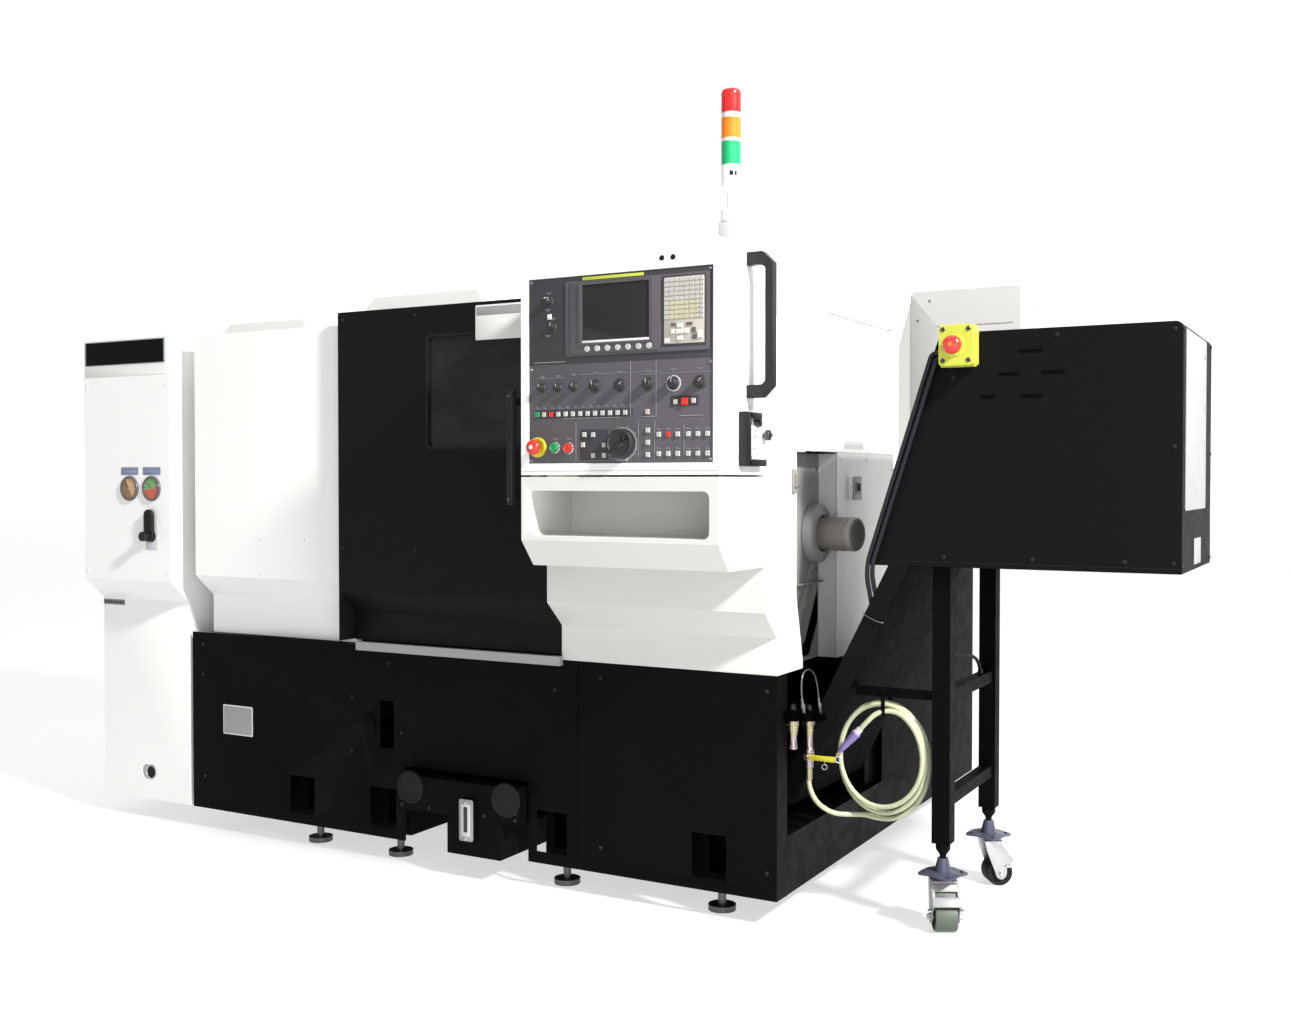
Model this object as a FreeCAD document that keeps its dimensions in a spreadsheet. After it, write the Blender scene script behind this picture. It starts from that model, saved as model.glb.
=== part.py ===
import FreeCAD, Part
import Sketcher
import math
import os

# CNC turning lathe: slanted bed, sliding door, swivelling operator panel, chip conveyor.
# Millimetres. +X runs to the machine's right, +Y to its back, +Z up.
# The origin is the floor point under the front right levelling foot.

SIZES = {
    # places every cover is measured from
    "right_inset": 208, "front_inset": 88, "gauge": 4, "seam": 2, "fit_gap": 0.3,
    "running": 0.05,
    # base and levelling feet
    "base_clear": 75, "skirt_top": 693, "skirt_length": 2239, "base_depth": 1930,
    "foot_by_tank_right": 84, "foot_by_tank_left": 90, "foot_4": 1518,
    "foot_pad_radius": 40, "foot_pad_height": 16,
    "foot_screw_radius": 12, "foot_nut_radius": 19, "foot_nut_height": 14, "foot_rear": 1480,
    "pocket_width": 108, "pocket_low": 110, "pocket_high": 235, "skirt_return": 70,
    "skirt_seam": 638, "grille_slot_x": 1361, "grille_slot_width": 57, "grille_slot_low": 365,
    "grille_slot_high": 518, "cap_x": 1444, "cap_z": 432, "cap_radius": 32, "cap_lip": 5,
    "beam_front": 60, "beam_back": 180, "beam_high": 560, "front_beam_high": 425, "beam_end": 25,
    "casting_wall": 50, "tie_high": 235,
    "bay_low": 240, "bay_back": 855, "bay_setback": 140,
    # spindle line and slanted bed
    "spindle_y": 430, "spindle_z": 1060, "bed_drop": 250, "bed_low": 160, "bed_up": 340,
    "bed_back": 1120, "bed_foot": 760, "rail_half_pitch": 130, "rail_width": 35, "rail_height": 30,
    "rail_gap": 0.3, "slide_gap": 8, "screw_lift": 45, "screw_radius": 20,
    "rail_right": 60, "headstock_in": 189, "headstock_right": 1560, "headstock_round": 165,
    "spindle_radius": 70, "spindle_bore": 31, "nose_radius": 85, "nose_face": 1520,
    "nose_thick": 25, "spindle_in": 147, "cylinder_radius": 80, "cylinder_in": 39,
    "chuck_radius": 105, "chuck_length": 90, "jaw_width": 30, "jaw_inner": 34, "jaw_outer": 98,
    "jaw_step": 64, "jaw_sink": 12, "jaw_reach": 45, "jaw_low_reach": 24,
    # carriage, turret and tailstock
    "saddle_left": 1000, "saddle_length": 180, "saddle_over_rail": 45, "saddle_top": 90,
    "cross_top": 140, "cross_low": 100, "cross_up": 300, "turret_up": 220, "turret_block": 80,
    "turret_high": 330, "disc_radius": 130, "disc_thick": 50, "tool_count": 12,
    "tool_width": 44, "tool_reach": 26, "bit_width": 16, "bit_reach": 45, "bit_thick": 16,
    "hub_radius": 60, "hub_proud": 12,
    "tail_left": 680, "tail_length": 110, "tail_over_rail": 20, "tail_neck": 70, "tail_crown": 310,
    "quill_radius": 35, "quill_reach": 40, "centre_length": 30, "quill_inset": 5,
    # front covers, door and their folds
    "overhang": 80, "fold_low": 797, "fold_high": 870, "roof_high": 1725, "door_left": 1490,
    "door_right": 697, "door_low": 708, "door_high": 1760, "door_thick": 24, "door_gap": 6,
    "door_hook": 46, "window_left": 1129, "window_right": 757, "window_low": 1328,
    "window_high": 1664, "window_rebate": 12, "glass_thick": 8, "glass_inset": 8,
    "handle_x": 770, "handle_low": 1155, "handle_high": 1487, "handle_radius": 14,
    "handle_stand": 70, "handle_post": 22, "sill_left": 1474, "sill_right": 690,
    "sill_low": 677, "sill_high": 705, "sill_proud": 20,
    "left_cover_in": 71, "recess_depth": 200, "column_gap": 16, "column_wide": 445,
    "column_high": 1730, "drain_z": 173, "drain_radius": 25, "column_depth": 960,
    "right_low_top": 1310, "pillar": 400,
    "right_side_back": 135, "right_flare": 182, "flare_low": 717, "flare_high": 900,
    # rear body, hood and cabinet
    "hood_front": 199, "hood_knee": 1496, "hood_slant": 369, "hood_high": 1717, "body_back": 960,
    "hood_round": 40, "rear_back": 1400, "rear_high": 1300,
    "rear_box_left": 700, "grey_back": 450, "grey_sink": 60,
    "motor_y": 390, "motor_z": 1068, "motor_radius": 50, "motor_proud": 100, "switch_y": 579,
    "switch_z": 1202, "switch_half": 36, "switch_proud": 12,
    "cabinet_left": 130, "cabinet_right": 311, "cabinet_depth": 300, "cabinet_low": 1080,
    "cabinet_high": 1910, "cabinet_bevel": 52, "cabinet_shoulder": 1717,
    "roof_box_a_over": 88, "roof_box_a_right": 1869, "roof_box_a_high": 1799,
    "roof_box_a_front": 200, "roof_box_b_left": 1536, "roof_box_b_right": 996,
    "roof_box_b_high": 1827, "roof_box_b_front": 50, "roof_box_depth": 360, "roof_box_slope": 60,
    # work area lining
    "left_wall": 1550, "right_wall": 560, "lining": 4, "chute_front": 36, "chute_back": 195,
    "chute_high": 690, "chute_low": 425, "wall_hole": 78, "lining_step": 36,
    # coolant tank
    "tank_left": 1280, "tank_right": 824, "tank_proud": 40, "tank_depth": 640, "tank_low": 190,
    "tank_top": 238, "tank_riser": 300, "tank_riser_depth": 120, "tank_sump_left": 1090,
    "tank_sump_right": 890, "centre_left": 1288, "centre_right": 816, "centre_top": 315,
    "grip_radius": 46, "grip_z": 262, "grip_depth": 34, "gauge_left": 1035, "gauge_right": 981,
    "gauge_low": 121, "gauge_high": 253, "gauge_proud": 12, "ledge": 24, "ledge_reach": 64,
    # shelf box and operator panel
    "pendant_left": 592, "pendant_front": 361, "pendant_gap": 5, "shelf_low": 995,
    "shelf_bevel_z": 1065, "shelf_bevel": 58, "shelf_high": 1235, "pocket_left": 563,
    "pocket_right": 28, "shelf_pocket_low": 1078, "shelf_pocket_high": 1198,
    "shelf_pocket_depth": 210, "shelf_round": 18, "pendant_low": 1240, "pendant_high": 1830,
    "panel_left": 567, "panel_right": 18, "panel_low": 1271, "panel_high": 1761, "panel_sink": 3,
    "panel_thick": 4, "panel_lip": 12, "pivot_inset_x": 32, "pivot_inset_y": 32, "pivot_radius": 16,
    "bezel_left": 133, "bezel_right": 401, "bezel_low": 268, "bezel_high": 474,
    "key_high": 4, "knob_high": 18, "knob_radius": 14, "dial_radius": 38, "dial_high": 20,
    "estop_radius": 20, "estop_high": 26, "estop_collar": 26, "start_radius": 12, "start_high": 9,
    "grab_y": 190, "grab_low": 1438, "grab_high": 1813, "grab_proud": 74, "grab_end": 34,
    "grab_slope": 30, "grab_bar": 22, "grab_half": 13, "grab_round": 6,
    "tower_x": 50, "tower_y": 190, "tower_post": 25, "tower_post_high": 1900, "tower_cup": 30,
    "tower_neck": 11, "tower_base_low": 1962, "lens_low": 2042, "lens_high": 2200,
    "lens_radius": 26, "tower_high": 2239,
    # gauges, main switch
    "dial_in_1": 204, "dial_in_2": 92, "dial_z": 1197, "round_radius": 42, "round_proud": 9,
    "main_in": 93, "main_low": 1030, "main_high": 1098, "main_half": 13, "main_proud": 26,
    # chip conveyor
    "conveyor_front": 180, "conveyor_back": 745, "trough_left": 1900, "trough_low": 300,
    "trough_high": 400, "trough_lip": 120, "incline_foot": 31, "incline_width": 63,
    "head_joint": 313, "head_low": 993, "head_right": 1005, "head_high": 1620, "head_left": 184,
    "head_top_left": 393, "head_round": 20, "drop_left": 740, "drop_right": 960,
    "belt_gap": 14, "leg": 50, "leg_x": 391, "leg_front": 235, "leg_rear": 705, "leg_foot": 236,
    "brace_low": 350, "brace_high": 636, "brace": 34, "hose_bar": 24, "strap_shift": 12,
    "strap_half": 6, "strap_front": 193, "strap_back": 259, "strap_low": 576, "strap_thick": 2,
    "gear_x": 880, "gear_z": 1420, "gear_radius": 70, "gear_length": 150,
    "caster_plate": 98, "caster_plate_turn": 29, "caster_plate_z": 150,
    "caster_plate_thick": 5, "caster_stud": 10, "caster_boss": 20,
    "caster_boss_high": 194, "caster_swing_front": -62,
    "caster_swing_rear": 35, "caster_radius": 40, "caster_width": 58, "caster_trail": 26,
    "fork_wall": 4, "fork_gap": 6, "fork_top": 134, "axle_radius": 5, "caster_race": 24,
    "pedal_near": 32, "pedal_far": 64, "pedal_top": 122, "pedal_low": 78,
    "box_left": 408, "box_right": 500, "box_low": 1526, "box_high": 1634, "box_depth": 58,
    "box_stand": 6, "box_button_x": 449, "box_button_z": 1580, "box_button_radius": 23,
    "box_button_high": 38,
    "conduit_radius": 6, "conduit_pitch": 16, "conduit_stand": 8, "conduit_entry": 1552,
    "conduit_out": 28, "conduit_low": 895, "conduit_bend": 30,
    # compressed air fittings
    "air_x": 26, "air_y": 49, "air_pitch": 115, "air_low_a": 488, "air_low_b": 460,
    "air_high": 555, "air_top": 596, "air_collar": 46, "air_radius": 9, "air_block": 30,
    "bracket_front": 80, "bracket_foot": 40, "bracket_thick": 12,
    "air_stub": 14, "loop_radius": 3, "loop_offset": 31, "loop_shoulder": 50,
    "loop_crown": 84, "loop_pull": 26, "valve_low": 438, "valve_high": 462,
    "valve_radius": 15, "lever_length": 70, "lever_half": 8, "lever_thick": 4,
    "hose_radius": 7, "hose_start": 383, "hose_run": 40,
    "coil_x": 220, "coil_y": 246, "coil_z": 443, "coil_half_width": 133, "coil_half_height": 169,
    "coil_start": -100, "coil_turns": 2.5, "coil_pitch": 15.5, "coil_narrow": 5,
    "coil_shorten": 12, "coil_lift": 8, "gun_x": 168, "gun_y": 189, "gun_z": 534,
    "gun_run": 66, "gun_drop": 75, "gun_radius": 9, "gun_collar": 14, "gun_length": 78,
    "gun_nozzle": 16,
}

os.makedirs("parts", exist_ok=True)
doc = FreeCAD.newDocument("turning_lathe")
sheet = doc.addObject("Spreadsheet::Sheet", "Sizes")
for row, (alias, number) in enumerate(SIZES.items(), start=1):
    cell = "B" + str(row)
    sheet.set("A" + str(row), alias)
    sheet.set(cell, str(number))
    sheet.setAlias(cell, alias)
doc.recompute()


class Size:
    """A length of the object: its number, and the same sum written with the sheet's cells."""

    def __init__(self, number, text):
        self.number = float(number)
        self.text = text

    def __add__(self, other):
        other = as_size(other)
        return Size(self.number + other.number, f"({self.text} + {other.text})")

    def __sub__(self, other):
        other = as_size(other)
        return Size(self.number - other.number, f"({self.text} - {other.text})")

    def __mul__(self, factor):
        factor = as_size(factor)
        return Size(self.number * factor.number, f"({self.text} * {factor.text})")

    def __truediv__(self, other):
        other = as_size(other)
        return Size(self.number / other.number, f"({self.text} / {other.text})")

    def __neg__(self):
        return Size(-self.number, f"(0 - {self.text})")

    def __radd__(self, other):
        return as_size(other) + self

    def __rsub__(self, other):
        return as_size(other) - self

    __rmul__ = __mul__


def as_size(value):
    if isinstance(value, Size):
        return value
    return Size(value, f"({value:.9g})")


class Cells:
    """Gives each alias of the sheet as a Size."""

    def __getattr__(self, alias):
        return Size(sheet.get(alias), "Sizes." + alias)


s = Cells()
right = s.right_inset
front = -s.front_inset
left_end = right - s.skirt_length
column_right = left_end - s.column_gap
column_left = column_right - s.column_wide
cover_left = left_end + s.left_cover_in
NODES = []


def node(name, shape):
    """Names a finished sub-part: its Label is its file name."""
    shape.Label = name
    NODES.append(shape)
    return shape


def bind(thing, place, size):
    thing.setExpression(place, as_size(size).text)


def box(x, y, z, name="Block"):
    """A block between two places along each axis."""
    block = doc.addObject("Part::Box", name)
    for axis, (low, high), length in (("x", x, "Length"), ("y", y, "Width"), ("z", z, "Height")):
        bind(block, length, as_size(high) - low)
        bind(block, "Placement.Base." + axis, low)
    return block


TURN_TO = {
    "x": FreeCAD.Rotation(FreeCAD.Vector(0, 1, 0), 90),
    "y": FreeCAD.Rotation(FreeCAD.Vector(1, 0, 0), -90),
    "z": FreeCAD.Rotation(),
}


def rod(axis, middle, low, high, radius, tip=None):
    """A round bar along an axis, or a cone where a tip radius is given."""
    kind = "Part::Cylinder" if tip is None else "Part::Cone"
    bar = doc.addObject(kind, "Rod")
    bar.Placement = FreeCAD.Placement(FreeCAD.Vector(0, 0, 0), TURN_TO[axis])
    across = [name for name in "xyz" if name != axis]
    bind(bar, "Height", as_size(high) - low)
    bind(bar, "Placement.Base." + axis, low)
    bind(bar, "Placement.Base." + across[0], middle[0])
    bind(bar, "Placement.Base." + across[1], middle[1])
    if tip is None:
        bind(bar, "Radius", radius)
    else:
        bind(bar, "Radius1", radius)
        bind(bar, "Radius2", tip)
    return bar


def fuse(*shapes):
    joined = doc.addObject("Part::MultiFuse", "Joined")
    joined.Shapes = list(shapes)
    return joined


def common(*shapes):
    """Only what all the shapes share."""
    shared = doc.addObject("Part::MultiCommon", "Shared")
    shared.Shapes = list(shapes)
    return shared


def group(*shapes):
    """Separate solids of one kind, kept together."""
    together = doc.addObject("Part::Compound", "Group")
    together.Links = list(shapes)
    return together


def cut(base, *tools):
    result = doc.addObject("Part::Cut", "Carved")
    result.Base = base
    result.Tool = tools[0] if len(tools) == 1 else fuse(*tools)
    return result


PLANES = {"x": "YZ_Plane", "y": "XZ_Plane", "z": "XY_Plane"}


def start_sketch(body, axis, low, high, middle=(0, 0)):
    """A sketch square to an axis, so that its pad runs from low to high."""
    sketch = body.newObject("Sketcher::SketchObject", "Outline")
    plane = [item for item in body.Origin.OriginFeatures if item.Role == PLANES[axis]][0]
    sketch.AttachmentSupport = [(plane, "")]
    sketch.MapMode = "FlatFace"
    start = -as_size(high) if axis == "y" else as_size(low)
    bind(sketch, "AttachmentOffset.Base.z", start)
    bind(sketch, "AttachmentOffset.Base.x", middle[0])
    bind(sketch, "AttachmentOffset.Base.y", middle[1])
    return sketch


def draw(sketch, points):
    """A closed outline through the points, each point tied to the sheet."""
    places = [(as_size(u), as_size(v)) for u, v in points]
    vectors = [FreeCAD.Vector(u.number, v.number, 0) for u, v in places]
    count = len(vectors)
    for index in range(count):
        sketch.addGeometry(Part.LineSegment(vectors[index], vectors[(index + 1) % count]), False)
    for index in range(count):
        sketch.addConstraint(Sketcher.Constraint("Coincident", index, 2, (index + 1) % count, 1))
    for index, (u, v) in enumerate(places):
        for kind, size in (("DistanceX", u), ("DistanceY", v)):
            number = sketch.addConstraint(Sketcher.Constraint(kind, -1, 1, index, 1, size.number))
            sketch.setExpression(f"Constraints[{number}]", size.text)


def pad(body, sketch, low, high):
    grown = body.newObject("PartDesign::Pad", "Pad")
    grown.Profile = sketch
    bind(grown, "Length", as_size(high) - low)
    return grown


def prism(axis, points, low, high, round_edges=None):
    """An outline square to an axis, drawn out from low to high, its long edges rounded if asked."""
    body = doc.addObject("PartDesign::Body", "Prism")
    sketch = start_sketch(body, axis, low, high)
    draw(sketch, points)
    grown = pad(body, sketch, low, high)
    if round_edges:
        doc.recompute()
        radius, corners = round_edges
        fillet = body.newObject("PartDesign::Fillet", "Rounding")
        fillet.Base = (grown, edges_at(grown.Shape, axis, corners))
        bind(fillet, "Radius", radius)
    return body


def edges_at(shape, axis, corners):
    """Names of the edges that run along an axis through the given corners, or all of them."""
    keep = {"x": ("y", "z"), "y": ("x", "z"), "z": ("x", "y")}[axis]
    names = []
    for number, edge in enumerate(shape.Edges, start=1):
        ends = [vertex.Point for vertex in edge.Vertexes]
        along = abs(getattr(ends[0], axis) - getattr(ends[-1], axis))
        if along < edge.Length * 0.999 or edge.Length < 1e-6:
            continue
        place = [getattr(ends[0], name) for name in keep]
        wanted = corners is None or any(
            abs(place[0] - as_size(u).number) < 0.01 and abs(place[1] - as_size(v).number) < 0.01
            for u, v in corners)
        if wanted:
            names.append("Edge" + str(number))
    return names


def rectangle(u, v):
    return [(u[0], v[0]), (u[1], v[0]), (u[1], v[1]), (u[0], v[1])]


def rounded(axis, u, v, low, high, radius):
    """A block with the four edges along an axis rounded."""
    return prism(axis, rectangle(u, v), low, high, (radius, None))


def made(shape):
    """A sub-part whose shape comes from wires and sweeps."""
    thing = doc.addObject("Part::Feature", "Swept")
    thing.Shape = shape
    return thing


def vector(x, y, z):
    return FreeCAD.Vector(as_size(x).number, as_size(y).number, as_size(z).number)


def bent_wire(points, radius=None):
    """Straight runs joined by tangent arcs: each arc is the given radius, or as large as fits."""
    edges = []
    start = points[0]
    radii = []
    for before, corner, after in zip(points, points[1:], points[2:]):
        back = (before - corner).normalize()
        ahead = (after - corner).normalize()
        half_turn = (math.pi - back.getAngle(ahead)) / 2
        run = min((corner - before).Length, (after - corner).Length)
        bend = radius if radius else 0.45 * run / math.tan(half_turn)
        radii.append(round(bend, 1))
        reach = bend * math.tan(half_turn)
        entry = corner + back * reach
        leave = corner + ahead * reach
        towards = (back + ahead).normalize()
        centre = corner + towards * (bend / math.cos(half_turn))
        middle = centre - towards * bend
        edges.append(Part.LineSegment(start, entry).toShape())
        edges.append(Part.Arc(entry, middle, leave).toShape())
        start = leave
    edges.append(Part.LineSegment(start, points[-1]).toShape())
    return Part.Wire(edges), radii


def tube(points, thickness, radius=None, label="tube"):
    """A round bar of the given radius along a bent route."""
    wire, radii = bent_wire(points, radius)
    ring = Part.Wire(Part.makeCircle(thickness, points[0], points[1] - points[0]))
    swept = wire.makePipeShell([ring], True, False)
    wanted = math.pi * thickness ** 2 * wire.Length
    print(label, "radii", radii, "volume over section times length", round(swept.Volume / wanted, 4))
    return swept


# ---------------------------------------------------------------- base and front

foot_places = [as_size(0), right - s.centre_right + s.foot_by_tank_right,
               right - s.centre_left - s.foot_by_tank_left, -s.foot_4]
front_y = as_size(0)
rear_y = s.foot_rear


def hexagon(middle, radius):
    """The six corners of a nut, as sums of the sheet's cells."""
    corners = []
    for step in range(6):
        angle = math.radians(60 * step)
        corners.append((middle[0] + radius * round(math.cos(angle), 9),
                        middle[1] + radius * round(math.sin(angle), 9)))
    return corners


def leveling_feet():
    feet = []
    for y in (front_y, rear_y):
        for x in foot_places:
            disc = rod("z", (x, y), 0, s.foot_pad_height, s.foot_pad_radius)
            screw = rod("z", (x, y), 0, s.base_clear, s.foot_screw_radius)
            nut = prism("z", hexagon((x, y), s.foot_nut_radius),
                        s.base_clear - s.foot_nut_height, s.base_clear)
            feet.append(fuse(disc, screw, nut))
    node("leveling_feet", group(*feet))


def skirt_panels():
    face = (front, front + s.gauge)
    high = (s.base_clear, s.skirt_top)
    seam_x = right - s.skirt_seam
    half = s.pocket_width / 2
    openings = []
    for x in foot_places:
        openings.append(box((x - half, x + half), (front - 1, front + s.gauge + 1),
                            (s.pocket_low, s.pocket_high), "PocketCut"))
    centre = box((right - s.centre_left, right - s.centre_right), (front - 1, front + s.gauge + 1),
                 (s.base_clear - 1, s.centre_top), "TankCut")
    slot_half = s.grille_slot_width / 2
    slot = box((right - s.grille_slot_x - slot_half, right - s.grille_slot_x + slot_half),
               (front - 1, front + s.gauge + 1), (s.grille_slot_low, s.grille_slot_high), "SlotCut")
    left = box((left_end, seam_x - s.seam / 2), face, high, "SkirtLeft")
    cap = rod("y", (right - s.cap_x, s.cap_z), front - s.cap_lip, front + s.gauge,
              s.cap_radius + s.cap_lip)
    left_panel = fuse(cut(left, *openings[1:], centre, slot), cap)
    right_plate = box((seam_x + s.seam / 2, right), face, high, "SkirtRight")
    end_fold = box((right - s.gauge, right), (front, front + s.skirt_return), high, "SkirtFold")
    right_panel = cut(fuse(right_plate, end_fold), openings[0])
    near = front + s.body_back + s.seam
    back = (front + s.base_depth - s.gauge, front + s.base_depth)
    box_top = s.cabinet_low
    outline = [(front + s.skirt_return, s.base_clear), (back[1], s.base_clear), (back[1], box_top),
               (near, box_top), (near, s.skirt_top), (front + s.bay_back, s.skirt_top),
               (front + s.bay_back, s.bay_low), (front + s.skirt_return, s.bay_low)]
    side = prism("x", outline, right - s.gauge, right)
    rear = box((left_end, right - s.gauge), back, high, "SkirtRear")
    ledge_y = (front + s.rear_back, back[1])
    ledge = box((left_end, right - s.gauge), ledge_y, (s.skirt_top - s.gauge, s.skirt_top), "Ledge")
    far_end = box((left_end, left_end + s.gauge), (front + s.bed_foot, back[1]), high, "SkirtEnd")
    box_x = (right - s.rear_box_left, right - s.gauge)
    box_back = box(box_x, back, (s.skirt_top, box_top), "RearBoxBack")
    box_left = box((box_x[0], box_x[0] + s.gauge), ledge_y, (s.skirt_top, box_top), "RearBoxLeft")
    box_lid = box(box_x, ledge_y, (box_top - s.gauge, box_top), "RearBoxLid")
    around = fuse(side, rear, ledge, far_end, box_back, box_left, box_lid)
    node("base_skirts", group(left_panel, right_panel, around))


# the way plane: `along` climbs the slope to the back, `off` stands off it towards the spindle
LEAN = math.sqrt(0.5)
way_y = front + s.spindle_y + s.bed_drop * LEAN
way_z = s.spindle_z - s.bed_drop * LEAN


def slant(along, off):
    return (way_y + (as_size(along) - off) * LEAN, way_z + (as_size(along) + off) * LEAN)


bed_left = left_end + s.beam_end
bed_right = right - s.beam_end


def base_frame():
    beam = (front + s.beam_front, front + s.beam_back)
    low = (s.base_clear, s.front_beam_high)
    tie = (s.base_clear, s.tie_high)
    behind = (front + s.beam_back, front + s.bed_foot)
    tank_left = right - s.centre_left - s.beam_end
    tank_right = right - s.centre_right + s.beam_end
    left_beam = box((bed_left, tank_left), beam, low, "LeftBeam")
    right_beam = box((tank_right, right - s.bay_setback), beam, low, "RightBeam")
    right_foot = box((right - s.bay_setback, bed_right), beam, tie, "RightFoot")
    left_tie = box((bed_left, right - s.trough_left - s.ledge_reach), behind, low, "LeftTie")
    mid_left = box((tank_left - s.bay_setback, tank_left), behind, tie, "MidLeft")
    mid_right = box((tank_right, tank_right + s.bay_setback), behind, tie, "MidRight")
    end_tie = box((right - s.bay_setback, bed_right), behind, tie, "EndTie")
    ledge_y = (front + s.beam_back, front + s.bed_foot)
    ledge_z = (s.tank_low - s.ledge, s.tank_low - s.fit_gap)
    ledge_left = box((tank_left, tank_left + s.ledge_reach), ledge_y, ledge_z, "LedgeLeft")
    ledge_right = box((tank_right - s.ledge_reach, tank_right), ledge_y, ledge_z, "LedgeRight")
    sockets = [rod("z", (x, front_y), s.pocket_low, s.pocket_high, s.foot_pad_radius)
               for x in foot_places]
    back_tie = box((tank_left, tank_right), (front + s.bed_foot - s.beam_front, front + s.bed_foot),
                   tie, "BackTie")
    frame = fuse(left_beam, right_beam, right_foot, left_tie, mid_left, mid_right, end_tie,
                 ledge_left, ledge_right, back_tie)
    node("base_frame", cut(frame, *sockets))


def bed_casting():
    low_y, low_z = slant(-s.bed_low, 0)
    up_y, up_z = slant(s.bed_up, 0)
    foot = front + s.bed_foot
    back = front + s.bed_back
    outline = [(foot, s.base_clear), (front + s.foot_rear + s.front_inset + s.foot_pad_radius * 1.5,
                                      s.base_clear),
               (front + s.foot_rear + s.front_inset + s.foot_pad_radius * 1.5, s.tie_high),
               (back, s.tie_high + s.bay_setback), (back, up_z - s.bay_setback),
               (up_y + s.beam_front, up_z), (up_y, up_z), (low_y, low_z),
               (low_y, low_z - s.beam_front), (foot, s.beam_high)]
    wall = s.casting_wall
    hollow = box((bed_left + wall, bed_right - wall),
                 (foot + wall, front + s.foot_rear + s.front_inset - wall),
                 (s.base_clear - 1, s.tie_high - wall / 2), "BedHollow")
    upper = prism("x", [(back - wall * 1.5, s.tie_high - wall),
                        (back - wall * 1.5, up_z - s.bay_setback * 1.5),
                        (foot + wall * 1.5, s.beam_high + s.beam_front),
                        (foot + wall * 1.5, s.tie_high - wall)],
                  bed_left + wall, bed_right - wall)
    node("bed_casting", cut(prism("x", outline, bed_left, bed_right), hollow, upper))


# ---------------------------------------------------------------- spindle line

axis_yz = (front + s.spindle_y, s.spindle_z)


def headstock():
    reach = s.headstock_round
    y, z = axis_yz
    outline = [slant(-s.bed_low, 0), slant(s.bed_low + s.beam_front, 0), (y + reach, z + reach / 2),
               (y + reach / 2, z + reach), (y - reach / 2, z + reach), (y - reach, z + reach / 2),
               (y - reach, z - reach / 2)]
    block = prism("x", outline, left_end + s.headstock_in, right - s.headstock_right)
    bore = rod("x", axis_yz, left_end + s.headstock_in - 1, right - s.headstock_right + 1,
               s.spindle_radius + s.running)
    node("headstock", cut(block, bore))


chuck_back = right - s.nose_face
chuck_face = chuck_back + s.chuck_length


def spindle():
    shaft = rod("x", axis_yz, left_end + s.spindle_in, chuck_back, s.spindle_radius)
    nose = rod("x", axis_yz, chuck_back - s.nose_thick, chuck_back, s.nose_radius)
    bore = rod("x", axis_yz, left_end + s.cylinder_in - 1, chuck_back + 1, s.spindle_bore)
    cylinder = rod("x", axis_yz, left_end + s.cylinder_in, left_end + s.spindle_in, s.cylinder_radius)
    node("spindle", cut(fuse(shaft, nose, cylinder), bore))


def turned_about_spindle(shape, angle):
    """A copy of a piece turned about the spindle line."""
    turned = doc.addObject("Part::Compound", "Turned")
    turned.Links = [shape]
    y, z = axis_yz
    sine = round(math.sin(math.radians(angle)), 9)
    cosine = round(math.cos(math.radians(angle)), 9)
    turned.Placement = FreeCAD.Placement(FreeCAD.Vector(0, 0, 0),
                                         FreeCAD.Rotation(FreeCAD.Vector(1, 0, 0), angle))
    bind(turned, "Placement.Base.y", y - (y * cosine - z * sine))
    bind(turned, "Placement.Base.z", z - (y * sine + z * cosine))
    return turned


def chuck():
    y, z = axis_yz
    body = rod("x", axis_yz, chuck_back, chuck_face, s.chuck_radius)
    bore = rod("x", axis_yz, chuck_back - 1, chuck_face + 1, s.spindle_bore)
    half = s.jaw_width / 2
    slots = []
    for angle in (0, 120, 240):
        slot = box((chuck_face - s.jaw_sink - s.fit_gap, chuck_face + 1),
                   (y - half - s.fit_gap, y + half + s.fit_gap),
                   (z + s.spindle_bore - 1, z + s.chuck_radius + 1), "JawSlot")
        slots.append(turned_about_spindle(slot, angle))
    node("chuck_body", cut(body, bore, *slots))
    for number, angle in enumerate((0, 120, 240), start=1):
        low = box((chuck_face - s.jaw_sink, chuck_face + s.jaw_low_reach), (y - half, y + half),
                  (z + s.jaw_inner, z + s.jaw_outer), "JawFoot")
        high = box((chuck_face + s.jaw_low_reach, chuck_face + s.jaw_reach), (y - half, y + half),
                   (z + s.jaw_step, z + s.jaw_outer), "JawStep")
        node("chuck_jaw_" + str(number), turned_about_spindle(fuse(low, high), angle))


# ---------------------------------------------------------------- slides

screw_at = slant(0, s.screw_lift)
saddle_half = s.rail_half_pitch + s.saddle_over_rail
tail_half = s.rail_half_pitch + s.tail_over_rail


def guide_rails():
    half = s.rail_width / 2
    rails = []
    for side in (-1, 1):
        middle = s.rail_half_pitch * side
        corners = [slant(middle - half, 0), slant(middle + half, 0),
                   slant(middle + half, s.rail_height), slant(middle - half, s.rail_height)]
        rails.append(prism("x", corners, right - s.headstock_right, right - s.rail_right))
    node("guide_rails", group(*rails))
    node("ball_screw", rod("x", screw_at, right - s.headstock_right + s.slide_gap,
                           right - s.rail_right, s.screw_radius))


def shoe_outline(half, top):
    """The underside of a slide, notched over both rails, up to its two top corners."""
    near = s.rail_half_pitch - s.rail_width / 2 - s.rail_gap
    far = s.rail_half_pitch + s.rail_width / 2 + s.rail_gap
    roof = s.rail_height + s.rail_gap
    gap = s.slide_gap
    points = [(-half, gap), (-far, gap), (-far, roof), (-near, roof), (-near, gap), (near, gap),
              (near, roof), (far, roof), (far, gap), (half, gap)]
    return [slant(u, v) for u, v in points] + top


def screw_hole(low, high, room):
    return rod("x", screw_at, low - 1, high + 1, s.screw_radius + room)


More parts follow.
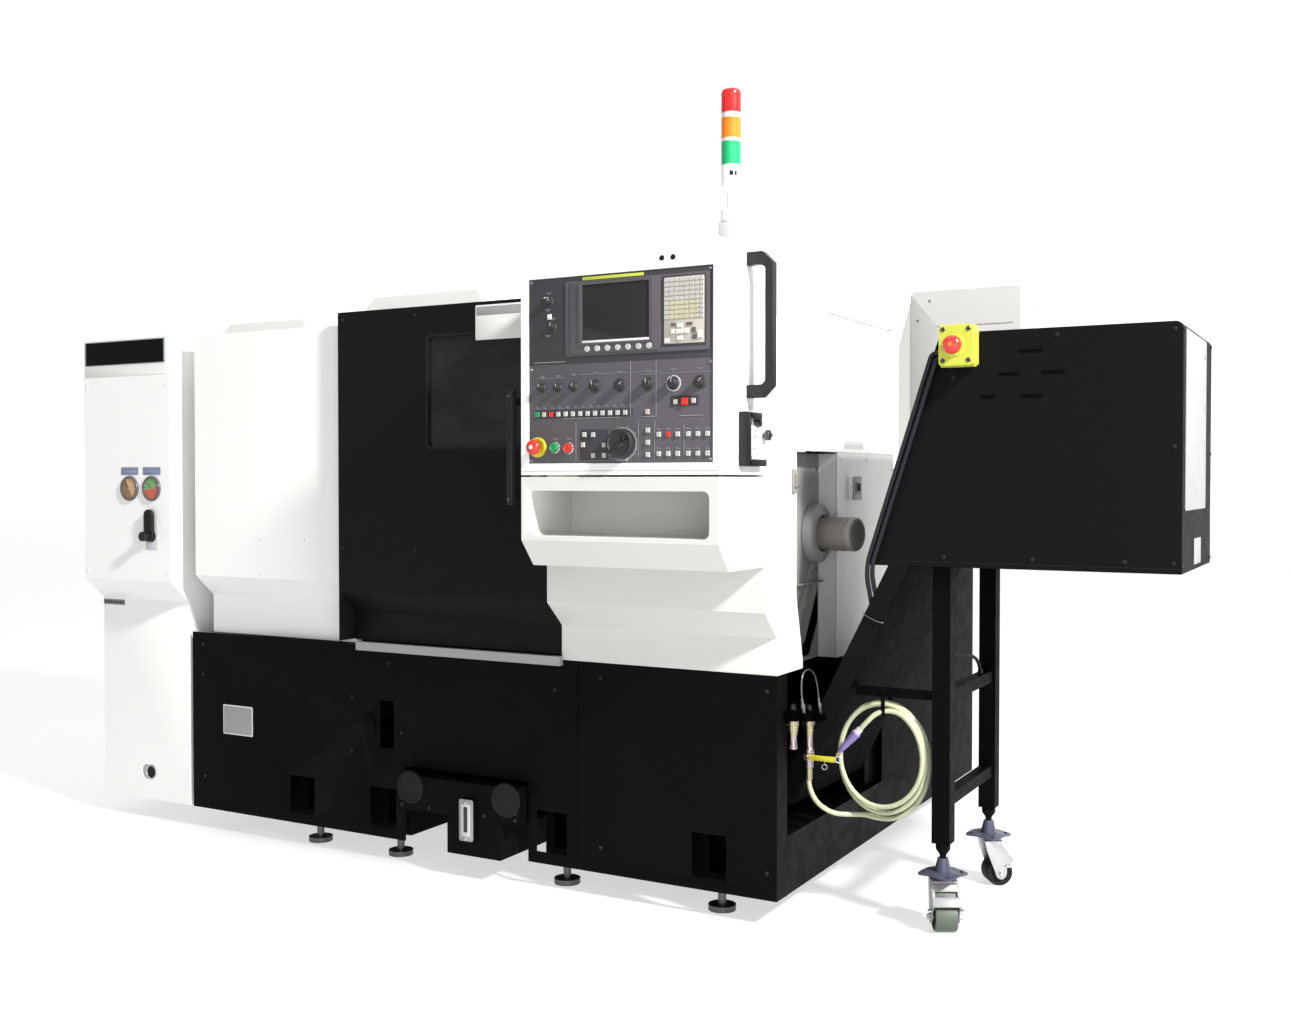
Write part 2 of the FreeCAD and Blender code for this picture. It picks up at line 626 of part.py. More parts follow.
def carriage():
    low = right - s.saddle_left
    high = low + s.saddle_length
    top = [slant(saddle_half, s.saddle_top), slant(-saddle_half, s.saddle_top)]
    saddle = prism("x", shoe_outline(saddle_half, top), low, high)
    node("carriage", cut(saddle, screw_hole(low, high, s.running)))
    base = [slant(-s.cross_low, s.saddle_top + s.rail_gap), slant(s.cross_up, s.saddle_top + s.rail_gap),
            slant(s.cross_up, s.cross_top), slant(-s.cross_low, s.cross_top)]
    plate = prism("x", base, low, high)
    tall = [slant(s.turret_up - s.turret_block, s.cross_top - 1),
            slant(s.turret_up + s.turret_block, s.cross_top - 1),
            slant(s.turret_up + s.turret_block, s.turret_high),
            slant(s.turret_up - s.turret_block, s.turret_high)]
    housing = prism("x", tall, low, high)
    node("cross_slide", fuse(plate, housing))


turret_at = slant(s.turret_up, s.bed_drop)


def turret():
    low = right - s.saddle_left - s.disc_thick - s.rail_gap
    high = right - s.saddle_left - s.rail_gap
    body = doc.addObject("PartDesign::Body", "Turret")
    disc_sketch = start_sketch(body, "x", low, high, turret_at)
    sides = []
    for step in range(12):
        angle = math.radians(30 * step + 15)
        sides.append((s.disc_radius * round(math.cos(angle), 9),
                      s.disc_radius * round(math.sin(angle), 9)))
    draw(disc_sketch, sides)
    pad(body, disc_sketch, low, high)
    inner = s.disc_radius - s.tool_reach
    outer = s.disc_radius + s.tool_reach
    half = s.tool_width / 2
    bit = s.bit_width / 2
    middle = (low + high) / 2
    block = start_sketch(body, "x", low, high, turret_at)
    draw(block, [(inner, -half), (outer, -half), (outer, -bit), (outer + s.bit_reach - s.tool_reach, -bit),
                 (outer + s.bit_reach - s.tool_reach, bit), (outer, bit), (outer, half),
                 (inner, half)])
    block_pad = pad(body, block, low, high)
    pattern = body.newObject("PartDesign::PolarPattern", "Tools")
    pattern.Originals = [block_pad]
    pattern.Axis = (block, ["N_Axis"])
    pattern.Angle = 360
    bind(pattern, "Occurrences", s.tool_count)
    body.Tip = pattern
    hub = rod("x", turret_at, low - s.hub_proud, (low + high) / 2, s.hub_radius)
    node("turret_disc", fuse(body, hub))


def tailstock():
    low = right - s.tail_left
    high = low + s.tail_length
    top = [slant(tail_half, s.saddle_top), slant(s.tail_neck, s.saddle_top * 2),
           slant(s.tail_neck, s.tail_crown), slant(-s.tail_neck, s.tail_crown),
           slant(-s.tail_neck, s.saddle_top * 2), slant(-tail_half, s.saddle_top)]
    block = prism("x", shoe_outline(tail_half, top), low, high)
    bore = rod("x", axis_yz, low - 1, high + 1, s.quill_radius + s.running)
    node("tailstock", cut(block, screw_hole(low, high, s.slide_gap), bore))
    sleeve = rod("x", axis_yz, low - s.quill_reach, high - s.quill_inset, s.quill_radius)
    tip_low = low - s.quill_reach - s.centre_length
    point = rod("x", axis_yz, tip_low, low - s.quill_reach, 2, s.quill_radius * 0.6)
    node("tailstock_quill", fuse(sleeve, point))


# ---------------------------------------------------------------- covers

def folded_sheet(x, face, low, fold_low, fold_high, top, depth, thickness):
    """The covers' front: upright, slanted forward below, upright again, of even thickness."""
    upper = face - s.overhang
    outline = [(face, low), (face, fold_low), (upper, fold_high), (upper, top),
               (upper + thickness, top), (upper + thickness, fold_high + depth),
               (face + thickness, fold_low + depth), (face + thickness, low)]
    return prism("x", outline, x[0], x[1])


def column_cover():
    x = (column_left, column_right)
    back = front + s.column_depth
    upper = front - s.overhang
    outer = [(front, s.base_clear), (front, s.fold_low), (upper, s.fold_high),
             (upper, s.column_high), (back, s.column_high), (back, s.base_clear)]
    g = s.gauge
    inner = [(front + g, s.base_clear - 1), (front + g, s.fold_low + g / 2),
             (upper + g, s.fold_high + g / 2), (upper + g, s.column_high - g),
             (back - g, s.column_high - g), (back - g, s.base_clear - 1)]
    shell = cut(prism("x", outer, *x), prism("x", inner, x[0] + g, x[1] - g))
    drain = rod("y", ((column_left + column_right) / 2, s.drain_z),
                front - 1, front + g + 1, s.drain_radius)
    node("left_end_cover", cut(shell, drain))


left_face = front + s.door_thick + s.door_gap


def left_cover():
    x = (cover_left, right - s.door_left)
    lift = s.door_thick + s.door_gap - s.fit_gap * 10
    front_sheet = folded_sheet(x, left_face, s.skirt_top, s.fold_low + lift, s.fold_high + lift,
                               s.roof_high, 2, s.gauge)
    back = left_face + s.recess_depth
    upper = left_face - s.overhang + s.gauge
    side = prism("x", [(left_face + s.gauge, s.skirt_top),
                       (left_face + s.gauge, s.fold_low + lift + 2),
                       (upper, s.fold_high + lift + 2), (upper, s.roof_high),
                       (back, s.roof_high), (back, s.skirt_top)],
                 x[0], x[0] + s.gauge)
    recess = box((column_right, x[0]), (back - s.gauge, back),
                 (s.skirt_top, s.roof_high), "Recess")
    node("left_cover", fuse(front_sheet, side, recess))


def right_cover():
    x = (right - s.door_right + s.seam, right)
    tall = folded_sheet((x[0], right - s.pillar), front, s.skirt_top, s.fold_low, s.fold_high,
                        s.roof_high, 2, s.gauge)
    short = folded_sheet((right - s.pillar, right), front, s.skirt_top, s.fold_low, s.fold_high,
                         s.right_low_top, 2, s.gauge)
    upper = front - s.overhang + s.gauge
    face = front + s.gauge
    side = prism("x", [(face, s.skirt_top), (face, s.fold_low + 2), (upper, s.fold_high + 2),
                       (upper, s.right_low_top), (front + s.right_side_back, s.right_low_top),
                       (front + s.right_side_back, s.flare_high),
                       (front + s.right_flare, s.flare_low), (front + s.right_flare, s.skirt_top)],
                 right - s.gauge, right)
    lid = box((right - s.pillar, right - s.gauge), (upper, front + s.hood_front),
              (s.right_low_top - s.gauge, s.right_low_top), "Lid")
    lid_end = box((right - s.gauge, right), (front + s.right_side_back, front + s.hood_front),
                  (s.right_low_top - s.gauge, s.right_low_top), "LidEnd")
    node("right_cover", fuse(tall, short, side, lid, lid_end))


def roof_panel():
    z = (s.roof_high - s.gauge, s.roof_high)
    roof_front = left_face - s.overhang + s.gauge
    main = box((cover_left + s.gauge, right - s.pillar - s.gauge),
               (roof_front, front + s.body_back), z, "RoofMain")
    over_left = box((column_right, cover_left + s.gauge),
                    (left_face + s.recess_depth, front + s.body_back), z, "RoofLeft")
    node("roof_panel", fuse(main, over_left))


def roof_box(left, right_end, high, front_edge):
    """A low raised box with sloping front and ends."""
    z = s.roof_high
    low = rectangle((right - left, right - right_end), (front + front_edge,
                    front + front_edge + s.roof_box_depth))
    body = prism("z", low, z, high)
    end_cut = s.roof_box_slope
    ends = prism("y", [(right - left, z), (right - right_end, z), (right - right_end - end_cut, high),
                       (right - left + end_cut, high)], front + front_edge,
                 front + front_edge + s.roof_box_depth)
    slope = prism("x", [(front + front_edge, z), (front + front_edge + s.roof_box_depth, z),
                        (front + front_edge + s.roof_box_depth, high),
                        (front + front_edge + end_cut / 2, high)], right - left, right - right_end)
    return common(body, ends, slope)


def roof_boxes():
    step = box((column_left, column_right), (front, front + s.column_depth),
               (s.roof_high - 1, s.column_high), "RoofStep")
    node("roof_boxes", group(cut(roof_box(right - column_right + s.roof_box_a_over, s.roof_box_a_right,
                                          s.roof_box_a_high, s.roof_box_a_front), step),
                             roof_box(s.roof_box_b_left, s.roof_box_b_right, s.roof_box_b_high,
                                      s.roof_box_b_front)))


def tail_hood():
    g = s.gauge
    f = front + s.hood_front
    knee = front + s.hood_slant
    back = front + s.body_back
    low_front = front + s.grey_back
    corner = (back, s.hood_high)
    outline = [(f, s.right_low_top), (f, s.hood_knee), (knee, s.hood_high), corner,
               (back, s.skirt_top), (low_front, s.skirt_top), (low_front, s.right_low_top)]
    inside = [(f + g, s.right_low_top - 1), (f + g, s.hood_knee - g / 3), (knee + g / 2, s.hood_high - g),
              (back - g, s.hood_high - g), (back - g, s.skirt_top - 1), (low_front - 1, s.skirt_top - 1),
              (low_front - 1, s.right_low_top - 1)]
    body = prism("x", outline, right - s.pillar, right, (s.hood_round, [corner]))
    hollow = prism("x", inside, right - s.pillar - 1, right - g,
                   (s.hood_round - g, [(back - g, s.hood_high - g)]))
    inner_side = box((right - s.pillar - g, right - s.pillar),
                     (front - s.overhang + g, back), (s.right_low_top, s.roof_high), "InnerSide")
    half = s.switch_half
    switch = box((right, right + s.switch_proud), (front + s.switch_y - half, front + s.switch_y + half),
                 (s.switch_z - half, s.switch_z + half), "SwitchBox")
    behind = box((right - s.pillar - 1, right - g), (back - g - 1, back + 1),
                 (s.skirt_top - 1, s.rear_high), "OpenBack")
    node("tail_hood", fuse(cut(body, hollow, behind), inner_side, switch))


def grey_recess():
    g = s.gauge
    x = (right - s.grey_sink - g, right - s.grey_sink)
    low_y = front + s.right_flare
    high_y = front + s.grey_back
    plate = box(x, (low_y, high_y), (s.skirt_top, s.right_low_top - g), "RecessPlate")
    front_fold = box((x[1], right - g), (front + s.right_side_back - g, front + s.right_side_back),
                     (s.flare_high, s.right_low_top - g), "RecessFold")
    join = box(x, (front + s.right_side_back - g, low_y), (s.flare_high, s.right_low_top - g),
               "RecessJoin")
    back_fold = box((x[1], right - g), (high_y - g, high_y), (s.skirt_top, s.right_low_top - g),
                    "RecessBack")
    hole = rod("x", (front + s.motor_y, s.motor_z), x[0] - 1, x[1] + 1, s.motor_radius)
    node("side_recess_panel", cut(fuse(plate, front_fold, join, back_fold), hole))
    body = rod("x", (front + s.motor_y, s.motor_z), x[0] - s.motor_proud, right + s.motor_proud,
               s.motor_radius - s.fit_gap)
    node("tail_motor", body)


def rear_cover():
    g = s.gauge
    back = front + s.rear_back
    near = front + s.body_back
    x = (column_left, bed_right + s.gauge)
    top = box(x, (near, back), (s.rear_high - g, s.rear_high), "RearTop")
    rear = box(x, (back - g, back), (s.skirt_top, s.rear_high - g), "RearBack")
    left = box((x[0], x[0] + g), (near, back - g), (s.skirt_top, s.rear_high - g), "RearLeft")
    end = box((x[1] - g, x[1]), (near, back - g), (s.skirt_top, s.rear_high - g), "RearEnd")
    upper = box((column_right, right - s.pillar - g), (near, near + g),
                (s.rear_high, s.roof_high), "RearUpper")
    node("rear_cover", fuse(top, rear, left, end, upper))
    outline = [(right - s.cabinet_left, s.cabinet_low), (right - s.cabinet_left, s.cabinet_shoulder),
               (right - s.cabinet_left + s.cabinet_bevel, s.cabinet_high),
               (right + s.cabinet_right, s.cabinet_high), (right + s.cabinet_right, s.cabinet_low)]
    inset = [(right - s.cabinet_left + g, s.cabinet_low + g),
             (right - s.cabinet_left + g, s.cabinet_shoulder),
             (right - s.cabinet_left + s.cabinet_bevel + g, s.cabinet_high - g),
             (right + s.cabinet_right - g, s.cabinet_high - g),
             (right + s.cabinet_right - g, s.cabinet_low + g)]
    cabinet = cut(prism("y", outline, back, back + s.cabinet_depth),
                  prism("y", inset, back + g, back + s.cabinet_depth - g))
    node("rear_cabinet", cabinet)


def lining():
    t = s.lining
    inner = left_face - s.overhang + s.gauge + s.fit_gap
    wall = [(front + s.gauge + s.chute_front, s.chute_high), (front + s.chute_back, s.chute_low),
            slant(-s.bed_low, s.rail_height + s.slide_gap), slant(s.bed_up, s.rail_height + s.slide_gap),
            (slant(s.bed_up, 0)[0], s.roof_high - s.gauge), (inner, s.roof_high - s.gauge),
            (inner, s.fold_high + s.lining_step),
            (front + s.gauge + s.chute_front, s.fold_low + s.lining_step)]
    left = prism("x", wall, right - s.left_wall - t, right - s.left_wall)
    hole = rod("x", axis_yz, right - s.left_wall - t - 1, right - s.left_wall + 1, s.wall_hole)
    screws = [rod("x", screw_at, x - 1, x + t + 1, s.screw_radius + s.slide_gap / 4)
              for x in (right - s.left_wall - t, right - s.right_wall)]
    left_wall = cut(left, hole, screws[0])
    right_wall = cut(prism("x", wall, right - s.right_wall, right - s.right_wall + t), screws[1])
    chute = [(front + s.gauge, s.chute_high), (front + s.gauge + s.chute_front, s.chute_high),
             (front + s.chute_back, s.chute_low), (front + s.chute_back, s.chute_low - t),
             (front + s.chute_back - t, s.chute_low - t),
             (front + s.gauge + s.chute_front - t, s.chute_high - t), (front + s.gauge, s.chute_high - t)]
    floor = prism("x", chute, right - s.left_wall, right - s.right_wall)
    node("work_area_lining", group(left_wall, right_wall, floor))


# ---------------------------------------------------------------- door

def door():
    x = (right - s.door_left, right - s.door_right)
    skin = folded_sheet(x, front, s.door_low, s.fold_low, s.fold_high, s.door_high, 9, s.door_thick)
    inner = front - s.overhang + s.door_thick
    hook = box(x, (inner - 1, inner + s.door_hook), (s.roof_high + s.door_gap / 2,
               s.roof_high + s.door_gap / 2 + s.gauge), "DoorHook")
    outside = front - s.overhang
    hole = rounded("y", (right - s.window_left, right - s.window_right),
                   (s.window_low, s.window_high), outside - 1, inner + 1, 16)
    rim = s.window_rebate
    rebate = box((right - s.window_left - rim, right - s.window_right + rim),
                 (outside + s.glass_inset, inner + 1), (s.window_low - rim, s.window_high + rim),
                 "Rebate")
    node("door_panel", cut(fuse(skin, hook), hole, rebate))
    gap = rim - s.fit_gap
    node("door_window", box((right - s.window_left - gap, right - s.window_right + gap),
                            (outside + s.glass_inset, outside + s.glass_inset + s.glass_thick),
                            (s.window_low - gap, s.window_high + gap), "Glass"))
    bar_y = outside - s.handle_stand
    bar = rod("z", (right - s.handle_x, bar_y), s.handle_low, s.handle_high, s.handle_radius)
    half = s.handle_post / 2
    posts = []
    for z in (s.handle_low + s.handle_post, s.handle_high - s.handle_post * 2):
        posts.append(box((right - s.handle_x - half, right - s.handle_x + half), (bar_y, outside),
                         (z, z + s.handle_post), "HandlePost"))
    node("door_handle", fuse(bar, *posts))


def sill():
    node("door_sill", box((right - s.sill_left, right - s.sill_right),
                          (front - s.sill_proud, front), (s.sill_low, s.sill_high), "Sill"))


# ---------------------------------------------------------------- coolant tank

def tank():
    f = front - s.tank_proud
    x = (right - s.tank_left, right - s.tank_right)
    main = box(x, (front + s.beam_front, front + s.tank_depth), (s.tank_low, s.tank_top), "TankMain")
    riser = box(x, (f, front + s.tank_riser_depth), (s.tank_low, s.tank_riser), "TankRiser")
    sump = box((right - s.tank_sump_left, right - s.tank_sump_right), (f, front + s.tank_depth),
               (s.base_clear, s.tank_low + s.gauge), "TankSump")
    hollow = box((x[0] + s.gauge, x[1] - s.gauge), (front + s.tank_riser_depth + s.gauge,
                 front + s.tank_depth - s.gauge), (s.tank_low + s.gauge, s.tank_top + 1), "TankHollow")
    grips = []
    for side in (x[0] + s.grip_radius, x[1] - s.grip_radius):
        grips.append(rod("y", (side, s.grip_z), f - 1, f + s.grip_depth, s.grip_radius * 0.82))
    level = rounded("y", (right - s.gauge_left, right - s.gauge_right), (s.gauge_low, s.gauge_high),
                    f - s.gauge_proud, f, 10)
    node("coolant_tank", fuse(cut(fuse(main, riser, sump), hollow, *grips), level))


# ---------------------------------------------------------------- shelf and operator panel

pendant_x = (right - s.pendant_left, right)
pendant_front = front - s.pendant_front
cover_face = front - s.overhang


def shelf():
    g = s.gauge
    y0 = pendant_front
    outer = prism("x", [(y0, s.shelf_high), (y0, s.shelf_bevel_z), (y0 + s.shelf_bevel, s.shelf_low),
                        (cover_face, s.shelf_low), (cover_face, s.shelf_high)], *pendant_x)
    inner = prism("x", [(y0 + g, s.shelf_high - g), (y0 + g, s.shelf_bevel_z + g / 2),
                        (y0 + s.shelf_bevel + g / 2, s.shelf_low + g), (cover_face - g, s.shelf_low + g),
                        (cover_face - g, s.shelf_high - g)],
                  pendant_x[0] + g, pendant_x[1] - g)
    pocket_x = (right - s.pocket_left, right - s.pocket_right)
    deep = y0 + s.shelf_pocket_depth
    liner = box((pocket_x[0] - g, pocket_x[1] + g), (y0 + g / 2, deep + g),
                (s.shelf_pocket_low - g, s.shelf_pocket_high + g), "PocketLiner")
    pocket = rounded("y", pocket_x, (s.shelf_pocket_low, s.shelf_pocket_high), y0 - 1, deep,
                     s.shelf_round)
    pin_at = (pendant_x[0] + s.pivot_inset_x, pendant_front + s.pivot_inset_y)
    pin = rod("z", pin_at, s.shelf_high, s.pendant_low + s.gauge * 3, s.pivot_radius)
    node("panel_shelf", fuse(cut(fuse(cut(outer, inner), liner), pocket), pin))


def pendant():
    g = s.gauge
    y = (pendant_front, cover_face - s.pendant_gap)
    z = (s.pendant_low, s.pendant_high)
    outer = box(pendant_x, y, z, "PendantOuter")
    inner_y = y[0] + g + s.panel_sink + s.panel_thick
    inner = box((pendant_x[0] + g, pendant_x[1] - g), (inner_y, y[1] - g),
                (z[0] + g * 3, z[1] - g), "PendantInner")
    panel_x = (right - s.panel_left, right - s.panel_right)
    panel_z = (s.panel_low, s.panel_high)
    face_cut = box((panel_x[0] - s.fit_gap, panel_x[1] + s.fit_gap),
                   (y[0] - 1, y[0] + s.panel_sink + s.panel_thick),
                   (panel_z[0] - s.fit_gap, panel_z[1] + s.fit_gap), "PanelRecess")
    pin_at = (pendant_x[0] + s.pivot_inset_x, pendant_front + s.pivot_inset_y)
    pin_hole = rod("z", pin_at, s.pendant_low - 1, s.pendant_low + g * 3 + 1,
                   s.pivot_radius + s.running)
    behind = box((panel_x[0] + s.panel_lip, panel_x[1] - s.panel_lip), (y[0] - 1, inner_y + 1),
                 (panel_z[0] + s.panel_lip, panel_z[1] - s.panel_lip), "PanelWindow")
    node("panel_housing", cut(outer, inner, face_cut, pin_hole, behind))


def panel_place(across, up):
    """A place on the operator panel, from its lower left corner."""
    return (right - s.panel_left + across, s.panel_low + up)


panel_back = pendant_front + s.panel_sink + s.panel_thick
panel_face = pendant_front + s.panel_sink


def key(across, up, width, height, proud):
    x, z = panel_place(across, up)
    return box((x - width / 2, x + width / 2), (panel_face - proud, panel_face),
               (z - height / 2, z + height / 2), "Key")


def knob(across, up, radius, proud):
    return rod("y", panel_place(across, up), panel_face - proud, panel_face, radius)


ESTOP_AT = (28, 43)
START_AT = (83, 42)
HOLD_AT = (126, 40)
HAND_DIAL_AT = (289, 49)


def operator_panel():
    plate = box((right - s.panel_left, right - s.panel_right), (panel_face, panel_back),
                (s.panel_low, s.panel_high), "PanelPlate")
    screen_low = panel_place(s.bezel_left, s.bezel_low)
    screen_high = panel_place(s.bezel_right, s.bezel_high)
    bezel = box((screen_low[0], screen_high[0]), (panel_face - s.key_high, panel_face),
                (screen_low[1], screen_high[1]), "Bezel")
    glass = key(282, 389, 180, 146, s.key_high + 1)
    keypad = key(470, 383, 112, 163, s.key_high)
    pieces = [plate, cut(bezel, glass), keypad]
    for across, up in ((65, 428), (75, 360)):
        pieces.append(knob(across, up, s.knob_radius, s.knob_high))
    for across in (43, 93, 141):
        pieces.append(knob(across, 200, s.knob_radius * 0.8, s.knob_high))
    for across in (207, 283, 365):
        pieces.append(knob(across, 200, s.knob_radius * 1.2, s.knob_high))
    for across in (438, 513):
        pieces.append(knob(across, 201, s.knob_radius * 0.8, s.knob_high))
    for column in range(12):
        pieces.append(key(48 + 23.5 * column, 130, 15, 15, s.key_high))
    for across, up in ((27, 132), (363, 128), (444, 153), (470, 154), (495, 155)):
        pieces.append(key(across, up, 15, 15, s.key_high))
    for across, up in ((174, 75), (201, 74), (170, 48), (234, 47), (201, 20), (234, 20)):
        pieces.append(key(across, up, 18, 16, s.key_high))
    for up in (83, 52, 21):
        pieces.append(key(364, up, 16, 16, s.key_high))
    for column in range(6):
        for up in (72, 23):
            pieces.append(key(396 + 27.6 * column, up, 15, 20, s.key_high))
    pieces.append(knob(*ESTOP_AT, s.estop_collar, s.key_high))
    stem_holes = []
    for place, radius in ((ESTOP_AT, s.start_radius), (START_AT, s.start_radius),
                          (HOLD_AT, s.start_radius), (HAND_DIAL_AT, s.start_radius)):
        stem_holes.append(rod("y", panel_place(*place), panel_face - s.knob_high, panel_back + 1,
                              radius * 0.6 + s.running * 2))
    node("operator_panel", cut(fuse(*pieces), *stem_holes))


def pressed(name, place, radius, proud, lift):
    """A button head on a stem through the panel; the head stands `lift` off its seat."""
    at = panel_place(*place)
    seat = panel_face - s.key_high
    head = rod("y", at, seat - lift - proud, seat - lift, radius)
    stem = rod("y", at, seat - lift, panel_back, s.start_radius * 0.6)
    node(name, fuse(head, stem))


def panel_buttons():
    pressed("panel_estop_button", ESTOP_AT, s.estop_radius, s.estop_high, 6)
    pressed("cycle_start_button", START_AT, s.start_radius, s.start_high, 4)
    pressed("feed_hold_button", HOLD_AT, s.start_radius, s.start_high, 4)
    at = panel_place(*HAND_DIAL_AT)
    dial = rod("y", at, panel_face - 1 - s.dial_high, panel_face - 1, s.dial_radius)
    grip_x, grip_z = panel_place(HAND_DIAL_AT[0], HAND_DIAL_AT[1])
    grip = rod("y", (grip_x + s.dial_radius * 0.6, grip_z), panel_face - 1 - s.dial_high * 2,
               panel_face - s.dial_high, 6)
    stem = rod("y", at, panel_face - 1, panel_back, s.start_radius * 0.6)
    node("hand_dial", fuse(dial, grip, stem))


def grab_handle():
    """A moulded bar with thick ends and sloping outer corners, standing off the housing's side."""
    far = right + s.grab_proud
    end = s.grab_end
    slope = s.grab_slope
    bar = far - s.grab_bar
    points = [(right, s.grab_low), (far - slope, s.grab_low), (far, s.grab_low + slope),
              (far, s.grab_high - slope), (far - slope, s.grab_high), (right, s.grab_high),
              (right, s.grab_high - end), (bar - slope / 3, s.grab_high - end),
              (bar, s.grab_high - end - slope / 3), (bar, s.grab_low + end + slope / 3),
              (bar - slope / 3, s.grab_low + end), (right, s.grab_low + end)]
    y = front - s.grab_y
    node("panel_grab_handle", prism("y", points, y - s.grab_half, y + s.grab_half,
                                    (s.grab_round, points[1:5] + points[7:11])))


tower_at = (right - s.tower_x, front - s.tower_y)


def tower():
    half = s.tower_post
    x, y = tower_at
    post = box((x - half, x + half), (y - half, y + half), (s.pendant_high, s.tower_post_high), "Post")
    cup = rod("z", tower_at, s.tower_post_high, s.tower_post_high + s.tower_cup, half * 1.1)
    pole = rod("z", tower_at, s.tower_post_high + s.tower_cup, s.tower_base_low, s.tower_neck)
    base = rod("z", tower_at, s.tower_base_low, s.lens_low, s.lens_radius * 1.05)
    lamps = rod("z", tower_at, s.lens_low, s.lens_high, s.lens_radius)
    dome = rod("z", tower_at, s.lens_high, s.tower_high, s.lens_radius, s.lens_radius * 0.62)
    node("signal_tower", fuse(post, cup, pole, base, lamps, dome))


def end_cover_fittings():
    face = front - s.overhang
    dials = []
    for x in (column_right - s.dial_in_1, column_right - s.dial_in_2):
        dials.append(rod("y", (x, s.dial_z), face - s.round_proud, face, s.round_radius))
    node("pressure_gauges", group(*dials))
    half = s.main_half
    x = column_right - s.main_in
    arm = box((x - half, x + half), (face - s.main_proud - half, face - s.main_proud),
              (s.main_low, s.main_high), "SwitchArm")
    low = rod("y", (x, s.main_low), face - s.main_proud - half, face - s.fit_gap, half)
    high = rod("y", (x, s.main_high), face - s.main_proud - half, face - s.main_proud, half)
    node("main_switch_handle", fuse(arm, low, high))


# ---------------------------------------------------------------- chip conveyor

def conveyor_outline(inset):
    """The conveyor seen from the front: trough, incline and head, moved in by the sheet's gauge."""
    rise = (s.head_low - s.trough_low) / (s.head_joint + s.incline_foot)
    foot_x = right - s.incline_foot
    joint_x = right + s.head_joint
    shift = s.incline_width
    top_foot_x = joint_x - shift - (s.head_low - s.trough_high) / rise
    head_left_x = right + s.head_left
    return [(right - s.trough_left + inset, s.trough_low + inset), (foot_x, s.trough_low + inset),
            (joint_x - inset, s.head_low + inset), (right + s.head_right - inset, s.head_low + inset),
            (right + s.head_right - inset, s.head_high - inset),
            (right + s.head_top_left + inset, s.head_high - inset),
            (head_left_x + inset * 1.3, s.head_low + inset),
            (joint_x - shift + inset, s.head_low + inset / 2),
            (top_foot_x + inset, s.trough_high - inset),
            (right - s.trough_left + inset, s.trough_high - inset)]


conveyor_y = (front + s.conveyor_front, front + s.conveyor_back)


def conveyor():
    g = s.gauge
    corner = (right + s.head_right, s.head_high)
    outer = prism("y", conveyor_outline(as_size(0)), *conveyor_y, (s.head_round, [corner]))
    inner_corner = (right + s.head_right - g, s.head_high - g)
    hollow = prism("y", conveyor_outline(g), conveyor_y[0] + g, conveyor_y[1] - g,
                   (s.head_round - g, [inner_corner]))
    mouth = box((right - s.trough_left + s.trough_lip, right - s.trough_lip),
                (conveyor_y[0] + g, conveyor_y[1] - g), (s.trough_high - g - 1, s.trough_high + 1),
                "TroughMouth")
    drop = box((right + s.drop_left, right + s.drop_right), (conveyor_y[0] + g, conveyor_y[1] - g),
               (s.head_low - 1, s.head_low + g + 1), "ChipDrop")
    node("conveyor_casing", cut(outer, hollow, mouth, drop))
    at = (right + s.gear_x, s.gear_z)
    motor = rod("y", at, conveyor_y[1], conveyor_y[1] + s.gear_length, s.gear_radius)
    box_half = s.gear_radius * 1.1
    gearbox = box((at[0] - box_half, at[0] + box_half), (conveyor_y[1], conveyor_y[1] + s.gear_length / 2),
                  (at[1] - box_half, at[1] + box_half), "Gearbox")
    node("conveyor_gearmotor", fuse(motor, gearbox))


def conveyor_frame():
    half = s.leg / 2
    x = right + s.leg_x
    legs = []
    places = (front + s.leg_front, front + s.leg_rear)
    for y in places:
        legs.append(box((x - half, x + half), (y - half, y + half), (s.leg_foot, s.head_low), "Leg"))
    bars = []
    for z in (s.brace_low, s.brace_high):
        bars.append(box((x - s.brace / 2, x + s.brace / 2), (places[0], places[1]),
                        (z - s.brace / 2, z + s.brace / 2), "Brace"))
    rise = (s.head_low - s.trough_low) / (s.head_joint + s.incline_foot)
    reach = right - s.incline_foot + (s.brace_high + s.hose_bar / 2 - s.trough_low) / rise
    bar = box((reach, x), (places[0] - s.hose_bar / 2, places[0] + s.hose_bar / 2),
              (s.brace_high - s.hose_bar / 2, s.brace_high + s.hose_bar / 2), "HoseBar")
    strap_x = right + s.coil_x + s.strap_shift
    strap = (strap_x - s.strap_half, strap_x + s.strap_half)
    around = (front + s.strap_front, front + s.strap_back)
    deep = (s.strap_low, s.brace_high + s.hose_bar / 2 + s.strap_thick)
    thick = s.strap_thick
    loop = cut(box(strap, around, deep, "Strap"),
               box((strap[0] - 1, strap[1] + 1), (around[0] + thick, around[1] - thick),
                   (deep[0] + thick, deep[1] - thick), "StrapInside"))
    node("conveyor_frame", fuse(*legs, *bars, bar, loop))


def swung(item, middle, degrees):
    """Turns a finished part about an upright line, as a caster swivels."""
    along = round(math.cos(math.radians(degrees)), 9)
    aside = round(math.sin(math.radians(degrees)), 9)
    item.Placement.Rotation = FreeCAD.Rotation(FreeCAD.Vector(0, 0, 1), degrees)
    bind(item, "Placement.Base.x", middle[0] * (1 - along) + middle[1] * aside)
    bind(item, "Placement.Base.y", middle[1] * (1 - along) - middle[0] * aside)
    return item


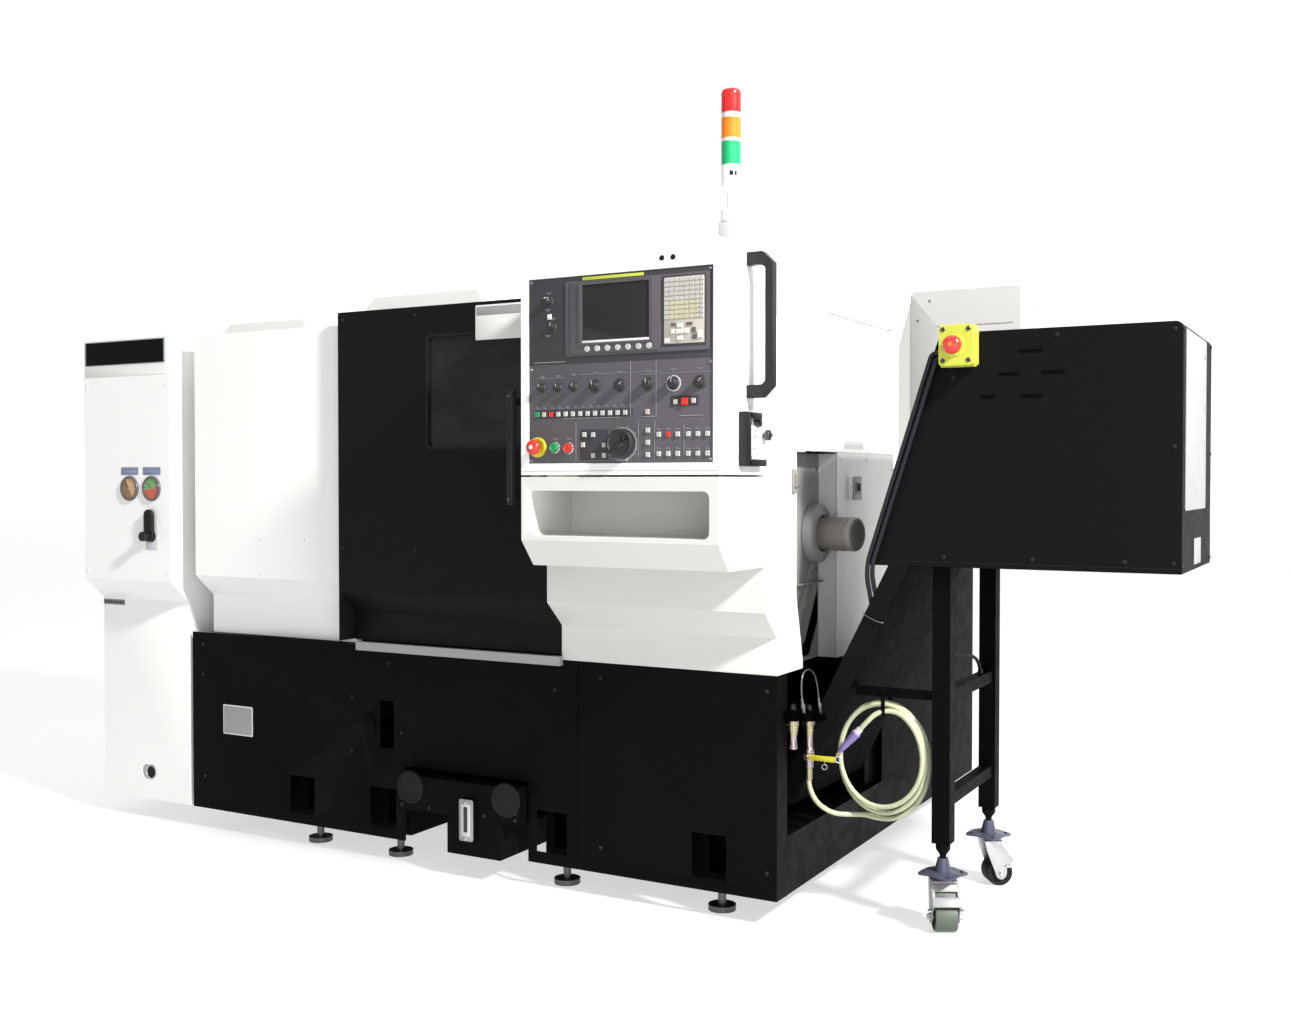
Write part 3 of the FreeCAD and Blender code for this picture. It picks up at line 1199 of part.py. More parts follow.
def casters():
    x = right + s.leg_x
    mounts = []
    for name, y, swing in (("front", front + s.leg_front, s.caster_swing_front.number),
                           ("rear", front + s.leg_rear, s.caster_swing_rear.number)):
        reach = s.caster_plate * LEAN
        turn = math.radians(s.caster_plate_turn.number)
        along = reach * round(math.cos(turn), 9)
        aside = reach * round(math.sin(turn), 9)
        plate = prism("z", [(x - along, y - aside), (x + aside, y - along), (x + along, y + aside),
                            (x - aside, y + along)],
                      s.caster_plate_z, s.caster_plate_z + s.caster_plate_thick)
        stud = rod("z", (x, y), s.caster_plate_z, s.leg_foot, s.caster_stud)
        nut = prism("z", hexagon((x, y), s.caster_stud * 1.8), s.leg_foot - s.caster_stud,
                    s.leg_foot)
        boss = rod("z", (x, y), s.caster_plate_z + 1, s.caster_boss_high, s.caster_boss,
                   s.caster_boss * 0.72)
        mounts.append(fuse(plate, stud, nut, boss))
        wheel_half = s.caster_width / 2
        inner = wheel_half + s.fork_gap
        outer = inner + s.fork_wall
        axle_x = x + s.caster_trail
        bridge_low = s.fork_top
        bridge_high = s.caster_plate_z - s.fit_gap
        bridge = box((x - s.caster_race, axle_x), (y - outer, y + outer),
                     (bridge_low, bridge_low + s.fork_wall), "Bridge")
        race = rod("z", (x, y), bridge_low, bridge_high, s.caster_race)
        cheeks = []
        for low, high in ((y - outer, y - inner), (y + inner, y + outer)):
            cheeks.append(prism("y", [(x - s.caster_race, bridge_low + 1),
                                      (x + s.caster_race, bridge_low + 1),
                                      (axle_x + s.axle_radius * 3, s.caster_radius + 4),
                                      (axle_x + s.axle_radius * 3, s.caster_radius - s.axle_radius * 3),
                                      (axle_x - s.axle_radius * 3, s.caster_radius - s.axle_radius * 3)],
                                low, high))
        axle = rod("y", (axle_x, s.caster_radius), y - outer, y + outer, s.axle_radius)
        pedal = prism("y", [(x + s.pedal_near, s.pedal_top), (x + s.pedal_near, s.pedal_top - s.fork_wall),
                            (x + s.pedal_far, s.pedal_low - s.fork_wall),
                            (x + s.pedal_far, s.pedal_low)], y - outer, y + outer)
        arms = []
        for low, high in ((y - outer, y - inner), (y + inner, y + outer)):
            arms.append(prism("y", [(x, bridge_low + 1), (x, s.caster_radius + s.fork_wall),
                                    (axle_x, s.caster_radius + s.fork_wall),
                                    (x + s.pedal_far, s.pedal_low - s.fork_wall),
                                    (x + s.pedal_far, s.pedal_low),
                                    (x + s.pedal_near, s.pedal_top)], low, high))
        fork = fuse(bridge, race, axle, pedal, *cheeks, *arms)
        node("caster_fork_" + name, swung(fork, (x, y), swing))
        wheel = rod("y", (axle_x, s.caster_radius), y - wheel_half, y + wheel_half, s.caster_radius)
        bore = rod("y", (axle_x, s.caster_radius), y - wheel_half - 1, y + wheel_half + 1,
                   s.axle_radius + s.running)
        node("caster_wheel_" + name, swung(cut(wheel, bore), (x, y), swing))
    node("caster_mounts", group(*mounts))


def conveyor_controls():
    back = conveyor_y[0] - s.box_stand
    x = (right + s.box_left, right + s.box_right)
    shell = rounded("y", x, (s.box_low, s.box_high), back - s.box_depth, back, 10)
    bracket = box((x[0] + 10, x[1] - 10), (back, conveyor_y[0]), (s.box_low + 10, s.box_high - 10),
                  "BoxBracket")
    middle = (right + s.box_button_x, s.box_button_z)
    hole = rod("y", middle, back - s.box_depth - 1, back - s.box_depth + s.box_button_high,
               s.start_radius * 0.6 + s.running)
    node("conveyor_estop_box", cut(fuse(shell, bracket), hole))
    face = back - s.box_depth
    head = rod("y", middle, face - s.box_button_high, face - 7, s.box_button_radius)
    stem = rod("y", middle, face - 7, face + s.box_button_high / 2, s.start_radius * 0.6)
    node("conveyor_estop_button", fuse(head, stem))
    conduits = []
    y = (conveyor_y[0] - s.conduit_radius - s.conduit_stand).number
    slope = (s.head_top_left.number - s.head_left.number) / (s.head_high.number - s.head_low.number)
    start_x = (x[0] - s.fit_gap).number
    for order in (0, 1):
        shift = order * s.conduit_pitch.number
        entry = s.conduit_entry.number + shift
        out_x = start_x - s.conduit_out.number - shift
        knee = s.head_low.number + 10
        knee_x = out_x - slope * (entry - knee)
        lean = (s.head_joint.number + s.incline_foot.number) / (s.head_low - s.trough_low).number
        low = s.conduit_low.number
        points = [FreeCAD.Vector(start_x, y, entry), FreeCAD.Vector(out_x, y, entry),
                  FreeCAD.Vector(knee_x, y, knee),
                  FreeCAD.Vector(knee_x - lean * (knee - low) * 0.85, y, low)]
        conduits.append(made(tube(points, s.conduit_radius.number, s.conduit_bend.number, "conduit")))
    node("conveyor_conduits", group(*conduits))


# ---------------------------------------------------------------- compressed air

air_x = right + s.air_x
air_a = front + s.air_y
air_b = air_a + s.air_pitch


def air_manifold():
    pieces = []
    for y, low in ((air_a, s.air_low_a), (air_b, s.air_low_b)):
        collar = low + s.air_collar
        pieces.append(rod("z", (air_x, y), low, s.air_high, s.air_radius))
        pieces.append(rod("z", (air_x, y), collar, s.air_high, s.air_radius * 1.4))
        pieces.append(box((air_x - s.air_block / 2, air_x + s.air_block),
                          (y - s.air_block / 2, y + s.air_block / 2),
                          (s.air_high, s.air_top), "Regulator"))
        pieces.append(rod("z", (air_x + s.loop_offset, y), s.air_top, s.air_top + s.air_stub,
                          s.loop_radius * 2))
    thick = s.bracket_thick
    level = (s.air_high + s.gauge, s.air_high + s.gauge + thick)
    block_left = air_x - s.air_block / 2
    bar = box((block_left, block_left + thick), (air_a - s.air_block / 2, air_b + s.air_block / 2),
              level, "AirBar")
    foot_x = right - s.bay_setback - s.bracket_foot
    arm_y = (front + s.bracket_front, air_b + s.air_block / 2)
    arm = box((foot_x, block_left + 1), arm_y, level, "AirArm")
    post = box((foot_x, foot_x + thick), arm_y, (s.front_beam_high, level[1]), "AirPost")
    valve = rod("z", (air_x, air_b), s.valve_low, s.valve_high, s.valve_radius)
    outlet = rod("z", (air_x, air_b), s.hose_start, s.valve_low, s.air_radius)
    x = air_x + s.loop_offset
    top = s.air_top + s.air_stub
    shoulder = top + s.loop_shoulder
    crown = top + s.loop_crown
    points = [vector(x, air_a, top - 2), vector(x, air_a, shoulder),
              vector(x, air_a + s.loop_pull, crown), vector(x, air_b - s.loop_pull, crown),
              vector(x, air_b, shoulder), vector(x, air_b, top - 2)]
    loop = made(tube(points, s.loop_radius.number, s.loop_pull.number, "link loop"))
    node("air_manifold", fuse(*pieces, bar, arm, post, valve, outlet, loop))


def air_lever():
    z = (s.valve_low + s.valve_high) / 2
    face = air_b - s.valve_radius
    thick = s.lever_thick
    hub = rod("y", (air_x, z), face - thick * 2, face - s.fit_gap, s.lever_half)
    arm = box((air_x, air_x + s.lever_length), (face - thick * 2, face - thick),
              (z - s.lever_half, z + s.lever_half), "Lever")
    node("air_valve_lever", fuse(hub, arm))


def biarc(start, start_way, end, end_way):
    """Two arcs that leave start along start_way and reach end along end_way."""
    gap = end - start
    ways = start_way + end_way
    spread = 2 * (1 - start_way.dot(end_way))
    across = gap.dot(ways)
    reach = (math.sqrt(across ** 2 + spread * gap.dot(gap)) - across) / spread
    first = start + start_way * reach
    second = end - end_way * reach
    join = (first + second) * 0.5
    edges = []
    for low, corner, high in ((start, first, join), (join, second, end)):
        chord = high - low
        middle = (low + high) * 0.5
        lift = corner - middle
        half = math.atan2(lift.Length, chord.Length / 2)
        top = middle + lift * (math.tan(half / 2) / math.tan(half))
        edges.append(Part.Arc(low, top, high).toShape())
    return edges


def coil_place(turn):
    """Where the coil's centre line is after some turns, from the loop that starts it."""
    angle = 2 * math.pi * (turn + s.coil_start.number / 360)
    wide = s.coil_half_width.number - s.coil_narrow.number * turn
    tall = s.coil_half_height.number - s.coil_shorten.number * turn
    rise = s.coil_z.number + s.coil_lift.number * turn
    return FreeCAD.Vector((right + s.coil_x).number + wide * math.cos(angle),
                          (front + s.coil_y).number - s.coil_pitch.number * turn,
                          rise + tall * math.sin(angle))


def coil_way(turn):
    step = 0.0005
    return (coil_place(turn + step) - coil_place(turn - step)).normalize()


def coil_turns():
    return s.coil_turns.number


def air_coil():
    quarters = round(coil_turns() * 4)
    turns = [coil_turns() * step / quarters for step in range(quarters + 1)]
    edges = []
    for low, high in zip(turns, turns[1:]):
        edges += biarc(coil_place(low), coil_way(low), coil_place(high), coil_way(high))
    gun_way = FreeCAD.Vector(-s.gun_run.number, 0, -s.gun_drop.number).normalize()
    gun_start = vector(right + s.gun_x, front + s.gun_y, s.gun_z)
    edges += biarc(coil_place(turns[-1]), coil_way(turns[-1]), gun_start, gun_way)
    route = Part.Wire(edges)
    ring = Part.Wire(Part.makeCircle(s.hose_radius.number, coil_place(0), coil_way(0)))
    coil = route.makePipeShell([ring], True, False)
    wanted = math.pi * s.hose_radius.number ** 2 * route.Length
    print("coil volume over section times length", round(coil.Volume / wanted, 4))
    spots = [point for edge in edges for point in edge.discretize(24)[:-1]]
    step = route.Length / len(spots)
    away = int(6 * s.hose_radius.number / step) + 1
    gap = min((spots[i] - spots[j]).Length for i in range(len(spots))
              for j in range(i + away, len(spots))) - 2 * s.hose_radius.number
    print("coil least gap to itself", round(gap, 2))
    node("air_hose_coil", made(coil))
    collar = Part.makeCylinder(s.gun_radius.number, s.gun_collar.number, gun_start, gun_way)
    grip_start = gun_start + gun_way * s.gun_collar.number
    grip = Part.makeCone(s.gun_radius.number * 1.25, s.gun_radius.number * 0.7, s.gun_length.number,
                         grip_start, gun_way)
    nozzle_start = grip_start + gun_way * s.gun_length.number
    nozzle = Part.makeCylinder(s.gun_radius.number * 0.4, s.gun_nozzle.number, nozzle_start, gun_way)
    node("air_gun", made(collar.fuse([grip, nozzle]).removeSplitter()))


def air_hose():
    start = vector(air_x, air_b, s.hose_start)
    end = coil_place(0)
    run_in = s.hose_run.number
    points = [start, start + FreeCAD.Vector(0, 0, -42), start + FreeCAD.Vector(20, 10, -76),
              start + FreeCAD.Vector(54, 36, -98), start + FreeCAD.Vector(93, 66, -99),
              end - coil_way(0) * run_in, end]
    node("air_hose", made(tube(points, s.hose_radius.number, None, "air hose")))


doc.recompute()
leveling_feet()
skirt_panels()
base_frame()
bed_casting()
headstock()
spindle()
chuck()
guide_rails()
carriage()
turret()
tailstock()
column_cover()
left_cover()
right_cover()
roof_panel()
roof_boxes()
tail_hood()
grey_recess()
rear_cover()
lining()
door()
sill()
tank()
shelf()
pendant()
operator_panel()
panel_buttons()
grab_handle()
tower()
end_cover_fittings()
conveyor()
conveyor_frame()
casters()
conveyor_controls()
air_manifold()
air_lever()
air_coil()
air_hose()
doc.recompute()

faults = [item.Label for item in doc.Objects if "Invalid" in item.State or "Error" in item.State]
if faults:
    raise RuntimeError("these objects failed: " + ", ".join(faults))
for item in NODES:
    if item.Shape.isNull() or not item.Shape.isValid():
        raise RuntimeError("bad shape: " + item.Label)
for item in NODES:
    item.Shape.exportStep("parts/" + item.Label + ".step")
print(len(NODES), "sub-parts written")
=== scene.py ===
import math

import bmesh
import bpy
from mathutils import Matrix, Vector


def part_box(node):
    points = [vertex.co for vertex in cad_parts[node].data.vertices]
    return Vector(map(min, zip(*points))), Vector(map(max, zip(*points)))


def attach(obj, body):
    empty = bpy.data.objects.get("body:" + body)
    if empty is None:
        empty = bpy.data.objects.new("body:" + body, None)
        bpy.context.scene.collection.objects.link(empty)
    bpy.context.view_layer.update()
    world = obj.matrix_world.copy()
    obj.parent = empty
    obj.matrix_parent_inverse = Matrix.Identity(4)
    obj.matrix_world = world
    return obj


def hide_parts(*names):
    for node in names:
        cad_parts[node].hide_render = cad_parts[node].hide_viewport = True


# A slant-bed turning lathe in its studio. Lengths are in millimetres from the right end of the
# front skirt, as a fitter would measure them, and become metres when a piece is settled.

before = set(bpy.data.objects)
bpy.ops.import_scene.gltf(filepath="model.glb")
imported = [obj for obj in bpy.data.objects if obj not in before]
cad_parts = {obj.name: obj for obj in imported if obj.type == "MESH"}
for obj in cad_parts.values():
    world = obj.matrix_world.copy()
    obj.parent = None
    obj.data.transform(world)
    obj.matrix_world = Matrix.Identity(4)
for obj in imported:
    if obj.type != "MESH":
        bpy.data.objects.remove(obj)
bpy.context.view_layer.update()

MM = 0.001
SHIFT = Vector((208, -88, 0))
TO_ROW = Matrix.Scale(MM, 4) @ Matrix.Translation(SHIFT)


def at(x, y, z):
    """A measured place, in metres."""
    return (Vector((x, y, z)) + SHIFT) * MM


def placed(name, data):
    """An object of the scene with this data."""
    thing = bpy.data.objects.new(name, data)
    bpy.context.collection.objects.link(thing)
    return thing


def riding(piece, body, stands_for=()):
    """Puts a piece on its body and hides the CAD parts that it stands for."""
    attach(piece, body)
    if stands_for:
        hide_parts(*stands_for)
    return piece


# ---------------------------------------------------------------- camera

lens = bpy.data.cameras.new("photo_lens")
lens.sensor_width = 36
lens.lens = 37.631
lens.clip_end = 200
camera = placed("photo_camera", lens)
camera.location = at(1470.0, -3368.6, 1227.1)
camera.rotation_euler = (math.radians(90 - 1.169), 0, math.radians(29.166))
bpy.context.scene.camera = camera
bpy.context.scene.view_settings.view_transform = "Standard"


# ---------------------------------------------------------------- finishes

def feed(tree, socket, value):
    """Sets an input, or links it where the value is another node's output."""
    if isinstance(value, bpy.types.NodeSocket):
        tree.links.new(value, socket)
    else:
        socket.default_value = value


def add(tree, kind, settings=None, **inputs):
    """A node with its settings and inputs; an underscore in a label stands for a space."""
    node = tree.nodes.new(kind)
    for name, value in (settings or {}).items():
        setattr(node, name, value)
    for label, value in inputs.items():
        feed(tree, node.inputs[label.replace("_", " ")], value)
    return node


def effect(name, inputs):
    """A shader group with named inputs, and the three outputs that a finish needs."""
    group = bpy.data.node_groups.new(name, "ShaderNodeTree")
    for label, value in inputs.items():
        kind = "NodeSocketColor" if isinstance(value, tuple) else "NodeSocketFloat"
        group.interface.new_socket(name=label, in_out="INPUT",
                                   socket_type=kind).default_value = value
    for label, kind in (("Color", "Color"), ("Roughness", "Float"), ("Normal", "Vector")):
        group.interface.new_socket(name=label, in_out="OUTPUT", socket_type="NodeSocket" + kind)
    return group, add(group, "NodeGroupInput").outputs


def sums(tree, operation, first, second):
    """A Math node; each side is a number or a socket."""
    node = add(tree, "ShaderNodeMath", {"operation": operation})
    feed(tree, node.inputs[0], first)
    feed(tree, node.inputs[1], second)
    return node.outputs[0]


def noise(tree, place, scale, detail=2.0, roughness=0.5):
    return add(tree, "ShaderNodeTexNoise", Detail=detail, Roughness=roughness, Vector=place,
               Scale=scale).outputs["Fac"]


def object_place(tree, stretch=None):
    """Object coordinates, stretched where a finish runs one way."""
    source = add(tree, "ShaderNodeTexCoord").outputs["Object"]
    if stretch is None:
        return source
    return add(tree, "ShaderNodeMapping", Scale=stretch, Vector=source).outputs["Vector"]


def mixed(tree, amount, first, second, blend="MIX"):
    node = add(tree, "ShaderNodeMix", {"data_type": "RGBA", "blend_type": blend})
    for index, value in ((0, amount), (6, first), (7, second)):
        feed(tree, node.inputs[index], value)
    return node.outputs[2]


def spread(tree, value, low, high, to_low, to_high):
    node = add(tree, "ShaderNodeMapRange")
    for socket, number in zip(node.inputs, (value, low, high, to_low, to_high)):
        feed(tree, socket, number)
    return node.outputs[0]


def finished(group, colour, gloss, height, strength, distance):
    """Closes a finish: its colour, its roughness and the bump of its grain."""
    bump = add(group, "ShaderNodeBump", Distance=distance, Height=height, Strength=strength)
    add(group, "NodeGroupOutput", Color=colour, Roughness=gloss, Normal=bump.outputs["Normal"])
    return group


def sprayed_coat():
    """Powder coat: a fine grain, faint clouds in its colour and gloss, and dust low down."""
    group, inside = effect("sprayed_coat", {
        "Tint": (0.8, 0.8, 0.8, 1), "Grain Size": 2.0, "Grain Depth": 0.2, "Clouds": 0.05,
        "Gloss Low": 0.35, "Gloss High": 0.5, "Dust": 0.0})
    place = object_place(group)
    grain = noise(group, place, sums(group, "DIVIDE", 1000.0, inside["Grain Size"]), 3.0, 0.6)
    clouds = noise(group, place, 2.4, 4.0, 0.55)
    darker = mixed(group, 1.0, inside["Tint"], (0.62, 0.62, 0.60, 1), "MULTIPLY")
    tinted = mixed(group, sums(group, "MULTIPLY", clouds, inside["Clouds"]), inside["Tint"], darker)
    speckle = sums(group, "MULTIPLY", spread(group, grain, 0.45, 0.75, 0.0, 0.5),
                   inside["Grain Depth"])
    tinted = mixed(group, speckle, tinted, darker)
    height = add(group, "ShaderNodeSeparateXYZ", Vector=place).outputs["Z"]
    low = spread(group, height, 0.0, 0.45, 1.0, 0.0)
    settled = sums(group, "MULTIPLY", sums(group, "MULTIPLY", low, low), inside["Dust"])
    settled = sums(group, "MULTIPLY", settled,
                   spread(group, noise(group, place, 9.0, 5.0), 0.3, 0.7, 0.2, 1.0))
    gloss = spread(group, noise(group, place, 26.0, 3.0), 0.3, 0.7, inside["Gloss Low"],
                   inside["Gloss High"])
    return finished(group, mixed(group, settled, tinted, (0.30, 0.29, 0.27, 1)), gloss, grain,
                    inside["Grain Depth"], 0.0006)


def worked_metal():
    """Drawn, turned or ground metal: fine lines along one way, blotches in the polish."""
    group, inside = effect("worked_metal", {"Tint": (0.6, 0.6, 0.6, 1), "Lines": 0.3,
                                            "Gloss Low": 0.2, "Gloss High": 0.4, "Stain": 0.1})
    lines = noise(group, object_place(group, (14.0, 700.0, 700.0)), 1.0, 3.0, 0.6)
    blotch = noise(group, object_place(group), 18.0, 5.0, 0.6)
    dark = mixed(group, 1.0, inside["Tint"], (0.45, 0.42, 0.38, 1), "MULTIPLY")
    stain = sums(group, "MULTIPLY", spread(group, blotch, 0.48, 0.75, 0.0, 1.0), inside["Stain"])
    tinted = mixed(group, stain, inside["Tint"], dark)
    streak = sums(group, "MULTIPLY", lines, inside["Lines"])
    gloss = spread(group, lines, 0.3, 0.7, inside["Gloss Low"], inside["Gloss High"])
    return finished(group, mixed(group, streak, tinted, dark), gloss, lines, inside["Lines"],
                    0.0002)


def moulded_skin():
    """Moulded plastic or rubber: a soft pebble and a slightly uneven shine."""
    group, inside = effect("moulded_skin", {
        "Tint": (0.1, 0.1, 0.1, 1), "Pebble Size": 0.8, "Pebble Depth": 0.1, "Gloss Low": 0.3,
        "Gloss High": 0.45, "Fading": 0.1})
    place = object_place(group)
    pebble = noise(group, place, sums(group, "DIVIDE", 1000.0, inside["Pebble Size"]), 2.0, 0.5)
    wide = noise(group, place, 14.0, 4.0, 0.55)
    faded = mixed(group, 1.0, inside["Tint"], (1.35, 1.3, 1.25, 1), "MULTIPLY")
    amount = sums(group, "MULTIPLY", spread(group, wide, 0.35, 0.7, 0.0, 1.0), inside["Fading"])
    gloss = spread(group, wide, 0.3, 0.7, inside["Gloss Low"], inside["Gloss High"])
    return finished(group, mixed(group, amount, inside["Tint"], faded), gloss, pebble,
                    inside["Pebble Depth"], 0.0003)


COAT = sprayed_coat()
METAL = worked_metal()
SKIN = moulded_skin()


def finish(name, group, tint, settings, **shader):
    """A material whose Principled shader is fed by one of the effects above."""
    material = bpy.data.materials.new(name)
    material.use_nodes = True
    tree = material.node_tree
    bsdf = tree.nodes["Principled BSDF"].inputs
    look = add(tree, "ShaderNodeGroup", {"node_tree": group}, Tint=(*tint, 1), **settings).outputs
    for source, target in (("Color", "Base Color"), ("Roughness", "Roughness"),
                           ("Normal", "Normal")):
        tree.links.new(look[source], bsdf[target])
    for label, value in shader.items():
        bsdf[label.replace("_", " ")].default_value = value
    material.diffuse_color = (*tint, 1)
    return material


def coat(name, tint, grain=1.6, depth=0.12, clouds=0.06, low=0.3, high=0.42, dust=0.0, **shader):
    return finish(name, COAT, tint, {"Grain_Size": grain, "Grain_Depth": depth, "Clouds": clouds,
                                     "Gloss_Low": low, "Gloss_High": high, "Dust": dust}, **shader)


def metal(name, tint, lines=0.25, low=0.2, high=0.38, stain=0.12):
    return finish(name, METAL, tint, {"Lines": lines, "Gloss_Low": low, "Gloss_High": high,
                                      "Stain": stain}, Metallic=1.0)


def moulded(name, tint, size=0.8, depth=0.1, low=0.3, high=0.45, fading=0.12, **shader):
    return finish(name, SKIN, tint, {"Pebble_Size": size, "Pebble_Depth": depth, "Gloss_Low": low,
                                     "Gloss_High": high, "Fading": fading}, **shader)


white = coat("white_powder_coat", (0.83, 0.83, 0.815), 2.2, 0.10, 0.07, 0.30, 0.42)
roof_white = coat("roof_white_coat", (0.66, 0.66, 0.64), 2.2, 0.10, 0.10, 0.36, 0.5)
black = coat("black_powder_coat", (0.0046, 0.0046, 0.005), 1.3, 0.3, 0.15, 0.50, 0.62, 0.0,
              Specular_IOR_Level=0.06)
door_black = coat("door_black_coat", (0.0056, 0.0056, 0.0060), 1.0, 0.30, 0.3, 0.44, 0.6,
                  Specular_IOR_Level=0.10)
skirt_black = coat("skirt_black_coat", (0.0026, 0.0026, 0.0030), 1.2, 0.3, 0.2, 0.48, 0.62, 0.0,
                   Specular_IOR_Level=0.05)
# Painted shade: a near-black for flat bars that stand for the shade inside louvre and vent slots.
slot_shade_black = coat("slot_shade_black", (0.0012, 0.0012, 0.0013), 1.2, 0.2, 0.2, 0.6, 0.75, 0.0,
                  Specular_IOR_Level=0.04)
frame_black = coat("frame_black_coat", (0.0020, 0.0020, 0.0022), 1.4, 0.25, 0.2, 0.5, 0.64,
                   Specular_IOR_Level=0.04)
# Painted shade: the darkest black, put on the conveyor casing's undersides for the shade under it;
# the air bracket and coupler blocks use it too.
shade_black = coat("deep_black_and_painted_shade_coat", (0.0008, 0.0008, 0.0009), 1.4, 0.2, 0.1, 0.6, 0.7,
                   Specular_IOR_Level=0.01)
# Painted shade: a dark grey for the shade on the side bay's right-facing faces and on the ring
# round the tail motor.
bay_painted_shade = coat("bay_painted_shade_coat", (0.25, 0.25, 0.245), 1.8, 0.12, 0.3, 0.38, 0.55)
# Painted shadow: a grey for the cast shadow on the rear cabinet's front, left of a diagonal.
painted_shadow_grey = coat("cabinet_bevel_coat", (0.33, 0.33, 0.32), 1.8, 0.12, 0.3, 0.38, 0.55)
collar_pale = moulded("collar_pale", (0.42, 0.40, 0.46), 0.4, 0.03, 0.32, 0.42)
# Painted shade: the side bay is white paint; this grey puts the shade that it stands in into its
# colour.
bay_grey_painted_shade = coat("bay_grey_painted_shade_coat", (0.56, 0.56, 0.545), 1.8, 0.12, 0.3, 0.38, 0.55)
cover_cream = coat("cover_cream_paint", (0.66, 0.655, 0.63), 1.5, 0.2, 0.3, 0.34, 0.46)
sill_steel = coat("sill_steel_paint", (0.33, 0.33, 0.335), 1.0, 0.1, 0.1, 0.3, 0.42)
cabinet_cream = coat("cabinet_cream_paint", (0.46, 0.455, 0.44), 1.8, 0.1, 0.1, 0.38, 0.52)
louvre_white = coat("end_panel_paint", (0.30, 0.30, 0.30), 1.8, 0.1, 0.1, 0.38, 0.52)
recess_grey = coat("recess_grey_coat", (0.30, 0.30, 0.285), 1.8, 0.12, 0.5, 0.38, 0.55)
panel_grey = coat("panel_grey_coat", (0.078, 0.071, 0.082), 0.9, 0.25, 0.25, 0.42, 0.58)
panel_dark = coat("panel_dark_coat", (0.034, 0.031, 0.037), 0.9, 0.2, 0.25, 0.42, 0.58)
print_white = moulded("printed_white", (0.50, 0.49, 0.51), 0.4, 0.05, 0.5, 0.65)
print_grey = moulded("printed_grey", (0.27, 0.26, 0.28), 0.4, 0.05, 0.5, 0.65)
cast_grey = coat("cast_grey_paint", (0.20, 0.215, 0.22), 3.2, 0.5, 0.5, 0.42, 0.62, 0.3)
sheet_metal = metal("rolled_sheet", (0.56, 0.56, 0.55), 0.3, 0.26, 0.45, 0.2)
ground = metal("ground_steel", (0.62, 0.62, 0.61), 0.2, 0.14, 0.3, 0.12)
dark_steel = metal("blackened_steel", (0.13, 0.13, 0.135), 0.25, 0.28, 0.48, 0.2)
zinc = metal("zinc_plate", (0.58, 0.59, 0.60), 0.2, 0.26, 0.48, 0.35)
blue_zinc = coat("grey_blue_enamel", (0.058, 0.06, 0.105), 1.6, 0.3, 0.8, 0.28, 0.45, 0.1)
bright = metal("bright_trim", (0.80, 0.80, 0.80), 0.15, 0.12, 0.25, 0.05)
dull_zinc = metal("dull_zinc", (0.20, 0.20, 0.205), 0.2, 0.3, 0.5, 0.3)
rose_nickel = metal("rose_nickel", (0.46, 0.38, 0.38), 0.15, 0.2, 0.36, 0.3)
brass = metal("nickel_brass", (0.46, 0.43, 0.27), 0.15, 0.18, 0.36, 0.35)
silver_paint = coat("silver_paint", (0.27, 0.27, 0.275), 1.2, 0.1, 0.1, 0.3, 0.42)
black_plastic = moulded("black_plastic", (0.0095, 0.0095, 0.010), 0.9, 0.16, 0.34, 0.5,
                        Specular_IOR_Level=0.3)
grip_plastic = moulded("grip_plastic", (0.017, 0.018, 0.017), 0.7, 0.3, 0.42, 0.58)
red_plastic = moulded("red_plastic", (0.62, 0.030, 0.022), 0.6, 0.04, 0.2, 0.32, 0.2)
green_plastic = moulded("green_plastic", (0.02, 0.25, 0.085), 0.6, 0.04, 0.25, 0.38)
box_yellow = moulded("box_yellow", (0.44, 0.48, 0.05), 0.8, 0.08, 0.3, 0.45)
yellow_plastic = moulded("yellow_plastic", (0.46, 0.42, 0.02), 0.8, 0.08, 0.26, 0.4)
key_cream = moulded("cream_key", (0.40, 0.375, 0.32), 0.5, 0.08, 0.38, 0.52, 0.3)
key_white = moulded("white_key", (0.42, 0.415, 0.40), 0.5, 0.08, 0.36, 0.5, 0.2)
key_olive = moulded("olive_key", (0.44, 0.43, 0.30), 0.5, 0.08, 0.4, 0.55, 0.2)
key_dark = moulded("dark_key", (0.10, 0.095, 0.08), 0.5, 0.08, 0.4, 0.55, 0.2)
rubber = moulded("black_rubber", (0.0065, 0.0065, 0.007), 1.4, 0.4, 0.55, 0.72,
                 Specular_IOR_Level=0.2)
tread = moulded("green_grey_tread", (0.0675, 0.0875, 0.065), 1.2, 0.3, 0.42, 0.6, 0.4)
sheath = moulded("cable_sheath", (0.005, 0.0046, 0.008), 0.5, 0.15, 0.34, 0.46,
                 Specular_IOR_Level=0.3)
warm_grey = coat("warm_grey_paint", (0.200, 0.184, 0.168), 1.6, 0.2, 0.4, 0.36, 0.5)
boss_rim_grey = coat("boss_rim_grey", (0.27, 0.255, 0.235), 1.6, 0.2, 0.3, 0.32, 0.45)
dial_case = moulded("dial_case", (0.20, 0.215, 0.25), 0.5, 0.05, 0.3, 0.42)
dial_amber = moulded("dial_amber", (0.50, 0.31, 0.16), 0.4, 0.02, 0.4, 0.5, 0.3)
gauge_rim = moulded("gauge_rim", (0.085, 0.080, 0.085), 0.5, 0.05, 0.2, 0.4, 0.4)
dial_brown = moulded("dial_brown", (0.20, 0.13, 0.07), 0.5, 0.02, 0.2, 0.4, 0.3)
dial_green = moulded("dial_green", (0.16, 0.30, 0.13), 0.4, 0.02, 0.4, 0.5, 0.3)
dial_red = moulded("dial_red", (0.45, 0.10, 0.06), 0.4, 0.02, 0.4, 0.5, 0.3)
strip_blue = moulded("strip_blue", (0.16, 0.19, 0.31), 0.4, 0.04, 0.4, 0.5)
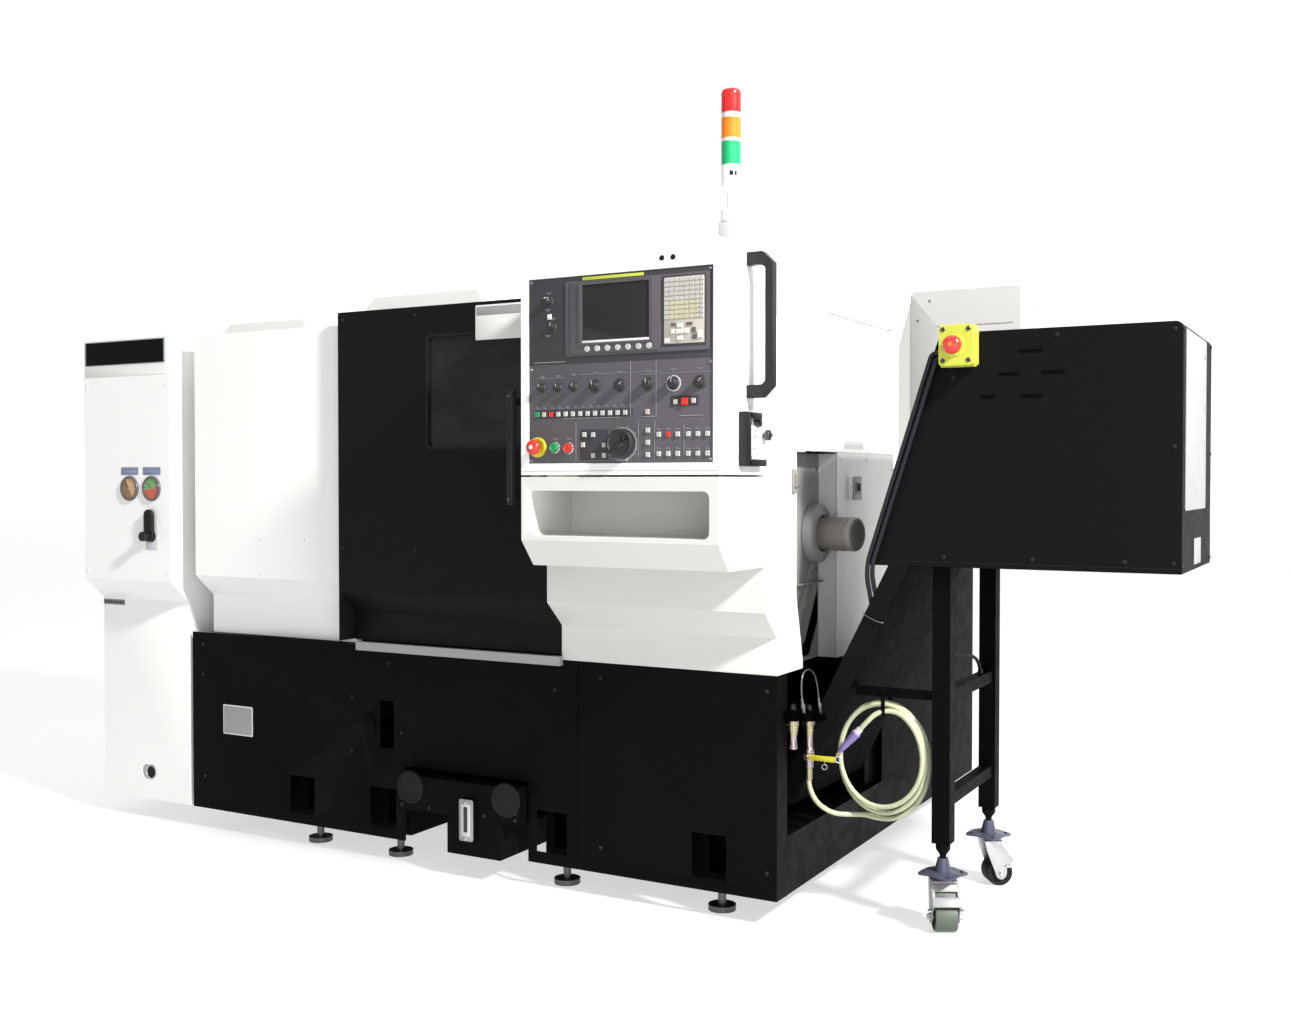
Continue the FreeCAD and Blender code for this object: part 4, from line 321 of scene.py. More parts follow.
label_white = moulded("label_white", (0.62, 0.62, 0.60), 0.4, 0.03, 0.32, 0.42)
label_orange = moulded("label_orange", (0.70, 0.16, 0.05), 0.4, 0.03, 0.32, 0.42)
lens_red = moulded("red_lens", (0.75, 0.022, 0.02), 0.5, 0.03, 0.14, 0.24, 0.2,
                   Transmission_Weight=0.15)
lens_amber = moulded("amber_lens", (0.90, 0.22, 0.015), 0.5, 0.03, 0.14, 0.24, 0.2,
                     Transmission_Weight=0.15)
lens_green = moulded("green_lens", (0.015, 0.42, 0.16), 0.5, 0.03, 0.14, 0.24, 0.2,
                     Transmission_Weight=0.15)
purple = moulded("purple_anodised", (0.2, 0.15, 0.38), 0.4, 0.05, 0.24, 0.36, 0.3, Metallic=0.2)
hose_skin = moulded("air_hose_skin", (0.4, 0.43, 0.285), 0.6, 0.03, 0.16, 0.28, 0.5,
                    Subsurface_Weight=0.15, Subsurface_Scale=0.004)
dark_screen = moulded("dark_screen", (0.014, 0.014, 0.014), 0.5, 0.01, 0.10, 0.16, 0.04)


def window_glass():
    """Smoked laminated glass with lighter cloudy patches painted into its colour: a painted
    reflection of grey cloud.
    """
    material = bpy.data.materials.new("smoked_glass")
    material.use_nodes = True
    tree = material.node_tree
    # Painted reflection: the cloudy patches lighten the glass's colour and vary its roughness.
    painted_reflection_clouds = noise(tree, object_place(tree), 7.0, 6.0, 0.62)
    amount = spread(tree, painted_reflection_clouds, 0.4, 0.75, 0.0, 0.55)
    tint = mixed(tree, amount, (0.012, 0.0125, 0.012, 1), (0.040, 0.041, 0.038, 1))
    shader = tree.nodes["Principled BSDF"].inputs
    for label, value in (("Base Color", tint),
                         ("Roughness", spread(tree, painted_reflection_clouds, 0.3, 0.7, 0.06, 0.2)),
                         ("Transmission Weight", 0.25), ("IOR", 1.5),
                         ("Specular IOR Level", 0.25)):
        feed(tree, shader[label], value)
    return material


smoked = window_glass()


# ---------------------------------------------------------------- air hose

def row(x, y, z):
    """A place from the foot that the machine is set out from, in metres."""
    return Vector((x, y, z)) * MM


def nurbs(name, places, resolution):
    """A smooth curve from the first place to the last, drawn towards those between."""
    curve = bpy.data.curves.new(name, "CURVE")
    curve.dimensions = "3D"
    curve.resolution_u = resolution
    spline = curve.splines.new("NURBS")
    spline.points.add(len(places) - 1)
    for point, place in zip(spline.points, places):
        point.co = (*place, 1)
    spline.order_u = 3
    spline.use_endpoint_u = True
    return curve


HOSE_START = row(234, 76, 383)
GUN_START = row(376, 101, 534)
GUN_WAY = Vector((-66, 0, -75)).normalized()


def coil_point(turn):
    """Where the hung hose is after some turns."""
    angle = 2 * math.pi * (turn - 100 / 360)
    wide = 133 - 5 * turn
    tall = 169 - 12 * turn
    return row(428 + wide * math.cos(angle), 158 - 15.5 * turn,
               443 + 8 * turn + tall * math.sin(angle))


def hung_hose():
    """The drop from the manifold, two and a half loose turns and the run to the gun."""
    way_in = (coil_point(0.001) - coil_point(0)).normalized()
    points = [HOSE_START, HOSE_START + row(0, 0, -19), HOSE_START + row(15, 2, -54),
              HOSE_START + row(37, 15, -80), HOSE_START + row(65, 41, -99),
              HOSE_START + row(104, 72, -102), coil_point(0) - way_in * 0.033]
    points += [coil_point(step / 16) for step in range(40)]
    points += [row(456, 118.4, 591), row(422, 107, 583), GUN_START - GUN_WAY * 0.0316, GUN_START]
    curve = nurbs("air_hose_run", points, 10)
    curve.bevel_depth = 0.007
    curve.bevel_resolution = 5
    curve.use_fill_caps = True
    curve.materials.append(hose_skin)
    return riding(placed("air_hose_run", curve), "machine",
                  ("air_hose", "air_hose_coil"))


# ---------------------------------------------------------------- makers' helpers

FRONT, BACK, RIGHT, LEFT, UP = (0, -1, 0), (0, 1, 0), (1, 0, 0), (-1, 0, 0), (0, 0, 1)
ACROSS = {FRONT: RIGHT, BACK: LEFT, RIGHT: BACK, LEFT: FRONT}


def facing(way):
    """A turn that takes Z to a direction."""
    return Vector(way).to_track_quat("Z", "Y").to_matrix().to_4x4()


class Maker:
    """Gathers the solids of one piece, in measured millimetres."""

    def __init__(self, name):
        self.name = name
        self.shape = bmesh.new()
        self.finishes = []
        self.warp = None

    def take(self, part, material, flat=False):
        """Adds a closed shell."""
        if material not in self.finishes:
            self.finishes.append(material)
        if self.warp:
            for vert in part.verts:
                vert.co = self.warp(vert.co)
        bmesh.ops.recalc_face_normals(part, faces=part.faces)
        mesh = bpy.data.meshes.new("part")
        for face in part.faces:
            face.material_index = self.finishes.index(material)
            face.smooth = not flat
        part.to_mesh(mesh)
        part.free()
        self.shape.from_mesh(mesh)
        bpy.data.meshes.remove(mesh)
        return self

    def block(self, low, high, material, edge=1.0, turn=None, about=None, segments=2):
        """A box between two corners with its edges rounded, turned about a place if wanted."""
        part = bmesh.new()
        bmesh.ops.create_cube(part, size=1)
        low, high = Vector(low), Vector(high)
        for vert in part.verts:
            vert.co = Vector((low[i] + (high[i] - low[i]) * (vert.co[i] + 0.5) for i in range(3)))
        edge = min(edge, 0.45 * min(abs(high[i] - low[i]) for i in range(3)))
        if edge > 0:
            bmesh.ops.bevel(part, geom=part.edges[:], offset=edge, segments=segments, profile=0.5,
                            affect="EDGES")
        if turn is not None:
            middle = Vector(about) if about is not None else (low + high) / 2
            bmesh.ops.rotate(part, verts=part.verts, cent=middle, matrix=turn)
        return self.take(part, material)

    def turned(self, profile, place, way, material, steps=40, hoop=False):
        """A turned solid: radius and height in pairs along the way; a hoop is hollow."""
        part = bmesh.new()
        rings = []
        for radius, height in profile:
            if radius < 1e-6:
                rings.append([part.verts.new((0, 0, height))])
                continue
            rings.append([part.verts.new((radius * math.cos(2 * math.pi * k / steps),
                                          radius * math.sin(2 * math.pi * k / steps), height))
                          for k in range(steps)])
        for lower, upper in zip(rings, rings[1:] + rings[:1] if hoop else rings[1:]):
            for k in range(steps):
                after = (k + 1) % steps
                corners = [lower[k % len(lower)], lower[after % len(lower)],
                           upper[after % len(upper)], upper[k % len(upper)]]
                kept = list(dict.fromkeys(corners))
                if len(kept) > 2:
                    part.faces.new(kept)
        for ring in (rings[0], rings[-1]):
            if len(ring) > 2 and not hoop:
                part.faces.new(ring)
        bmesh.ops.transform(part, matrix=Matrix.Translation(place) @ facing(way), verts=part.verts)
        return self.take(part, material)

    def slab(self, outline, thick, material, place, across, up, edge=0.0, segments=2):
        """An outline raised along the cross product of its two directions."""
        across, up = Vector(across).normalized(), Vector(up).normalized()
        normal = across.cross(up)
        part = bmesh.new()
        base = [part.verts.new(Vector(place) + across * u + up * v) for u, v in outline]
        face = part.faces.new(base)
        raised = bmesh.ops.extrude_face_region(part, geom=[face])
        moved = [item for item in raised["geom"] if isinstance(item, bmesh.types.BMVert)]
        bmesh.ops.translate(part, vec=normal * thick, verts=moved)
        if edge > 0:
            bmesh.ops.bevel(part, geom=part.edges[:], offset=edge, segments=segments, profile=0.5,
                            affect="EDGES")
        return self.take(part, material)

    def plate(self, field, thick, material, place, way, edge=0.0):
        """A field with rounded corners, raised from an upright face that looks this way."""
        return self.slab(round_rectangle(*field), thick, material, place, ACROSS[way], UP, edge)

    def swept(self, path, radius, material, steps=20):
        """A round bar that follows a path of places."""
        part = bmesh.new()
        places = [Vector(place) for place in path]
        rings = []
        side = None
        for index, place in enumerate(places):
            before = places[max(index - 1, 0)]
            after = places[min(index + 1, len(places) - 1)]
            way = (after - before).normalized()
            if side is None:
                side = way.orthogonal().normalized()
            side = (side - way * side.dot(way)).normalized()
            other = way.cross(side)
            ring = []
            for k in range(steps):
                angle = 2 * math.pi * k / steps
                aside = (side * math.cos(angle) + other * math.sin(angle)) * radius
                ring.append(part.verts.new(place + aside))
            rings.append(ring)
        for lower, upper in zip(rings, rings[1:]):
            for k in range(steps):
                part.faces.new([lower[k], lower[(k + 1) % steps], upper[(k + 1) % steps], upper[k]])
        part.faces.new(rings[0])
        part.faces.new(rings[-1])
        return self.take(part, material)

    def settle(self, body, slot=None, stands_for=()):
        """Makes the piece an object, in metres from the frame's origin, that rides on its body."""
        mesh = bpy.data.meshes.new(self.name)
        self.shape.to_mesh(mesh)
        self.shape.free()
        mesh.transform(TO_ROW)
        for material in self.finishes:
            mesh.materials.append(material)
        mesh.set_sharp_from_angle(angle=math.radians(38))
        return riding(placed(self.name, mesh), body, stands_for)


def smooth_path(corners, rounding, steps=6):
    """A line of places with its corners rounded off, for bent bar and pipe."""
    corners = [Vector(corner) for corner in corners]
    path = [corners[0]]
    for before, corner, after in zip(corners, corners[1:], corners[2:]):
        cut = min(rounding, (corner - before).length * 0.45, (after - corner).length * 0.45)
        start = corner + (before - corner).normalized() * cut
        end = corner + (after - corner).normalized() * cut
        for step in range(steps + 1):
            t = step / steps
            path.append(start * (1 - t) ** 2 + corner * 2 * t * (1 - t) + end * t * t)
    path.append(corners[-1])
    return path


def round_rectangle(left, low, right, high, radius, steps=5):
    """The corners of an upright rectangle with rounded corners, anticlockwise."""
    points = []
    for middle_u, middle_v, start in ((right - radius, high - radius, 0),
                                      (left + radius, high - radius, 90),
                                      (left + radius, low + radius, 180),
                                      (right - radius, low + radius, 270)):
        for step in range(steps + 1):
            angle = math.radians(start + 90 * step / steps)
            points.append((middle_u + radius * math.cos(angle), middle_v + radius
                           * math.sin(angle)))
    return points


# Painted shade: each part here gets a darker paint on the faces that look the given way, for the
# shade that falls on them.
SHADED_SIDES = {"conveyor_casing": (shade_black, (0, 0, -1), 0.2),
                "side_recess_panel": (bay_painted_shade, RIGHT, 0.5)}


def dressed(node, body, material, edge, angle=35.0):
    """A finished copy of a CAD part: its edges eased as folded and ground metal is.

    A part with a shaded side gets a second, darker paint on the faces that look that way: painted
    shade.
    """
    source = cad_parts[node]
    mesh = source.data.copy()
    shape = bmesh.new()
    shape.from_mesh(mesh)
    bmesh.ops.remove_doubles(shape, verts=shape.verts, dist=2e-6)
    if node != "base_skirts":
        bmesh.ops.dissolve_limit(shape, angle_limit=math.radians(0.4), verts=shape.verts,
                                 edges=shape.edges, delimit={"NORMAL"})
    for face in shape.faces:
        face.smooth = True
    shape.to_mesh(mesh)
    shape.free()
    mesh.materials.clear()
    mesh.materials.append(material)
    second, way, least = SHADED_SIDES.get(node, (None, UP, 2))
    if second:
        mesh.materials.append(second)
    for face in mesh.polygons:
        face.material_index = 1 if face.normal.dot(Vector(way)) > least else 0
    mesh.set_sharp_from_angle(angle=math.radians(angle))
    piece = placed(node + "_finished", mesh)
    eased = piece.modifiers.new("eased", "BEVEL")
    eased.width = edge * MM
    eased.segments = 2
    eased.limit_method = "ANGLE"
    eased.angle_limit = math.radians(angle)
    eased.use_clamp_overlap = True
    eased.harden_normals = True
    eased.miter_outer = "MITER_ARC"
    return riding(piece, body, (node,))


def painted(node, material):
    """A CAD part that keeps its own mesh and gets its finish."""
    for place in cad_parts[node].material_slots:
        place.material = material


# ---------------------------------------------------------------- parts that keep the CAD shape

hose = hung_hose()

# Partly painted shade: the base frame and the bed casting take the near-black frame paint, which
# also stands for the shade seen through the skirt's foot pockets and side opening.
for node, material in (
        ("leveling_feet", dark_steel), ("base_frame", frame_black), ("bed_casting", frame_black),
        ("headstock", cast_grey), ("guide_rails", ground), ("spindle", ground),
        ("chuck_body", ground), ("chuck_jaw_1", dark_steel), ("chuck_jaw_2", dark_steel),
        ("chuck_jaw_3", dark_steel), ("ball_screw", ground), ("carriage", cast_grey),
        ("cross_slide", ground), ("turret_disc", zinc), ("tailstock", cast_grey),
        ("tailstock_quill", ground), ("work_area_lining", sheet_metal),
        ("conveyor_gearmotor", cast_grey),
        ("door_window", smoked)):
    painted(node, material)

for node, body, material, edge, slot in (
        ("left_end_cover", "machine", white, 2.5, "white_paint"),
        ("left_cover", "machine", white, 2.5, "white_paint"),
        ("right_cover", "machine", cover_cream, 2.5, "white_paint"),
        ("tail_hood", "machine", white, 2.5, "white_paint"),
        ("roof_panel", "machine", roof_white, 2.0, "white_paint"),
        ("roof_boxes", "machine", roof_white, 2.5, "white_paint"),
        # The side bay's grey is painted shade on white paint.
        ("side_recess_panel", "machine", bay_grey_painted_shade, 1.5, "grey_paint"),
        ("rear_cover", "machine", white, 2.0, "white_paint"),
        ("rear_cabinet", "machine", cabinet_cream, 3.0, "white_paint"),
        ("door_sill", "machine", sill_steel, 1.0, "sheet_steel"),
        ("panel_shelf", "machine", cover_cream, 2.5, "white_paint"),
        ("base_skirts", "machine", skirt_black, 2.0, "black_paint"),
        ("coolant_tank", "tank", skirt_black, 2.0, "black_paint"),
        ("door_panel", "door", door_black, 2.5, "black_paint"),
        ("door_handle", "door", black_plastic, 3.0, "black_plastic"),
        ("panel_housing", "control_panel", white, 3.0, "white_paint"),
        ("panel_grab_handle", "control_panel", black_plastic, 2.0, "black_plastic"),
        ("conveyor_casing", "machine", black, 2.0, "black_paint"),
        ("conveyor_frame", "machine", frame_black, 1.5, "black_paint"),
        ("conveyor_estop_box", "machine", box_yellow, 4.0, "yellow_paint")):
    dressed(node, body, material, edge)


# ---------------------------------------------------------------- repeated small parts

def tree_of(name, output, **inputs):
    """A Geometry Nodes tree with its inputs: a number is a default, a word the kind of socket."""
    tree = bpy.data.node_groups.new(name, "GeometryNodeTree")
    for label, value in inputs.items():
        kind = value if isinstance(value, str) else "Float"
        socket = tree.interface.new_socket(name=label.replace("_", " "), in_out="INPUT",
                                           socket_type="NodeSocket" + kind)
        if kind == "Float":
            socket.default_value = value
    tree.interface.new_socket(name=output, in_out="OUTPUT", socket_type="NodeSocketGeometry")
    return tree, add(tree, "NodeGroupInput").outputs


def coloured(tree, shape, material):
    return add(tree, "GeometryNodeSetMaterial", Geometry=shape,
               Material=material).outputs["Geometry"]


def noted(tree, label):
    """What each place says under a label."""
    return add(tree, "GeometryNodeInputNamedAttribute", {"data_type": "FLOAT_VECTOR"},
               Name=label).outputs["Attribute"]


def on_places(tree, output, places, shape, **ways):
    """Ends a tree: the shape on every place, turned or sized, as real geometry."""
    spread_out = add(tree, "GeometryNodeInstanceOnPoints", Points=places, Instance=shape, **ways)
    real = add(tree, "GeometryNodeRealizeInstances", Geometry=spread_out.outputs["Instances"])
    add(tree, "NodeGroupOutput", **{output: real.outputs["Geometry"]})
    return tree


def fastener_tree():
    """A low domed head with a hexagon socket on every place, turned to face as the place says."""
    tree, inside = tree_of("socket_screws", "Screws", Places="Geometry", Head_Radius=0.006,
                           Head_Height=0.003, Head_Finish="Material", Socket_Finish="Material")
    join = add(tree, "GeometryNodeJoinGeometry")
    for top, low, high, sides, material in (
            (0.93, 1.0, 0.55, 20, "Head Finish"), (0.62, 0.93, 1.0, 20, "Head Finish"),
            (0.42, 0.42, 1.06, 6, "Socket Finish")):
        cone = add(tree, "GeometryNodeMeshCone", Vertices=sides,
                   Radius_Top=sums(tree, "MULTIPLY", inside["Head Radius"], top),
                   Radius_Bottom=sums(tree, "MULTIPLY", inside["Head Radius"], low),
                   Depth=sums(tree, "MULTIPLY", inside["Head Height"], high))
        tree.links.new(coloured(tree, cone.outputs["Mesh"], inside[material]),
                       join.inputs["Geometry"])
    turn = add(tree, "FunctionNodeAlignRotationToVector", {"axis": "Z"},
               Vector=noted(tree, "facing"))
    return on_places(tree, "Screws", inside["Places"], join.outputs["Geometry"],
                     Rotation=turn.outputs["Rotation"])


def key_tree():
    """Square key caps with sloping sides, as wide, deep and high as each place says."""
    tree, inside = tree_of("key_caps", "Keys", Places="Geometry", Slope=0.86, Cap_Finish="Material")
    cap = add(tree, "GeometryNodeMeshCone", Vertices=4, Radius_Bottom=math.sqrt(0.5), Depth=1,
              Radius_Top=sums(tree, "MULTIPLY", inside["Slope"], math.sqrt(0.5)))
    square = add(tree, "GeometryNodeTransform", Rotation=(0, 0, math.pi / 4),
                 Geometry=cap.outputs["Mesh"])
    shape = coloured(tree, square.outputs["Geometry"], inside["Cap Finish"])
    return on_places(tree, "Keys", inside["Places"], shape, Rotation=(math.pi / 2, 0, 0),
                     Scale=noted(tree, "size"))


def slat_tree():
    """Short upright or level bars: the slots of louvres and vents, and printed lines."""
    tree, inside = tree_of("slot_bars", "Bars", Places="Geometry", Bar_Finish="Material")
    bar = add(tree, "GeometryNodeMeshCube").outputs["Mesh"]
    return on_places(tree, "Bars", inside["Places"], coloured(tree, bar, inside["Bar Finish"]),
                     Scale=noted(tree, "size"))


SCREWS = fastener_tree()
KEYS = key_tree()
BARS = slat_tree()


def grown(data, tree, values):
    """The mesh that a tree makes of some places or of a curve."""
    maker = placed("grown_from", data)
    modifier = maker.modifiers.new("grown", "NODES")
    modifier.node_group = tree
    for item in tree.interface.items_tree:
        if item.in_out == "INPUT" and item.name in values:
            modifier[item.identifier] = values[item.name]
    ready = maker.evaluated_get(bpy.context.evaluated_depsgraph_get())
    result = bpy.data.meshes.new_from_object(ready)
    bpy.data.objects.remove(maker)
    return result


def repeated(name, tree, places, body, values, sharp=True):
    """One piece from a tree; places are pairs of a measured place and its facing or size."""
    label = "facing" if tree is SCREWS else "size"
    mesh = bpy.data.meshes.new(name + "_places")
    mesh.from_pydata([at(*place) for place, _ in places], [], [])
    layer = mesh.attributes.new(label, "FLOAT_VECTOR", "POINT")
    for item, (_, extra) in zip(layer.data, places):
        item.vector = extra
    result = grown(mesh, tree, values)
    bpy.data.meshes.remove(mesh)
    if label in result.attributes:
        result.attributes.remove(result.attributes[label])
    if not sharp:
        for face in result.polygons:
            face.use_smooth = True
        result.set_sharp_from_angle(angle=math.radians(35))
    return riding(placed(name, result), body)


def screws(name, places, body, radius=6.0, height=3.0, head=zinc):
    return repeated(name, SCREWS, places, body,
                    {"Head Radius": radius * MM, "Head Height": height * MM, "Head Finish": head,
                     "Socket Finish": rubber}, sharp=False)


def bars(name, places, body, material):
    """Bars given by their middle and size in millimetres."""
    sized = [(place, Vector(size) * MM) for place, size in places]
    return repeated(name, BARS, sized, body, {"Bar Finish": material})


# ---------------------------------------------------------------- front of the base

COVER_FACE = -80
SWITCH_CENTRE = (-2348, 1030)


def skirt_details():
    screws("skirt_screws", [((x, 0, z), FRONT) for x, z in (
        (-2187, 546), (-2180, 188), (-719, 602), (-1507, 519), (-1508, 342), (-2187, 650),
        (-1352, 640), (-560, 650), (-30, 650), (-30, 150), (-560, 150), (-1300, 420))],
        "machine", 6, 3, black_plastic)
    blank = Maker("skirt_blank_plate")
    blank.plate((0, 0, 139, 102, 4), 1.2, label_white, (-2090, 0, 346), FRONT, 0.3)
    blank.plate((0, 0, 131, 94, 3), 0.5, silver_paint, (-2086, -1.0, 350), FRONT, 0.15)
    blank.settle("machine", "white_paint")
    Maker("skirt_round_cap").turned(
        [(32, 0), (32, 2.5), (30.5, 3.6), (26, 4.2), (25, 3.6), (0, 3.2)], (-1444, 0, 432), FRONT,
        black_plastic, 48).settle("machine", "black_plastic")


def tank_details():
    level = Maker("tank_level_gauge")
    level.plate((-26, 2, 26, 130, 7), 3, silver_paint, (-1008, -52, 121), FRONT, 1.0)
    level.plate((-17, 16, 17, 116, 4), 1.4, print_white, (-1008, -55, 121), FRONT, 0.5)
    level.plate((-7, 30, 7, 108, 3), 1.6, dark_screen, (-1008, -56.0, 121), FRONT, 0.5)
    for z in (132, 242):
        level.turned([(6, 0), (6, 2.2), (4.5, 3.4), (0, 3.6)], (-1008, -55, z), FRONT, zinc, 24)
    level.settle("tank", "zinc_steel")
    grips = Maker("tank_hand_recesses")
    for x in (-1234, -870):
        rim = [(52, 0), (52, 2.2), (50, 3.2), (45, 3.2), (44, 1.6), (42, 1.2), (0, 1.0)]
        grips.turned(rim, (x, -40, 262), FRONT, rubber, 48)
    screws("tank_screws", [((x, -40, z), FRONT) for x in (-1268, -836) for z in (204, 226)]
           + [((x, -40, 205), FRONT) for x in (-1160, -950)], "tank", 6, 3, black_plastic)
    return grips


def front_covers():
    screws("left_cover_screws", [((x, -50, z), FRONT) for x, z in (
        (-1858, 1029), (-1661, 1030), (-1859, 912))], "machine", 5, 2, white)
    blank = Maker("door_blank_plate")
    blank.plate((0, 0, 205, 104, 4), 0.9, label_white, (-948, COVER_FACE, 1645), FRONT, 0.25)
    blank.plate((0, 0, 197, 26, 2), 0.5, silver_paint, (-944, COVER_FACE - 0.8, 1718), FRONT, 0.12)
    blank.settle("door", "white_paint")
    window = Maker("door_window_seal")
    outer = round_rectangle(-1137, 1320, -749, 1672, 20)
    inner = round_rectangle(-1128, 1329, -758, 1663, 14)
    ring(window, outer, inner, COVER_FACE + 6.5, COVER_FACE - 0.6, rubber)
    window.settle("door", "black_plastic")


def ring(maker, outer, inner, y_back, y_front, material):
    """An upright frame between two outlines with as many corners, given as x and z."""
    part = bmesh.new()
    around_section = ((outer, y_back), (outer, y_front), (inner, y_front), (inner, y_back))
    loops = [[part.verts.new((x, y, z)) for x, z in outline] for outline, y in around_section]
    count = len(outer)
    for first, second in zip(loops, loops[1:] + loops[:1]):
        for k in range(count):
            part.faces.new([first[k], first[(k + 1) % count], second[(k + 1) % count], second[k]])
    maker.take(part, material)


def end_cover_details():
    band = Maker("end_cover_name_band")
    band.plate((0, 0, 411, 86, 3), 1.4, dial_case, (-2689, COVER_FACE, 1636), FRONT, 0.4)
    band.plate((0, 0, 399, 80, 2), 0.8, black, (-2683, COVER_FACE - 1.2, 1639), FRONT, 0.2)
    band.plate((0, 0, 411, 36, 3), 1.2, label_white, (-2689, COVER_FACE, 1596), FRONT, 0.3)
    band.settle("machine", "black_paint")
    hole = Maker("end_cover_lifting_hole")
    hole.turned([(27, 0), (27, 1.4), (25, 2.4), (22.5, 2.2), (21.5, 0.8), (0, 0.6)],
                (-2453, 0, 173), FRONT, zinc, 40)
    hole.turned([(21, 0), (21, 1.1), (0, 1.1)], (-2453, 0, 173), FRONT, rubber, 40)
    hole.settle("machine", "zinc_steel")
    vent = Maker("end_cover_vent_strip")
    vent.block((-2698, -1.6, 770), (-2586, 0.8, 790), recess_grey, 0.6)
    # Painted shade: the dark rubber blocks stand for the shade in the vent's slots.
    for step in range(13):
        x = -2692 + 8.2 * step
        vent.block((x, -2.2, 774), (x + 4.6, 0, 786), rubber, 0.3)
    vent.settle("machine", "grey_paint")



def pressure_gauge(name, x, sectors, stands_for=()):
    """A gauge with a pressed rim, a coloured dial with marks, a hand and a hub."""
    high = 1197
    gauge = Maker(name)
    gauge.turned([(44, 0), (44, 5), (42.5, 7.6), (39, 8.6), (37.2, 8.2), (36.6, 5.2), (0, 5.0)],
                 (x, COVER_FACE, high), FRONT, gauge_rim, 64)
    for start, end, material in sectors:
        points = [(0, 0)]
        steps = int((end - start) / 10)
        for step in range(steps + 1):
            angle = math.radians(start + (end - start) * step / steps)
            points.append((35.5 * math.cos(angle), 35.5 * math.sin(angle)))
        gauge.slab(points, 0.5, material, (x, COVER_FACE - 5, high), RIGHT, UP)
    for mark in range(11):
        angle = math.radians(225 - 27 * mark)
        low, high_end = (27, 33.5) if mark % 2 else (25, 33.5)
        middle = (Vector((x, COVER_FACE - 5.7, high))
                  + Vector((math.cos(angle), 0, math.sin(angle))) * (low + high_end) / 2)
        half = Vector(((high_end - low) / 2, 0.2, 0.6))
        gauge.block(middle - half, middle + half, rubber, 0, Matrix.Rotation(-angle, 3, "Y"),
                    middle)
    gauge.block((x - 8, COVER_FACE - 6.6, high - 0.8), (x + 26, COVER_FACE - 6, high + 0.8), rubber,
                0.2, Matrix.Rotation(math.radians(-128), 3, "Y"), (x, COVER_FACE - 6, high))
    gauge.turned([(4, 0), (4, 1.6), (2.6, 2.2), (0, 2.2)], (x, COVER_FACE - 5.2, high), FRONT, zinc,
                 24)
    gauge.settle("machine", "warm_grey", stands_for)


def gauges_and_switch():
    left_x, right_x = -2459, -2347
    pressure_gauge("left_pressure_gauge", left_x, [(-60, 120, dial_amber), (120, 300, dial_brown)],
                   ("pressure_gauges",))
    pressure_gauge("right_pressure_gauge", right_x, [(10, 190, dial_green), (190, 370, dial_red)])
    strips = Maker("gauge_blank_strips")
    for x in (left_x, right_x):
        strips.plate((-44, 0, 44, 27, 3), 1.2, strip_blue, (x, COVER_FACE, 1245), FRONT, 0.3)
        strips.plate((-34, 0, 34, 3, 1), 0.5, recess_grey, (x, COVER_FACE - 1, 1255), FRONT, 0.1)
    strips.settle("machine", "warm_grey")
    x, z = SWITCH_CENTRE
    base = Maker("main_switch_plate")
    base.plate((-30, 0, 30, 96, 8), 2.0, print_white, (x, COVER_FACE, z - 48), FRONT, 0.8)
    base.turned([(21, 0), (21, 2.5), (19, 4), (0, 4.2)], (x, COVER_FACE - 2, z), FRONT,
                black_plastic, 40)
    base.settle("machine", "black_plastic")
    grip = Maker("main_switch_grip")
    grip.plate((-22, -20, 22, 94, 20), 13, black_plastic, (x - 1, COVER_FACE - 6.6, z), FRONT, 3.5)
    grip.plate((-9, 8, 9, 84, 8), 4, rubber, (x - 1, COVER_FACE - 18.6, z), FRONT, 1.6)
    grip.turned([(15, 0), (15, 14), (17, 17), (17, 26), (14, 29), (0, 29.6)],
                (x - 1, COVER_FACE - 18, z), FRONT, black_plastic, 40)
    grip.settle("main_switch", "red_plastic", ("main_switch_handle",))


skirt_details()
tank_details().settle("tank", "black_plastic")
front_covers()
end_cover_details()
gauges_and_switch()


# ---------------------------------------------------------------- operator panel

PANEL_FACE = -358
PANEL_LEFT, PANEL_LOW = -567, 1271
STOP_BUTTON, START_BUTTON, HOLD_BUTTON, HAND_DIAL = (28, 43), (83, 42), (126, 40), (289, 49)
ROTARY_HEIGHT = 200
ROTARIES = (43, 93, 141, 207, 283, 365, 438, 513)


def on_panel(across, up, high=0):
    """A place on the operator panel, from its lower left corner."""
    return (PANEL_LEFT + across, PANEL_FACE - high, PANEL_LOW + up)


def panel_slab(maker, low, high, thick, material, base=0.0, round_by=3, edge=0.5):
    """A raised or printed field of the panel between two corners."""
    maker.plate((0, 0, high[0] - low[0], high[1] - low[1], round_by), thick, material,
                on_panel(low[0], low[1], base), FRONT, edge)


def switch_knob(maker, across, up, radius, high, point, face=grip_plastic):
    """A rotary switch: skirt, fluted grip and a white line."""
    place = on_panel(across, up)
    maker.turned([(radius * 1.12, 0), (radius * 1.12, 1.6), (radius * 1.0, 3.0),
                  (radius * 0.82, 4.5), (radius * 0.76, high - 2), (radius * 0.68, high),
                  (0, high)], place, FRONT, face, 36)
    turn = Matrix.Rotation(math.radians(point), 3, "Y")
    x, y, z = place
    maker.block((x - radius * 0.2, y - high - 0.5, z - radius * 0.8),
                (x + radius * 0.2, y - high * 0.35, z + radius * 1.05), face, 1.0, turn, place)
    maker.block((x - 0.8, y - high - 0.9, z + radius * 0.2),
                (x + 0.8, y - high - 0.3, z + radius * 0.98), print_white, 0.2, turn, place)


